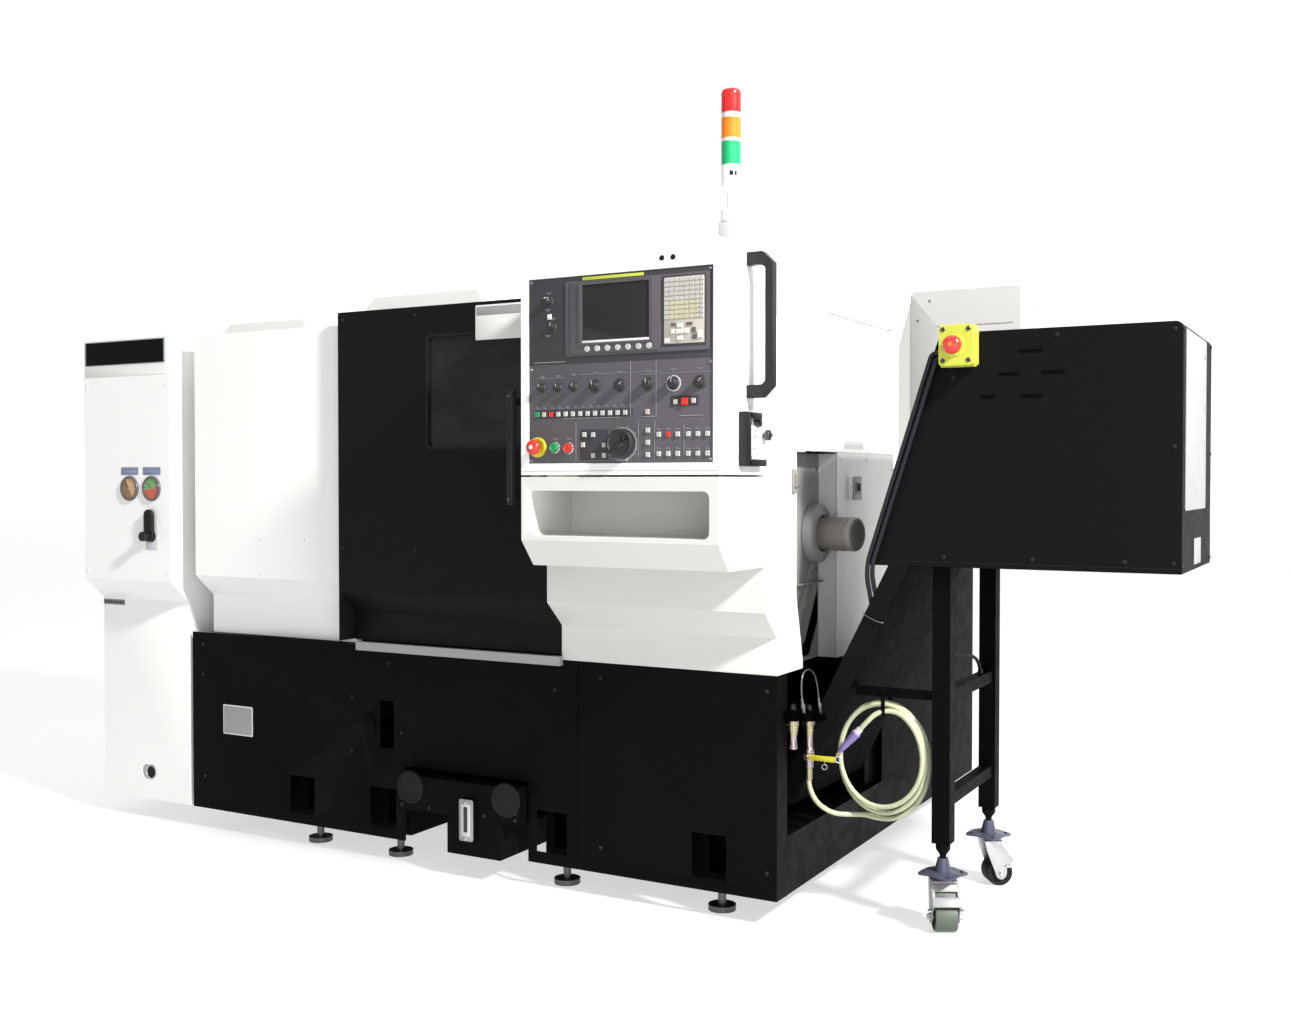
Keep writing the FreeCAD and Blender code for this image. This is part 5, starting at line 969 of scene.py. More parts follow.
def caps(name, entries, material, base=0.0, slope=0.84):
    """Key caps; each entry gives its middle, width, height and rise above the base."""
    places = [(on_panel(across, up, base), Vector(size) * MM) for across, up, *size in entries]
    return repeated(name, KEYS, places, "control_panel", {"Slope": slope, "Cap Finish": material})


def panel_plate():
    plate = Maker("operator_panel_plate")
    plate.plate((0, 0, 549, 490, 2), 4, panel_grey, on_panel(0, 0, -4), FRONT, 0.5)
    panel_slab(plate, (1, 262), (548, 489), 0.8, panel_dark, 0, 2, 0.2)
    panel_slab(plate, (116, 280), (540, 476), 3.0, panel_grey, 0.8, 5, 1.0)
    panel_slab(plate, (133, 286), (401, 474), 2.2, panel_grey, 3.8, 4, 0.9)
    part = Maker("panel_screen_surround")
    outer, inner = [[(x + PANEL_LEFT, z + PANEL_LOW) for x, z in round_rectangle(*field)]
                    for field in ((162, 308, 382, 470, 4), (172, 320, 372, 464, 3))]
    ring(part, outer, inner, PANEL_FACE - 5, PANEL_FACE - 9.5, panel_grey)
    panel_slab(part, (171, 319), (373, 465), 1.2, dark_screen, 5.6, 2, 0.2)
    panel_slab(part, (172, 313), (372, 318.5), 1.0, label_white, 8.9, 1, 0.3)
    part.settle("control_panel", "panel_grey")
    strip = Maker("panel_yellow_strip")
    panel_slab(strip, (170, 477), (352, 485), 3.2, box_yellow, 0.8, 1, 0.4)
    strip.settle("control_panel", "yellow_paint")
    panel_slab(plate, (408, 293), (532, 470), 1.2, panel_dark, 3.6, 3, 0.4)
    panel_slab(plate, (413, 299), (527, 466), 0.8, key_cream, 4.6, 2, 0.2)
    return plate.settle("control_panel", "panel_grey", ("operator_panel",))


def panel_lines():
    """Printed dividers, scales and the short bars that stand for captions."""
    marks = []

    def mark(across, up, wide, tall=1.1):
        marks.append((on_panel(across, up, 0.9), (wide, 0.3, tall)))

    for across, up, wide, tall in (
            (65, 268, 100, 1.6), (198, 118, 180, 1.6), (488, 118, 68, 1.6), (368, 118, 46, 1.6),
            (280, 232, 250, 0.9), (364, 226, 50, 0.9), (472, 226, 150, 0.9), (68, 226, 90, 0.9)):
        mark(across, up, wide, tall)
    for across, low, high in ((313, 118, 262), (388, 118, 262), (148, 6, 108), (336, 16, 108),
                              (384, 6, 108), (468, 10, 96)):
        mark(across, (low + high) / 2, 1.5, high - low)
    for across in ROTARIES:
        for step in range(9):
            angle = math.radians(37.5 * step - 30)
            reach = 23 if step % 2 else 24.5
            mark(across - reach * math.cos(angle), ROTARY_HEIGHT + reach * math.sin(angle), 1.6,
                 1.6)
    for across in range(24, 316, 24):
        mark(across + 3, 146, 13)
        mark(across + 1, 150, 9)
    captions = [(65, 452), (75, 384), (60, 408), (60, 340)]
    captions += zip(ROTARIES, (232, 232, 234, 236, 236, 236, 236, 236))
    for across, up in captions:
        mark(across, up, 17)
        mark(across, up - 3.4, 11)
    for across in (396, 423, 450, 480, 507, 534):
        for up in (84, 35):
            mark(across, up, 14)
            mark(across - 2, up + 3.2, 9)
    for across, _ in (START_BUTTON, HOLD_BUTTON):
        mark(across, 66, 20)
        mark(across, 62.6, 14)
    for up in (96, 64, 34):
        mark(364, up, 13)
    bars("panel_print", marks, "control_panel", print_grey)
    scale = []
    across, up = HAND_DIAL
    for step in range(50):
        angle = 2 * math.pi * step / 50
        reach, size = (45.5, 0.9) if step % 5 else (47, 2.0)
        scale.append((on_panel(across + reach * math.cos(angle), up + reach * math.sin(angle), 0.9),
                      (size, 0.3, size)))
    bars("handwheel_scale", scale, "control_panel", print_white)
    arc = Maker("handwheel_arc")
    arc.turned([(43.5, 0), (43.5, 0.9), (39.2, 0.9), (39.2, 0)], on_panel(across, up, 0.4), FRONT,
               silver_paint, 72, hoop=True)
    arc.settle("control_panel", "warm_grey")


def panel_keys():
    small = (11.5, 13, 4)
    middles = [(48 + 22.7 * step, 130) for step in range(2, 12)]
    middles += [(start + 27 * step, 23) for start in (396, 480) for step in (0, 1, 2)]
    middles += [(x, 72) for x in (396, 450, 480, 507, 534)] + [(364, z) for z in (83, 52, 21)]
    middles += [(174, 75), (201, 74), (170, 48), (234, 47), (201, 20), (234, 20), (444, 153),
                (495, 155)]
    caps("white_panel_keys", [(*middle, *small) for middle in middles], key_white)
    caps("cream_panel_keys", [(48, 130, 11, 13.2, 4), (363, 130.2, 11, 13.2, 4)], key_cream)
    caps("red_panel_keys", [(70.7, 130, *small), (423, 72, *small)], red_plastic)
    caps("red_stop_key", [(470, 154, 17, 20, 6)], red_plastic)
    caps("green_panel_key", [(27, 130, 14, 14, 5)], green_plastic)
    surrounds = Maker("key_surrounds")
    for low, high in (((430, 142), (509, 168)), ((160, 8), (246, 88)), ((18, 119), (320, 141))):
        panel_slab(surrounds, low, high, 0.5, panel_dark, 0, 3, 0.15)
    surrounds.settle("control_panel", "panel_grey")
    soft = Maker("soft_keys")
    for step in range(7):
        place = on_panel(186 + 30.7 * step, 298, 5.5)
        soft.turned([(8.2, 0), (8.2, 1.6), (7.4, 2.6), (0, 3.0)], place, FRONT, key_white, 24)
    soft.settle("control_panel", "warm_grey")
    rows, olive = [], []
    for line in range(9):
        for column in range(8):
            kept = rows if line < 5 or column in (0, 7) else olive
            kept.append((420 + 14.3 * column, 459 - 11.6 * line, 12.0, 9.6, 2.2))
    pad = 5.2
    caps("keypad_keys", rows, key_white, base=pad, slope=0.86)
    caps("keypad_olive_keys", olive, key_olive, base=pad, slope=0.86)
    caps("arrow_keys", [(459, 330, 22, 12, 3.2), (459, 344, 15, 11, 3.2), (459, 313, 15, 11, 3.2),
                        (440, 330, 12, 12, 3.2), (478, 330, 12, 12, 3.2), (422, 308, 12, 12, 3.2),
                        (516, 320, 14, 20, 3.2)], label_white, base=pad, slope=0.9)
    caps("dark_keypad_keys", [(440, 347, 14, 8, 2), (486, 347, 18, 8, 2), (498, 331, 12, 14, 2),
                              (500, 314, 12, 12, 2)], key_dark, pad, 0.9)


def panel_switches():
    knobs = Maker("panel_switches")
    switch_knob(knobs, 65, 428, 13, 17, 50)
    switch_knob(knobs, 75, 360, 13, 17, 20)
    for across, point in zip(ROTARIES, (-20, 15, 35, -10, 60, 5, 10, 48)):
        wide = across > ROTARIES[2]
        if across == ROTARIES[6]:
            knobs.turned([(20.5, 0), (20.5, 1.2), (18.6, 1.8), (18.2, 1.0)],
                         on_panel(across, ROTARY_HEIGHT), FRONT, print_white, 48)
        switch_knob(knobs, across, ROTARY_HEIGHT, 15.5 if wide else 11, 17.5 if wide else 17, point)
    for across, up in ((57, 434), (68, 388)):
        x, y, z = on_panel(across, up)
        knobs.block((x - 8, y - 4, z - 7), (x + 4, y, z + 7), label_white, 1.0)
    knobs.settle("control_panel", "black_plastic")
    collars = Maker("push_button_collars")
    collars.turned([(27, 0), (27, 5), (25.5, 6.5), (21, 7), (20, 5), (11.2, 5), (11.2, 0)],
                   on_panel(*STOP_BUTTON), FRONT, yellow_plastic, 48, hoop=True)
    for button in (START_BUTTON, HOLD_BUTTON):
        collars.turned([(15.5, 0), (15.5, 3.4), (14.4, 4.6), (13.4, 4.6), (13.4, 0)],
                       on_panel(*button), FRONT, bright, 40, hoop=True)
    collars.settle("control_panel", "yellow_paint")
    stop = Maker("panel_stop_mushroom")
    stop.turned([(10, 6.5), (10, 15), (18, 17), (20, 20), (20, 25), (18.4, 29.5), (14.5, 33),
                 (8, 35.2), (0, 36)], on_panel(*STOP_BUTTON), FRONT, red_plastic, 48)
    stop.turned([(6, 35.0), (5.4, 36.3), (0, 36.5)], on_panel(*STOP_BUTTON), FRONT, label_white, 24)
    stop.settle("panel_estop", "red_plastic", ("panel_estop_button",))
    for body, button, material, slot in (
            ("cycle_start", START_BUTTON, green_plastic, "green_plastic"),
            ("feed_hold", HOLD_BUTTON, red_plastic, "red_plastic")):
        cap = Maker(body + "_cap")
        cap.turned([(12, 3.5), (12, 10), (11.2, 13), (8.6, 13.8), (7.8, 12.8), (0, 12.6)],
                   on_panel(*button), FRONT, material, 40)
        cap.settle(body, slot, (body + "_button",))


def handwheel():
    wheel = Maker("hand_dial_wheel")
    place = on_panel(*HAND_DIAL)
    wheel.turned([(30, 1), (31, 4), (37.5, 6), (38, 9), (38, 19), (36.8, 21.5), (33, 22.5),
                  (31.5, 21), (30, 19.5), (12, 18.6), (11, 21), (9.5, 22.2), (0, 22.6)],
                 place, FRONT, grip_plastic, 72)
    x, y, z = place
    for step in range(36):
        angle = 2 * math.pi * step / 36
        middle = Vector((x + 38 * math.cos(angle), y - 14, z + 38 * math.sin(angle)))
        turn = Matrix.Rotation(-angle, 3, "Y")
        wheel.block(middle - Vector((0.9, 5, 1.3)), middle + Vector((0.6, 5, 1.3)), grip_plastic,
                    0.5, turn, middle)
    grip = (x + 20, y - 18, z + 14)
    wheel.turned([(6, 0), (6, 2), (5, 3.5), (5.4, 10), (7.2, 16), (7.6, 20), (6.2, 22.6), (0, 23)],
                 grip, FRONT, black_plastic, 32)
    wheel.settle("dial", "black_plastic", ("hand_dial",))


def panel_side():
    """The plugs, the catch that holds the panel and its plate, and the small clamp knob."""
    plugs = Maker("panel_front_plugs")
    for x in (-161, -129):
        plugs.turned([(7, 0), (7, 1.2), (5.6, 2.2), (0, 2.4)], (x, -361, 1788), FRONT, rubber, 24)
    plugs.settle("control_panel", "black_plastic")
    catch = Maker("panel_catch")
    catch.block((0, -250, 1262), (24, -217, 1402), black_plastic, 4)
    catch.block((0, -232, 1384), (24, -150, 1402), black_plastic, 4)
    catch.block((0, -232, 1262), (24, -122, 1281), black_plastic, 4)
    catch.block((0, -160, 1372), (16, -128, 1392), black_plastic, 4,
                Matrix.Rotation(math.radians(-28), 3, "X"), (8, -150, 1388))
    catch.settle("control_panel", "black_plastic")
    plate = Maker("panel_catch_plate")
    plate.plate((0, 0, 107, 98, 5), 2.5, white, (0, -193, 1288), RIGHT, 0.7)
    for z in (1306, 1337, 1368):
        plate.plate((0, 0, 26, 5, 2.4), 0.5, silver_paint, (2.4, -168, z), RIGHT, 0.15)
    plate.settle("control_panel", "white_paint")
    clamp = Maker("panel_clamp_knob")
    clamp.turned([(5, 0), (5, 8), (12, 9.5), (13, 12), (13, 20), (11.5, 22), (5, 22.5), (4.5, 28),
                  (0, 28.6)], (0, -100, 1345), RIGHT, dark_steel, 32)
    for step in range(6):
        angle = math.pi * step / 3
        middle = Vector((16, -100 + 12.4 * math.cos(angle), 1345 + 12.4 * math.sin(angle)))
        clamp.turned([(3.2, -4.5), (3.2, 4.5)], middle, RIGHT, dark_steel, 16)
    clamp.settle("control_panel", "black_plastic")
    edges = Maker("panel_door_seams")
    edges.block((-0.8, -343, 1252), (0.7, -341.2, 1820), recess_grey, 0.2)
    edges.block((-0.8, -300, 1250), (0.6, -298.6, 1822), recess_grey, 0.2)
    edges.block((-590, -361.6, 1250.2), (-2, -360.2, 1251.4), recess_grey, 0.2)
    edges.settle("control_panel", "grey_paint")
    hinges = Maker("panel_rear_hinges")
    for z in (1330, 1730):
        hinges.turned([(7, -34), (7, -12), (6.6, -11.4), (7, -11), (7, 11), (6.6, 11.4), (7, 12),
                       (7, 34)], (-585, -91, z), UP, zinc, 24)
    hinges.settle("control_panel", "zinc_steel")
    screws("panel_corner_screws", [(on_panel(a, b, 0), FRONT) for a, b in (
        (8, 250), (541, 250), (8, 8), (541, 8), (8, 482), (541, 482), (300, 8))], "control_panel",
           4.0, 2.0)


def light_tower():
    """A square post, a thin neck in a cup, and three ribbed lenses over a pale base."""
    tower = Maker("light_tower")
    x, y = -50, -190
    tower.block((x - 25, y - 25, 1829.5), (x + 25, y + 25, 1896), print_white, 2.5)
    tower.block((x - 31, y - 31, 1830), (x + 31, y + 31, 1834), white, 1.2)
    tower.turned([(20, 1894), (27, 1898), (28, 1906), (28, 1918), (25, 1926), (17, 1931),
                  (12, 1933), (11, 1936), (11, 1974), (13, 1976), (22, 1980), (26.5, 1985),
                  (27, 1990), (27, 2036), (25, 2038), (25, 2042), (0, 2042)], (x, y, 0), UP, white,
                 48)
    for low, high, material in ((2042, 2102, lens_green), (2110, 2163, lens_amber),
                                (2176, 2224, lens_red)):
        profile = [(24.5, low), (26, low + 1)]
        count = int((high - low - 4) / 4)
        for step in range(count):
            base = low + 2 + step * (high - low - 4) / count
            rise = (high - low - 4) / count
            profile += [(25.4, base), (26, base + rise * 0.5)]
        profile += [(26, high - 1), (24.5, high)]
        if material is lens_red:
            profile[-2:] = [(26, high), (25.4, 2230), (23.5, 2235), (19, 2238), (10, 2239),
                            (0, 2239)]
        tower.turned(profile, (x, y, 0), UP, material, 48)
    for low, high in ((2102, 2110), (2163, 2176)):
        tower.turned([(25, low - 0.5), (25.4, low), (25.4, high), (25, high + 0.5)], (x, y, 0), UP,
                     label_white, 48)
    for turn, wide in ((-62, 5), (-38, 3.2)):
        angle = math.radians(turn)
        way = Vector((math.cos(angle), math.sin(angle), 0))
        middle = Vector((x, y, 2018)) + way * 26.8
        tower.block(middle - Vector((0.8, wide, 6)), middle + Vector((0.8, wide, 6)), rubber, 0.4,
                    Matrix.Rotation(angle, 3, "Z"), middle)
    tower.settle("control_panel", "white_paint", ("signal_tower",))


panel_plate()
panel_lines()
panel_keys()
panel_switches()
handwheel()
panel_side()
light_tower()


# ---------------------------------------------------------------- right side

def side_slab(maker, low, high, thick, material, x=0.0, round_by=3, edge=0.4):
    """A field on the right side between two places given along the depth and up."""
    maker.plate((0, 0, high[0] - low[0], high[1] - low[1], round_by), thick, material,
                (x, low[0], low[1]), RIGHT, edge)


def right_side_details():
    plate = Maker("hood_blank_plate")
    side_slab(plate, (500, 1322), (672, 1418), 1.0, label_white, 0, 4, 0.25)
    side_slab(plate, (506, 1328), (666, 1412), 0.5, print_white, 0.9, 3, 0.12)
    plate.settle("machine", "white_paint")
    switch = Maker("side_key_switch")
    side_slab(switch, (543, 1166), (615, 1238), 3.0, boss_rim_grey, 12, 4, 0.8)
    side_slab(switch, (561, 1184), (598, 1221), 2.4, warm_grey, 14.6, 3, 0.8)
    side_slab(switch, (572, 1192), (596, 1216), 3.2, rubber, 16.4, 2, 0.6)
    switch.settle("machine", "grey_paint")
    boss = Maker("tail_motor_boss")
    way = (1, -0.16, 0)
    boss.turned([(49, -110), (49, 4), (50, 6), (50, 62), (49, 64), (48.4, 66), (49, 68), (50, 70),
                 (50, 84), (48.5, 89), (46, 91), (38, 92), (36, 91), (0, 90.6)],
                (0, 390, 1068), way, warm_grey, 64)
    boss.turned([(49.8, 71), (50.4, 72), (50.4, 83), (49.2, 88), (46.4, 91.2), (38, 92.2),
                 (37, 91.4), (37, 82)], (0, 390, 1068), way, boss_rim_grey, 64, hoop=True)
    boss.settle("machine", "grey_paint", ("tail_motor",))
    # Painted shade: the ring round the motor boss takes the dark bay grey for the shade in the bay.
    volute = Maker("tail_motor_volute")
    volute.turned([(88, -58), (88, -40), (84, -30), (76, -25), (62, -23), (56, -24), (52.5, -28),
                   (52.5, -58)], (0, 397, 1068), RIGHT, bay_painted_shade, 72, hoop=True)
    for k in range(6):
        angle = math.radians(30 + 60 * k)
        volute.turned([(5, 0), (5, 3), (3.6, 4), (0, 4.2)],
                      (-25, 397 + 70 * math.cos(angle), 1068 + 70 * math.sin(angle)), RIGHT,
                      warm_grey, 6)
    volute.settle("machine", "grey_paint")
    catch = Maker("side_cover_latch")
    catch.block((0, 96, 1190), (7, 121, 1258), boss_rim_grey, 3)
    catch.block((6, 100, 1205), (12, 117, 1243), warm_grey, 3)
    catch.turned([(5, 0), (5, 3), (3.6, 4), (0, 4.2)], (11, 108.5, 1212), RIGHT, zinc, 20)
    catch.settle("machine", "grey_paint")
    seams = Maker("side_seams")
    seams.block((-0.6, 199.4, 1311), (0.5, 200.9, 1496), recess_grey, 0.2)
    seams.block((-0.6, 955, 700), (0.5, 956.5, 1704), recess_grey, 0.2)
    seams.block((-0.6, 452, 1308.6), (0.5, 956, 1310), recess_grey, 0.2)
    seams.settle("machine", "grey_paint")
    edge_strip = Maker("hood_top_seal")
    knee, back = Vector((-1.0, 373, 1717.4)), Vector((-1.0, 930, 1717.4))
    edge_strip.swept([knee, back], 1.4, rubber, 8)
    edge_strip.settle("machine", "black_plastic")
    screws("side_cover_screws", [((0, y, z), RIGHT) for y, z in (
        (940, 760), (940, 1000), (940, 1260), (940, 1500), (470, 1290), (700, 1290), (30, 1290),
        (30, 1000), (30, 740), (-55, 1290))], "machine", 5.5, 2.6, white)


def side_recess():
    """The grey bay beside the motor: its screw, bracket line, brace, and a dark sheet painted as
    the shade in its lower gap.
    """
    bay = Maker("side_recess_brace")
    bay.slab([(0, 0), (26, 0), (196, 236), (196, 286), (180, 286), (0, 42)], 6, boss_rim_grey,
             (-61, 215, 706), (0, 1, 0), (0, 0, 1), 1.2)
    # Painted shade: a thin dark sheet for the shade in the bay's lower gap.
    bay.slab([(0, 0), (120, 0), (190, 96), (190, 200), (60, 0)], 2, warm_grey, (-62, 250, 706),
             (0, 1, 0), (0, 0, 1), 0.4)
    bay.settle("machine", "grey_paint")
    line = Maker("side_recess_bracket")
    line.block((-61, 215, 921), (-40, 440, 925), warm_grey, 1.0)
    line.block((-61, 215, 925), (-57, 440, 931), recess_grey, 1.0)
    line.settle("machine", "grey_paint")
    screws("side_recess_screws", [((-60, 237, 966), RIGHT), ((-60, 237, 1260), RIGHT),
                                  ((-60, 425, 1260), RIGHT), ((-60, 425, 960), RIGHT)],
           "machine", 6, 3, dark_steel)


right_side_details()
side_recess()


# ---------------------------------------------------------------- chip conveyor

def conveyor_details():
    louvres = [((606, 665), 1562), ((554, 604), 1504), ((662, 720), 1505), ((507, 539), 1446),
               ((609, 663), 1445)]
    marks = []
    lips = []
    for (left, right), z in louvres:
        marks.append((((left + right) / 2, 179.2, z), (right - left, 2.0, 7)))
        lips.append((((left + right) / 2, 178.6, z + 4.8), (right - left + 4, 3.0, 2.0)))
    # Painted shade: the slots are flat near-black bars for the shade inside them.
    bars("conveyor_louvres", marks, "machine", slot_shade_black)
    bars("conveyor_louvre_lips", lips, "machine", black)
    rear = []
    for row_z in (1562, 1505, 1446):
        for x in range(520, 760, 70):
            rear.append(((x, 745.8, row_z), (52, 1.6, 5)))
    # Painted shade: near-black bars for the shade in the rear louvre slots.
    bars("conveyor_rear_louvres", rear, "machine", slot_shade_black)
    end = Maker("conveyor_end_panel")
    side_slab(end, (222, 1150), (612, 1604), 2.4, louvre_white, 1005, 6, 0.6)
    end.settle("machine", "white_paint")
    marks = [((1007.8, 588, z), (1.4, 30, wide)) for z, wide in (
        (1560, 8), (1475, 4), (1420, 14), (1328, 14), (1262, 3), (1232, 3))]
    bars("conveyor_end_marks", marks, "machine", recess_grey)
    slot = Maker("conveyor_end_slot")
    side_slab(slot, (400, 1006), (530, 1074), 1.2, louvre_white, 1005, 4, 0.3)
    slot.settle("machine", "white_paint")
    seams = Maker("conveyor_head_seams")
    seams.block((228, 179.4, 1005), (1004, 180.4, 1006.6), rubber, 0.2)
    seams.block((740.2, 179.4, 994), (741.8, 180.4, 1005), rubber, 0.2)
    seams.settle("machine", "black_paint")
    screws("conveyor_screws", [((x, 180, z), FRONT) for x, z in (
        (405, 1020), (640, 1020), (870, 1020), (985, 1020), (985, 1600), (985, 1310), (700, 1600),
        (430, 1500))] + [((1005, y, z), RIGHT) for y in (196, 728) for z in (1010, 1300, 1600)]
        + [((x, 745, z), BACK) for x in (300, 560, 780, 985) for z in (1020, 1600)],
        "machine", 6, 3, black_plastic)
    band = Maker("incline_band")
    path = [(180, 260, 858), (180, 177.4, 857), (196, 176.4, 848), (212, 176, 841),
            (224, 176.4, 837), (234, 177.6, 835), (237, 182, 835)]
    band.swept(smooth_path(path, 5), 1.7, dull_zinc, 12)
    band.settle("machine", "grey_paint")
    motor = Maker("gearmotor_dressing")
    motor.turned([(56, 0), (58, 2), (58, 26), (54, 30), (30, 32), (0, 32)], (880, 861, 1420), BACK,
                 cast_grey, 48)
    for step in range(14):
        z = 1372 + step * 7.2
        motor.block((822, 770, z), (826, 858, z + 3), cast_grey, 0.6)
        motor.block((934, 770, z), (938, 858, z + 3), cast_grey, 0.6)
    motor.block((850, 790, 1488), (910, 850, 1512), cast_grey, 4)
    motor.settle("machine", "frame_cast")


def estop_box():
    place = (449, 122, 1580)
    mushroom = Maker("conveyor_stop_mushroom")
    mushroom.turned([(13, 0), (13, 12), (20, 14), (24, 18), (24.4, 26), (22, 31), (17, 35),
                     (9, 37.4), (0, 38)], place, FRONT, red_plastic, 48)
    mushroom.turned([(6.5, 37.6), (6, 38.6), (0, 38.8)], place, FRONT, label_orange, 24)
    mushroom.settle("conveyor_estop", "red_plastic", ("conveyor_estop_button",))
    trim = Maker("conveyor_box_trim")
    trim.block((406.6, 141, 1524.6), (501.4, 144, 1635.4), box_yellow, 1.2)
    trim.turned([(30, 0), (30, 2.2), (28.4, 3.4), (24, 3.6)], (449, 116, 1580), FRONT,
                box_yellow, 48)
    trim.settle("machine", "yellow_paint")
    fixings = Maker("conveyor_box_screws")
    for x in (420, 488):
        for z in (1540, 1622):
            fixings.turned([(6.4, 0), (6.4, 1.2), (5.4, 2.2), (3.0, 2.2), (2.6, 1.2), (0, 1.2)],
                           (x, 116, z), FRONT, dark_steel, 24)
    fixings.settle("machine", "zinc_steel")
    glands = Maker("conduit_glands")
    for z in (1552, 1566):
        glands.turned([(7.6, 0), (7.6, 6), (7.0, 7), (7.0, 13), (6.6, 15)], (408, 166, z), LEFT,
                      black_plastic, 24)
    glands.settle("machine", "black_plastic")


CONDUIT_WAYS = (((408, 166, 1552), (388, 166, 1552), (212, 166, 1003), (208, 170, 965),
                 (209, 186, 928), (212, 193, 902)),
                ((408, 166, 1566), (375, 166, 1566), (197, 166, 1003), (193, 170, 958),
                 (195, 188, 915), (198, 196, 880)))


def conduit_tree():
    """A tube along a curve whose radius steps in and out at every rib."""
    tree, inside = tree_of("ribbed_conduit", "Conduit", Way="Geometry", Rib_Pitch=0.0035,
                           Outer_Radius=0.006, Rib_Depth=0.0009, Finish="Material")
    steps = add(tree, "GeometryNodeResampleCurve", {"mode": "LENGTH"}, Curve=inside["Way"],
                Length=sums(tree, "MULTIPLY", inside["Rib Pitch"], 0.5))
    odd = sums(tree, "MODULO", add(tree, "GeometryNodeInputIndex").outputs["Index"], 2.0)
    cutback = sums(tree, "MULTIPLY", odd, inside["Rib Depth"])
    sized = add(tree, "GeometryNodeSetCurveRadius", Curve=steps.outputs["Curve"],
                Radius=sums(tree, "SUBTRACT", inside["Outer Radius"], cutback))
    circle = add(tree, "GeometryNodeCurvePrimitiveCircle", Resolution=14, Radius=1.0)
    skin = add(tree, "GeometryNodeCurveToMesh", Fill_Caps=True, Curve=sized.outputs["Curve"],
               Profile_Curve=circle.outputs["Curve"])
    if "Scale" in skin.inputs:
        feed(tree, skin.inputs["Scale"], add(tree, "GeometryNodeInputRadius").outputs["Radius"])
    real = add(tree, "GeometryNodeRealizeInstances",
               Geometry=coloured(tree, skin.outputs["Mesh"], inside["Finish"]))
    add(tree, "NodeGroupOutput", Conduit=real.outputs["Geometry"])
    return tree


def ribbed_conduits():
    """Two ribbed conduits that run from the stop box down the edge of the head and the incline."""
    tree = conduit_tree()
    values = {"Rib Pitch": 0.0042, "Outer Radius": 0.0068, "Rib Depth": 0.0010, "Finish": sheath}
    joined = bmesh.new()
    for way in CONDUIT_WAYS:
        curve = nurbs("conduit_way", [at(*corner) for corner in smooth_path(way, 30, 5)], 12)
        joined.from_mesh(grown(curve, tree, values))
    bmesh.ops.recalc_face_normals(joined, faces=joined.faces)
    for face in joined.faces:
        face.smooth = True
    result = bpy.data.meshes.new("ribbed_conduits")
    joined.to_mesh(result)
    joined.free()
    result.materials.append(sheath)
    result.set_sharp_from_angle(angle=math.radians(60))
    riding(placed("ribbed_conduits", result), "machine", ("conveyor_conduits",))


# ---------------------------------------------------------------- casters

STEM = {"front": (391, 235, -62), "rear": (391, 705, 35)}
PLATE_LOW, PLATE_REACH = 150, 76


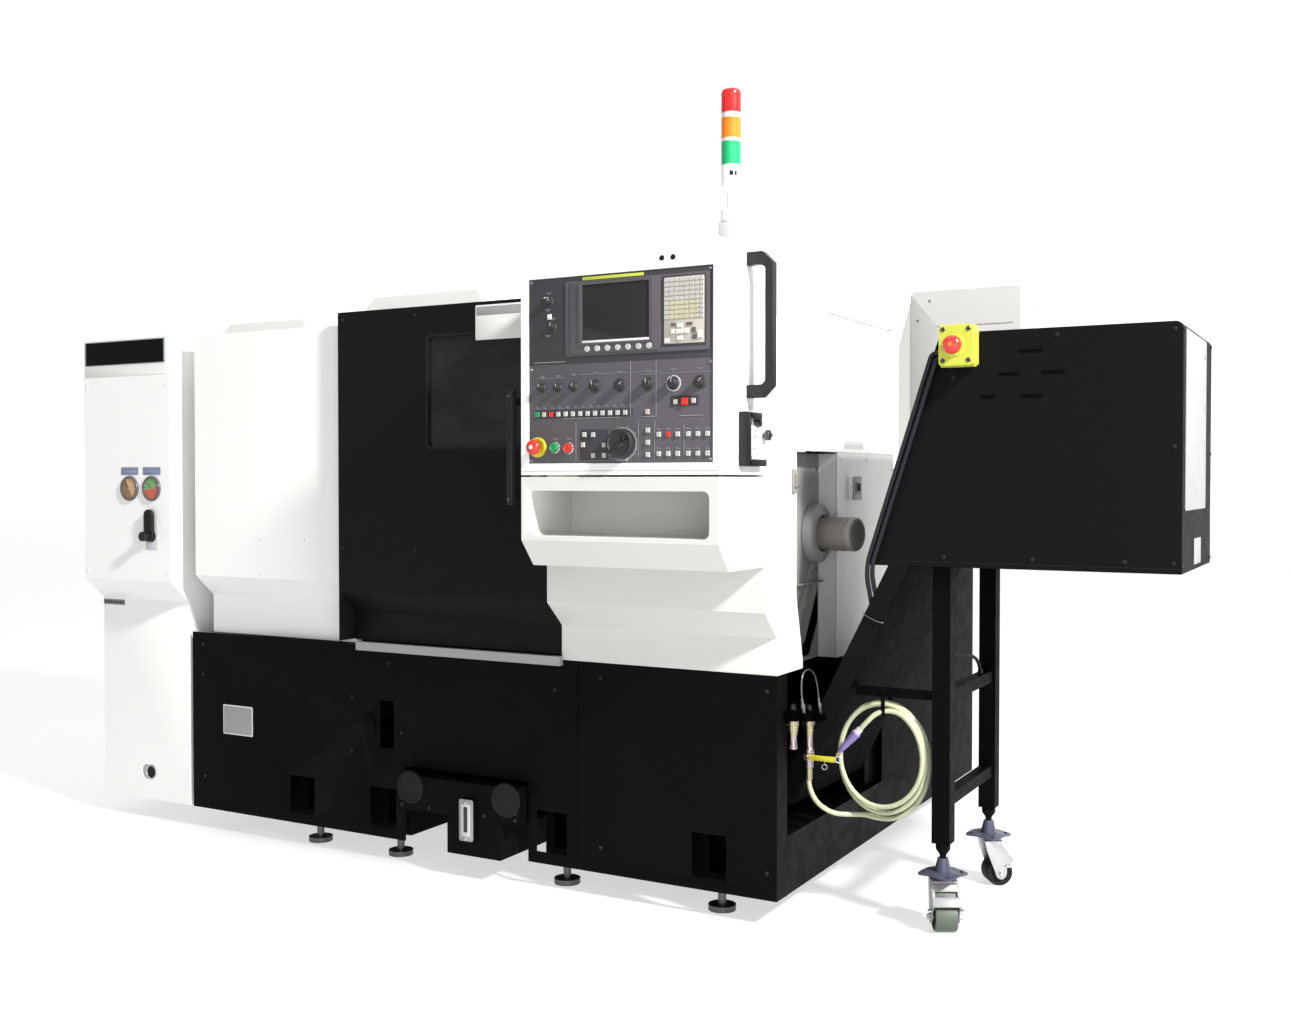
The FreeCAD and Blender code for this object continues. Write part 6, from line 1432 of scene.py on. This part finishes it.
def caster_set(name, band, cheeks):
    """A fork with flared cheeks and a slotted brake pedal, and a broad wheel in it."""
    x, y, swing = STEM[name]
    turn = Matrix.Translation((x, y, 0)) @ Matrix.Rotation(math.radians(swing), 4, "Z")
    fork = Maker("caster_" + name + "_fork")
    fork.warp = lambda place: Vector((place.x, place.y * (1 + 0.0011 * (140 - place.z)), place.z))
    fork.turned([(0, 149.7), (25, 149.7), (26, 147), (26, 143), (23.5, 140), (23.5, 137), (0, 136)],
                (0, 0, 0), UP, zinc, 40)
    crown = [(-23, -30), (-16, -36), (26, -36), (34, -30), (34, 30), (26, 36), (-16, 36), (-23, 30)]
    fork.slab(crown, 4.5, cheeks, (0, 0, 133.5), (1, 0, 0), (0, 1, 0), 1.2)
    cheek = [(-23, 137), (-18, 112), (-6, 80), (8, 42), (12, 30), (19, 24), (27, 22), (34, 24),
             (41, 30), (44, 40), (45, 56), (58, 70), (64, 75), (64, 79), (34, 121), (27, 137)]
    for base in (-31.5, 35.5):
        fork.slab(cheek, 4, cheeks, (0, base, 0), (1, 0, 0), (0, 0, 1), 1.1)
    slope = Vector((32, 0, -44)).normalized()
    for start, end, half_in, half_out in ((-14, 12, 0, 37), (28, 55, 0, 37), (11, 29, 29, 37)):
        for side in ((-1, 1) if half_in else (1,)):
            low = side * half_in if half_in else -half_out
            high = side * half_out
            low, high = min(low, high), max(low, high)
            fork.slab([(start, low), (end, low), (end, high), (start, high)], 3.6, cheeks,
                      (30.6, 0, 120), slope, (0, 1, 0), 1.2)
    fork.slab([(10, -30), (30, -30), (30, 30), (10, 30)], 2.0, tread, (26, 0, 117), slope,
              (0, 1, 0), 0.6)
    for side in (-1, 1):
        fork.turned([(10, 0), (10, 2), (8.6, 2.4), (8.6, 7), (7.6, 8), (0, 8)],
                    (26, side * 35.5, 40), (0, side, 0), zinc, 6)
        fork.block((40, side * 41.5 - 4.5, 60), (54, side * 41.5 + 4.5, 65), zinc, 1.4)
    fork.turned([(5, -35), (5, 35)], (26, 0, 40), (0, 1, 0), zinc, 24)
    bmesh.ops.transform(fork.shape, matrix=turn, verts=fork.shape.verts)
    fork.settle("fork_" + name, "zinc_steel", ("caster_fork_" + name,))
    wheel = Maker("caster_" + name + "_wheel")
    wheel.turned([(5.4, -29), (13, -29.6), (15, -27), (22, -26.4), (26, -28), (30, -30),
                  (36.8, -30), (36.8, 30), (30, 30), (26, 28), (22, 26.4), (15, 27), (13, 29.6),
                  (5.4, 29)], (26, 0, 40), (0, 1, 0), rubber, 64, hoop=True)
    wheel.turned([(35.8, -30.6), (38.4, -29.4), (40, -24), (40, 24), (38.4, 29.4), (35.8, 30.6)],
                 (26, 0, 40), (0, 1, 0), band, 64, hoop=True)
    bmesh.ops.transform(wheel.shape, matrix=turn, verts=wheel.shape.verts)
    wheel.settle("wheel_" + name, "wheel_rubber", ("caster_wheel_" + name,))


def diamond_plate(x, y):
    """A square plate with rounded, drooping corners that stands on one corner to the viewer."""
    part = bmesh.new()
    count = 13
    grid = []
    spin = Matrix.Rotation(math.radians(29), 2)
    for i in range(count):
        line = []
        for j in range(count):
            u, v = 2 * i / (count - 1) - 1, 2 * j / (count - 1) - 1
            tip = 1 - 0.10 * abs(u * v) ** 6
            aside = spin @ Vector(((u + v) / 2, (v - u) / 2)) * PLATE_REACH * tip
            rise = PLATE_LOW + 6 - 4.5 * abs(u * v) + 6 * math.exp(-(u * u + v * v) * 5)
            line.append(part.verts.new((x + aside.x, y + aside.y, rise)))
        grid.append(line)
    for i in range(count - 1):
        for j in range(count - 1):
            part.faces.new([grid[i][j], grid[i][j + 1], grid[i + 1][j + 1], grid[i + 1][j]])
    lower = bmesh.ops.extrude_face_region(part, geom=part.faces[:])
    moved = [item for item in lower["geom"] if isinstance(item, bmesh.types.BMVert)]
    for vert in moved:
        vert.co.z -= 4.5
    return part


def caster_plates():
    plates = Maker("caster_plates")
    for x, y, _ in STEM.values():
        plates.take(diamond_plate(x, y), blue_zinc)
        plates.turned([(24, 154), (22.5, 160), (20.5, 168), (17.5, 180), (15.5, 190), (14, 194),
                       (0, 194.4)], (x, y, 0), UP, blue_zinc, 40)
        plates.turned([(0, 192), (10, 192), (9, 197), (9.5, 203), (14, 210), (19, 217), (20, 222),
                       (20, 229), (17, 236.4), (0, 236.6)], (x, y, 0), UP, black, 32)
        for k in range(4):
            angle = math.radians(29 + 90 * k)
            plates.turned([(5.4, 0), (5.4, 3.4), (4, 4.6), (0, 4.8)],
                          (x + 52 * math.cos(angle), y + 52 * math.sin(angle), 152.6), UP,
                          dark_steel, 6)
    plates.settle("machine", "zinc_steel", ("caster_mounts",))


def leg_cable():
    """A black cable that leaves the front leg and bends down onto the high brace."""
    cable = Maker("leg_cable")
    cable.swept(smooth_path([(391, 261, 748), (391, 330, 742), (391, 410, 731), (391, 500, 719),
                             (391, 560, 702), (391, 592, 680), (391, 604, 654)], 24, 4), 5.0,
                rubber, 14)
    cable.turned([(8, 0), (8, 5), (7, 6), (7, 11), (6, 12)], (391, 260, 748), BACK, black_plastic,
                 24)
    cable.turned([(8.4, 0), (8.4, 5), (7.2, 6), (7.2, 12), (6, 13)], (391, 604, 653), UP,
                 black_plastic, 24)
    cable.settle("machine", "grey_rubber")


# ---------------------------------------------------------------- air fittings

def link_loop():
    """The thin bright tube that links the two blocks in an arch, with a ferrule at either end."""
    loop = Maker("air_link_loop")
    arch = [(57, 54, 590), (57, 45, 615), (57, 35, 640), (57, 33, 670), (57, 38, 692),
            (57, 55, 704), (57, 80, 707), (57, 110, 698), (57, 134, 679), (57, 149, 650),
            (57, 158, 617), (57, 166, 592), (57, 173, 570)]
    loop.swept(smooth_path(arch, 14, 4), 2.2, dull_zinc, 12)
    for low, high in (((57, 56, 580), (57, 36, 634)), ((57, 175, 566), (57, 157, 616))):
        way = (Vector(high) - Vector(low)).normalized()
        loop.turned([(4.4, 0), (4.4, 24), (6.6, 26), (6.8, 36), (5.4, 39), (4.2, 41), (3.6, 54),
                     (2.4, 56)], low, way, dull_zinc, 20)
    loop.settle("machine", "zinc_steel", ("air_manifold",))


def air_fittings():
    """The bracket, couplers, push rings and dark blocks of the two drops, and the valve."""
    drops = Maker("air_couplers")
    drops.block((10, 33, 560), (22, 180, 574), shade_black, 1.2)
    drops.block((-180, 80, 560), (12, 180, 572), shade_black, 1.2)
    drops.block((-180, 80, 425.4), (-168, 180, 573), shade_black, 1.2)
    x = 26
    for y, base in ((49, 568), (164, 550)):
        drops.block((x - 15, y - 16, base), (x + 15, y + 16, base + 30), shade_black, 3)
        drops.block((x + 13, y - 8, base + 2), (x + 44, y + 20, base + 20), shade_black, 3)
        drops.turned([(9, 0), (9, 8), (7, 10), (7, 14), (0, 14.6)], (x, y, base + 30), UP,
                     black_plastic, 24)
    drops.turned([(12, 569), (15.6, 567), (16, 558), (15, 556), (14.4, 543), (12.4, 538), (12, 530),
                  (11, 528)], (x, 49, 0), UP, brass, 40)
    drops.turned([(11, 529), (10.4, 527), (10.4, 508), (11, 506), (12.4, 498), (13, 491), (11, 489),
                  (0, 489)], (x, 49, 0), UP, rose_nickel, 32)
    drops.turned([(13, 551), (17.4, 549), (17.6, 538), (15.6, 535), (15, 522), (14, 514),
                  (13, 508)], (x, 164, 0), UP, brass, 40)
    drops.turned([(13, 509), (12.4, 506), (12.4, 474), (14.6, 471), (15.4, 466), (15.4, 440),
                  (13.4, 436), (12.4, 432), (12.4, 418), (10, 416)], (x, 164, 0), UP, rose_nickel,
                 40)
    drops.turned([(10.4, 417), (9.6, 414), (9.6, 386), (8.4, 383), (0, 383)], (x, 164, 0), UP,
                 brass, 32)
    for k in range(8):
        angle = math.pi / 4 * k
        for y, low, high, reach in ((49, 556, 566, 15.4), (164, 538, 548, 17)):
            drops.block((x + reach * math.cos(angle) - 1.4, y + reach * math.sin(angle) - 1.4, low),
                        (x + reach * math.cos(angle) + 1.4, y + reach * math.sin(angle) + 1.4,
                         high), brass, 0.6)
    drops.turned([(9.6, 0), (9.6, 4), (7.6, 7), (0, 7.4)], (x, 149, 453), FRONT, rose_nickel, 6)
    drops.settle("machine", "brass_fitting")
    lever = Maker("air_valve_lever_grip")
    lever.slab([(-9, -7), (9, -8), (14, -7), (86, -8), (88, 0), (86, 8), (14, 7), (9, 8), (-9, 7)],
               3.6, yellow_plastic, (26, 146.6, 450), (1, 0, 0), (0, 0, 1), 1.0)
    lever.plate((24, -6, 80, 6, 5), 1.0, yellow_plastic, (26, 143.4, 450), FRONT, 0.4)
    lever.turned([(10, 0), (10, 2.4), (8, 5), (0, 5.4)], (26, 143.6, 450), FRONT, rose_nickel, 8)
    lever.turned([(7.4, -1.6), (8.6, -2.2), (9.8, -1.6), (9.8, 1.6), (8.6, 2.2), (7.4, 1.6)],
                 (121, 146, 452), (0.4, -1, 0), key_white, 32, hoop=True)
    lever.turned([(6.2, -1.2), (7, -1.6), (8, -1.2), (8, 1.2), (7, 1.6), (6.2, 1.2)],
                 (80, 146, 427), (0.3, -1, 0), zinc, 32, hoop=True)
    lever.swept([(80, 146, 434), (81, 146, 440), (82, 146, 446)], 1.0, zinc, 8)
    lever.settle("air_valve", "yellow_paint", ("air_valve_lever",))


def air_gun():
    """The blow gun that the hose ends in: a pale collar, a ribbed purple grip and a thin nozzle."""
    start = GUN_START / MM - SHIFT
    gun = Maker("air_blow_gun")
    gun.turned([(8.2, -2), (9.4, 0), (9.6, 12), (10.6, 14), (0, 14)], start, GUN_WAY, collar_pale,
               32)
    profile = [(11.8, 14), (12.9, 16)]
    for step in range(10):
        low = 18 + step * 6.2
        wide = 12.9 - step * 0.56
        profile += [(wide, low), (wide, low + 3.6),
                    (wide - 0.8, low + 4.4), (wide - 0.8, low + 5.6)]
    profile += [(6.6, 82), (6.4, 90), (4.6, 92), (0, 92)]
    gun.turned(profile, start, GUN_WAY, purple, 32)
    gun.turned([(3.8, 91), (3.8, 100), (3.0, 107), (1.6, 108), (0, 108)], start, GUN_WAY, brass, 20)
    return gun.settle("machine", "purple_plastic", ("air_gun",))


conveyor_details()
estop_box()
ribbed_conduits()
caster_plates()
leg_cable()
caster_set("front", tread, silver_paint)
# Painted shade: the rear caster is the same as the front one; its band is black rubber in place of
# the green-grey tread, and its fork zinc in place of silver paint, to give it the shade it stands
# in.
caster_set("rear", rubber, zinc)
link_loop()
air_fittings()
gun = air_gun()


# ---------------------------------------------------------------- rear, roof and left end

REAR_FACE, UPPER_REAR_FACE, CABINET_BACK, SKIRT_BACK = 1400, 964, 1700, 1930
LEFT_END, ROOF = -2700, 1725


def outline_seam(maker, left, low, right, high, y, material, wide=3.0):
    """A shut line around a door or hatch on a face that looks back."""
    for start, end in (((left, low), (right, low + wide)), ((left, high - wide), (right, high)),
                       ((left, low), (left + wide, high)), ((right - wide, low), (right, high))):
        maker.block((start[0], y - 0.8, start[1]), (end[0], y + 0.7, end[1]), material, 0.2)


def rear_details():
    seams = Maker("rear_door_seams")
    vents = []
    fixings = []
    for left, right in ((-2620, -1860), (-1820, -1060), (-1020, -260)):
        outline_seam(seams, left, 735, right, 1258, REAR_FACE, recess_grey)
        middle, wide = (left + right) / 2, right - left - 360
        vents += [((middle, REAR_FACE + 0.6, 830 + 26 * step), (wide, 2.0, 9)) for step in range(9)]
        fixings += [((x, REAR_FACE, z), BACK) for x in (left + 24, right - 24) for z in (762, 1231)]
    for left, right in ((-2215, -1640), (-1610, -1035), (-1005, -430)):
        outline_seam(seams, left, 1345, right, 1680, UPPER_REAR_FACE, recess_grey)
        fixings += [((x, UPPER_REAR_FACE, z), BACK)
                    for x in (left + 24, (left + right) / 2, right - 24) for z in (1369, 1656)]
    seams.settle("machine", "grey_paint")
    # Painted shade: near-black bars for the shade in the louvre slots.
    bars("rear_louvres", vents, "machine", slot_shade_black)
    lips = [((x, REAR_FACE + 2.4, z + 7), (wide + 10, 5.0, 3)) for (x, _, z), (wide, _, _) in vents]
    bars("rear_louvre_lips", lips, "machine", white)
    screws("rear_screws", fixings, "machine", 6, 3, zinc)
    latches = Maker("rear_latches")
    for x in (-1914, -1114, -314):
        latches.plate((-16, -34, 16, 34, 8), 4, black_plastic, (x, REAR_FACE, 1140), BACK, 1.0)
        latches.turned([(10, 0), (10, 3), (8, 5), (0, 5.2)], (x, REAR_FACE + 4, 1156), BACK,
                       zinc, 32)
        latches.plate((-7, -24, 7, 4, 5), 4, black_plastic, (x, REAR_FACE + 4, 1136), BACK, 1.4)
    latches.settle("machine", "black_plastic")
    hinges = Maker("rear_hinges")
    for x in (-2606, -1806, -1006):
        for z in (800, 1130):
            hinges.turned([(6, 0), (7, 1), (7, 58), (6, 59)], (x, REAR_FACE + 4, z), UP, zinc, 20)
            hinges.block((x - 4, REAR_FACE - 0.4, z + 4), (x + 30, REAR_FACE + 2.6, z + 55), zinc,
                         0.8)
    hinges.settle("machine", "zinc_steel")


def cabinet_details():
    seams = Maker("cabinet_seams")
    outline_seam(seams, -90, 1120, 285, 1820, CABINET_BACK, warm_grey)
    seams.block((-130.7, 1440, 1180), (-129.4, 1660, 1183), warm_grey, 0.2)
    seams.settle("machine", "grey_paint")
    # Painted shadow: a thin grey slab with a sloping top stands for the cast shadow on the
    # cabinet's front; the line and the two screws on it are real parts.
    bevel = Maker("cabinet_bevel")
    bevel.slab([(-87, 1902), (15, 1778), (15, 1120), (-87, 1120)], 1.2, painted_shadow_grey, (0, 1400, 0),
               (1, 0, 0), (0, 0, 1), 0.4)
    bevel.block((15, 1398.8, 1778), (284, 1399.8, 1781), warm_grey, 0.2)
    for x, z in ((-59, 1804), (-15, 1873)):
        bevel.turned([(3.6, 0), (3.6, 1.4), (2.6, 2.0), (0, 2.0)], (x, 1399, z), FRONT, dark_steel,
                     16)
    bevel.settle("machine", "grey_paint")
    door = Maker("cabinet_latches")
    for z in (1220, 1700):
        door.plate((-14, -30, 14, 30, 7), 4, black_plastic, (250, CABINET_BACK, z), BACK, 1.0)
        door.turned([(9, 0), (9, 3), (7, 4.6), (0, 4.8)], (250, CABINET_BACK + 4, z + 10), BACK,
                    zinc, 32)
    door.settle("machine", "black_plastic")
    hinges = Maker("cabinet_hinges")
    for z in (1200, 1460, 1720):
        hinges.turned([(6, 0), (7, 1), (7, 52), (6, 53)], (-92, CABINET_BACK + 4, z), UP, zinc, 20)
        hinges.block((-90, CABINET_BACK - 0.4, z + 4), (-60, CABINET_BACK + 2.4, z + 49), zinc, 0.8)
    hinges.settle("machine", "zinc_steel")
    # Painted shade: near-black bars for the shade in the cabinet's louvre slots.
    rows = [((100, CABINET_BACK + 0.6, 1180 + 24 * step), (190, 2.0, 8)) for step in range(8)]
    bars("cabinet_louvres", rows, "machine", slot_shade_black)
    side = [((311.4, 1550, 1200 + 24 * step), (2.0, 150, 8)) for step in range(8)]
    bars("cabinet_side_louvres", side, "machine", slot_shade_black)
    screws("cabinet_screws", [((311, y, z), RIGHT) for y in (1430, 1670) for z in (1120, 1870)],
           "machine", 6, 2.6, zinc)


def roof_details():
    seams = Maker("roof_seams")
    for x in (-1490, -700, -404):
        seams.block((x - 1.5, 0, ROOF - 0.8), (x + 1.5, 955, ROOF + 0.8), recess_grey, 0.2)
    seams.block((-2255, 958, ROOF - 0.8), (0, 960.6, ROOF + 0.8), recess_grey, 0.2)
    seams.settle("machine", "grey_paint")
    screws("roof_screws", [((x, y, ROOF), UP) for x in (-2220, -1880, -1520, -1460, -1080, -730)
                           for y in (620, 930)], "machine", 7, 3, zinc)
    eyes = Maker("roof_lifting_plugs")
    for x in (-2150, -760):
        for y in (700, 880):
            eyes.turned([(24, 0), (24, 3), (22, 5), (12, 6), (0, 6)], (x, y, ROOF), UP,
                        black_plastic, 40)
            eyes.turned([(8, 5), (8, 7.4), (0, 7.4)], (x, y, ROOF), UP, rubber, 6)
    eyes.settle("machine", "black_plastic")


def left_end_details():
    """The service door, vents, locks and hinges on the end away from the camera."""
    seams = Maker("left_end_seams")
    for y, low, high in ((60, 140, 1660), (820, 140, 1660)):
        seams.block((LEFT_END - 0.7, y, low), (LEFT_END + 0.8, y + 3, high), recess_grey, 0.2)
    for z in (140, 1657):
        seams.block((LEFT_END - 0.7, 60, z), (LEFT_END + 0.8, 823, z + 3), recess_grey, 0.2)
    seams.settle("machine", "grey_paint")
    # Painted shade: near-black bars for the shade in the louvre slots.
    vents = [((LEFT_END - 0.6, 440, z), (2.0, 460, 9)) for z in range(240, 480, 26)]
    vents += [((LEFT_END - 0.6, 440, z), (2.0, 460, 9)) for z in range(1400, 1580, 26)]
    bars("left_end_louvres", vents, "machine", slot_shade_black)
    lips = [((LEFT_END - 2.4, 440, z + 7), (5.0, 470, 3)) for (_, _, z), _ in vents]
    bars("left_end_louvre_lips", lips, "machine", white)
    lock = Maker("left_end_locks")
    for z in (420, 900, 1380):
        lock.plate((-13, -26, 13, 26, 7), 4, black_plastic, (LEFT_END, 790, z), LEFT, 1.0)
        lock.turned([(8, 0), (8, 2.6), (6, 4), (0, 4.2)], (LEFT_END - 4, 790, z + 8), LEFT, zinc,
                    32)
    lock.settle("machine", "black_plastic")
    hinges = Maker("left_end_hinges")
    for z in (300, 880, 1460):
        hinges.turned([(6, 0), (7, 1), (7, 58), (6, 59)], (LEFT_END - 4, 60, z), UP, zinc, 20)
        hinges.block((LEFT_END - 2.6, 62, z + 4), (LEFT_END + 0.4, 92, z + 55), zinc, 0.8)
    hinges.settle("machine", "zinc_steel")
    spots = ((930, 160), (930, 700), (930, 1240), (930, 1680), (30, 160), (30, 700),
             (-50, 1000), (-50, 1680))
    screws("left_end_screws", [((LEFT_END, y, z), LEFT) for y, z in spots],
           "machine", 6, 3, white)
    front = [((x, -80, z), FRONT) for x in (-2682, -2274) for z in (1560, 900)]
    screws("end_cover_front_screws", front, "machine", 4.5, 2, white)


def skirt_rear_details():
    blanks = Maker("skirt_rear_covers")
    for left in (-2100, -1400, -700):
        blanks.plate((0, 0, 420, 220, 10), 2.4, black, (left + 420, SKIRT_BACK, 200), BACK, 0.8)
    blanks.settle("machine", "black_paint")
    spots = [((left + dx, SKIRT_BACK + 2.4, z), BACK)
             for left in (-2100, -1400, -700) for dx in (18, 402) for z in (218, 402)]
    screws("skirt_rear_screws", spots, "machine", 6, 3, dark_steel)


# ---------------------------------------------------------------- door and inside

def door_details():
    seal = Maker("door_edge_strips")
    seal.block((-1490.6, -79, 712), (-1487.4, 20, 1757), rubber, 0.8)
    seal.settle("door", "black_plastic")
    feet = Maker("door_handle_feet")
    for z in (1172, 1470):
        feet.turned([(13, 0), (13, 3), (11, 5), (9, 6)], (-770, COVER_FACE, z), FRONT,
                    black_plastic, 32)
        feet.turned([(5, 0), (5, 2.2), (3.6, 3.2), (0, 3.4)], (-770, -164, z), FRONT, dark_steel,
                    20)
    feet.settle("door", "black_plastic")
    spots = [((x, COVER_FACE, z), FRONT) for x in (-1470, -1180) for z in (1735, 1010)]
    screws("door_screws", spots, "door", 5.5, 2.4, black_plastic)


TURRET_FACE, TURRET_Y, TURRET_Z = -1050, 586, 1216
CHUCK_FACE, SPINDLE_Y, SPINDLE_Z = -1430, 430, 1060


def around(count, middle_y, middle_z, reach, start=0):
    """Places round an axis along X, given by how far along y and z."""
    for step in range(count):
        angle = math.radians(start + 360 * step / count)
        yield middle_y + reach * math.cos(angle), middle_z + reach * math.sin(angle)


def turret_details():
    """Wedge clamps around the turret's rim and the cap and bolts on its face."""
    clamps = Maker("turret_tool_clamps")
    for step in range(12):
        turn = Matrix.Rotation(math.radians(30 * step), 3, "X")
        for low, high, material in (((-1046, 548, 1388), (-1026, 624, 1397), dark_steel),
                                    ((-1022, 556, 1388), (-1004, 616, 1393), ground)):
            clamps.block(low, high, material, 2, turn, (0, TURRET_Y, TURRET_Z))
    clamps.settle("turret", "zinc_steel")
    middle = (TURRET_FACE, TURRET_Y, TURRET_Z)
    cap = Maker("turret_cap")
    cap.turned([(62, 0), (62, 3), (58, 5), (30, 5.6), (28, 7), (0, 7.4)], middle, LEFT, ground, 64)
    cap.turned([(150, 0), (150, 1.4), (146, 2), (142, 1.4), (142, 0)], middle, LEFT, dark_steel, 96,
               hoop=True)
    cap.settle("turret", "zinc_steel")
    screws("turret_screws",
           [((TURRET_FACE, y, z), LEFT) for y, z in around(12, TURRET_Y, TURRET_Z, 112)]
           + [((TURRET_FACE - 5, y, z), LEFT) for y, z in around(6, TURRET_Y, TURRET_Z, 46)],
           "turret", 8, 4, dark_steel)


def chuck_details():
    face = Maker("chuck_face_rings")
    face.turned([(36, -1), (36, 0.8), (34.4, 1.2), (33, 0.8), (33, -1)],
                (CHUCK_FACE, SPINDLE_Y, SPINDLE_Z), RIGHT, dark_steel, 72, hoop=True)
    face.settle("work_spindle", "dark_steel")
    bolts = [((CHUCK_FACE, y, z), RIGHT) for jaw in range(3) for start in (12, 48)
             for y, z in around(1, SPINDLE_Y, SPINDLE_Z, 80, start + 120 * jaw)]
    screws("chuck_bolts", bolts, "work_spindle", 8, 4, dark_steel)
    for index in (1, 2, 3):
        low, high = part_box("chuck_jaw_" + str(index))
        front = max(low[0], high[0]) / MM - SHIFT.x
        places = [((front, y, z), RIGHT) for reach in (58, 78)
                  for y, z in around(1, SPINDLE_Y, SPINDLE_Z, reach, 120 * index - 30)]
        screws("jaw_screws_" + str(index), places, "jaw_" + str(index), 6.5, 4, dark_steel)


def tail_details():
    low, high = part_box("tailstock_quill")
    tip = min(low[0], high[0]) / MM - SHIFT.x
    middle_y = (low[1] + high[1]) / 2 / MM - SHIFT.y
    middle_z = (low[2] + high[2]) / 2 / MM - SHIFT.z
    rings = Maker("quill_centre_rings")
    for back in (58, 66):
        rings.turned([(30.4, 0), (30.4, 3), (27, 3), (27, 0)], (tip + back, middle_y, middle_z),
                     RIGHT, dark_steel, 48, hoop=True)
    rings.settle("quill", "dark_steel")


turret_details()
chuck_details()
tail_details()
door_details()
rear_details()
cabinet_details()
roof_details()
left_end_details()
skirt_rear_details()


# ---------------------------------------------------------------- studio

def studio():
    world = bpy.data.worlds.new("studio_air")
    world.use_nodes = True
    sky = world.node_tree.nodes["Background"]
    sky.inputs["Color"].default_value = (1.0, 1.0, 1.0, 1)
    sky.inputs["Strength"].default_value = 0.42
    bpy.context.scene.world = world
    for name, half, place, lean, glow in (("studio_floor", 34, (0, 0, 0), 0, 0.62),
                                          ("studio_wall", 60, (0, 30, 50), 90, 1.0)):
        tint = coat(name + "_paint", (0.35, 0.35, 0.35), 3.0, 0.02, 0.03, 0.6, 0.7,
                    Emission_Color=(1.0, 1.0, 1.0, 1.0), Emission_Strength=glow)
        shape = bmesh.new()
        bmesh.ops.create_grid(shape, x_segments=1, y_segments=1, size=half)
        bmesh.ops.rotate(shape, verts=shape.verts,
                         matrix=Matrix.Rotation(math.radians(lean), 3, "X"))
        bmesh.ops.translate(shape, verts=shape.verts, vec=place)
        mesh = bpy.data.meshes.new(name)
        shape.to_mesh(mesh)
        shape.free()
        mesh.materials.append(tint)
        placed(name, mesh)
    for name, place, turn, size, power, tint in (
            ("key_lamp", (5.6, -2.0, 5.4), (57, 0, 67), 0.6, 1150, (1.0, 0.99, 0.975)),
            ("fill_lamp", (3.6, -5.2, 1.7), (84, 0, 36), 3.4, 105, (0.97, 0.985, 1.0)),
            ("top_lamp", (-0.6, 0.2, 5.8), (0, 0, 0), 4.4, 60, (1, 1, 1))):
        light = bpy.data.lights.new(name, "AREA")
        light.energy = power
        light.size = size
        light.color = tint
        lamp = placed(name, light)
        lamp.location = place
        lamp.rotation_euler = [math.radians(angle) for angle in turn]


studio()
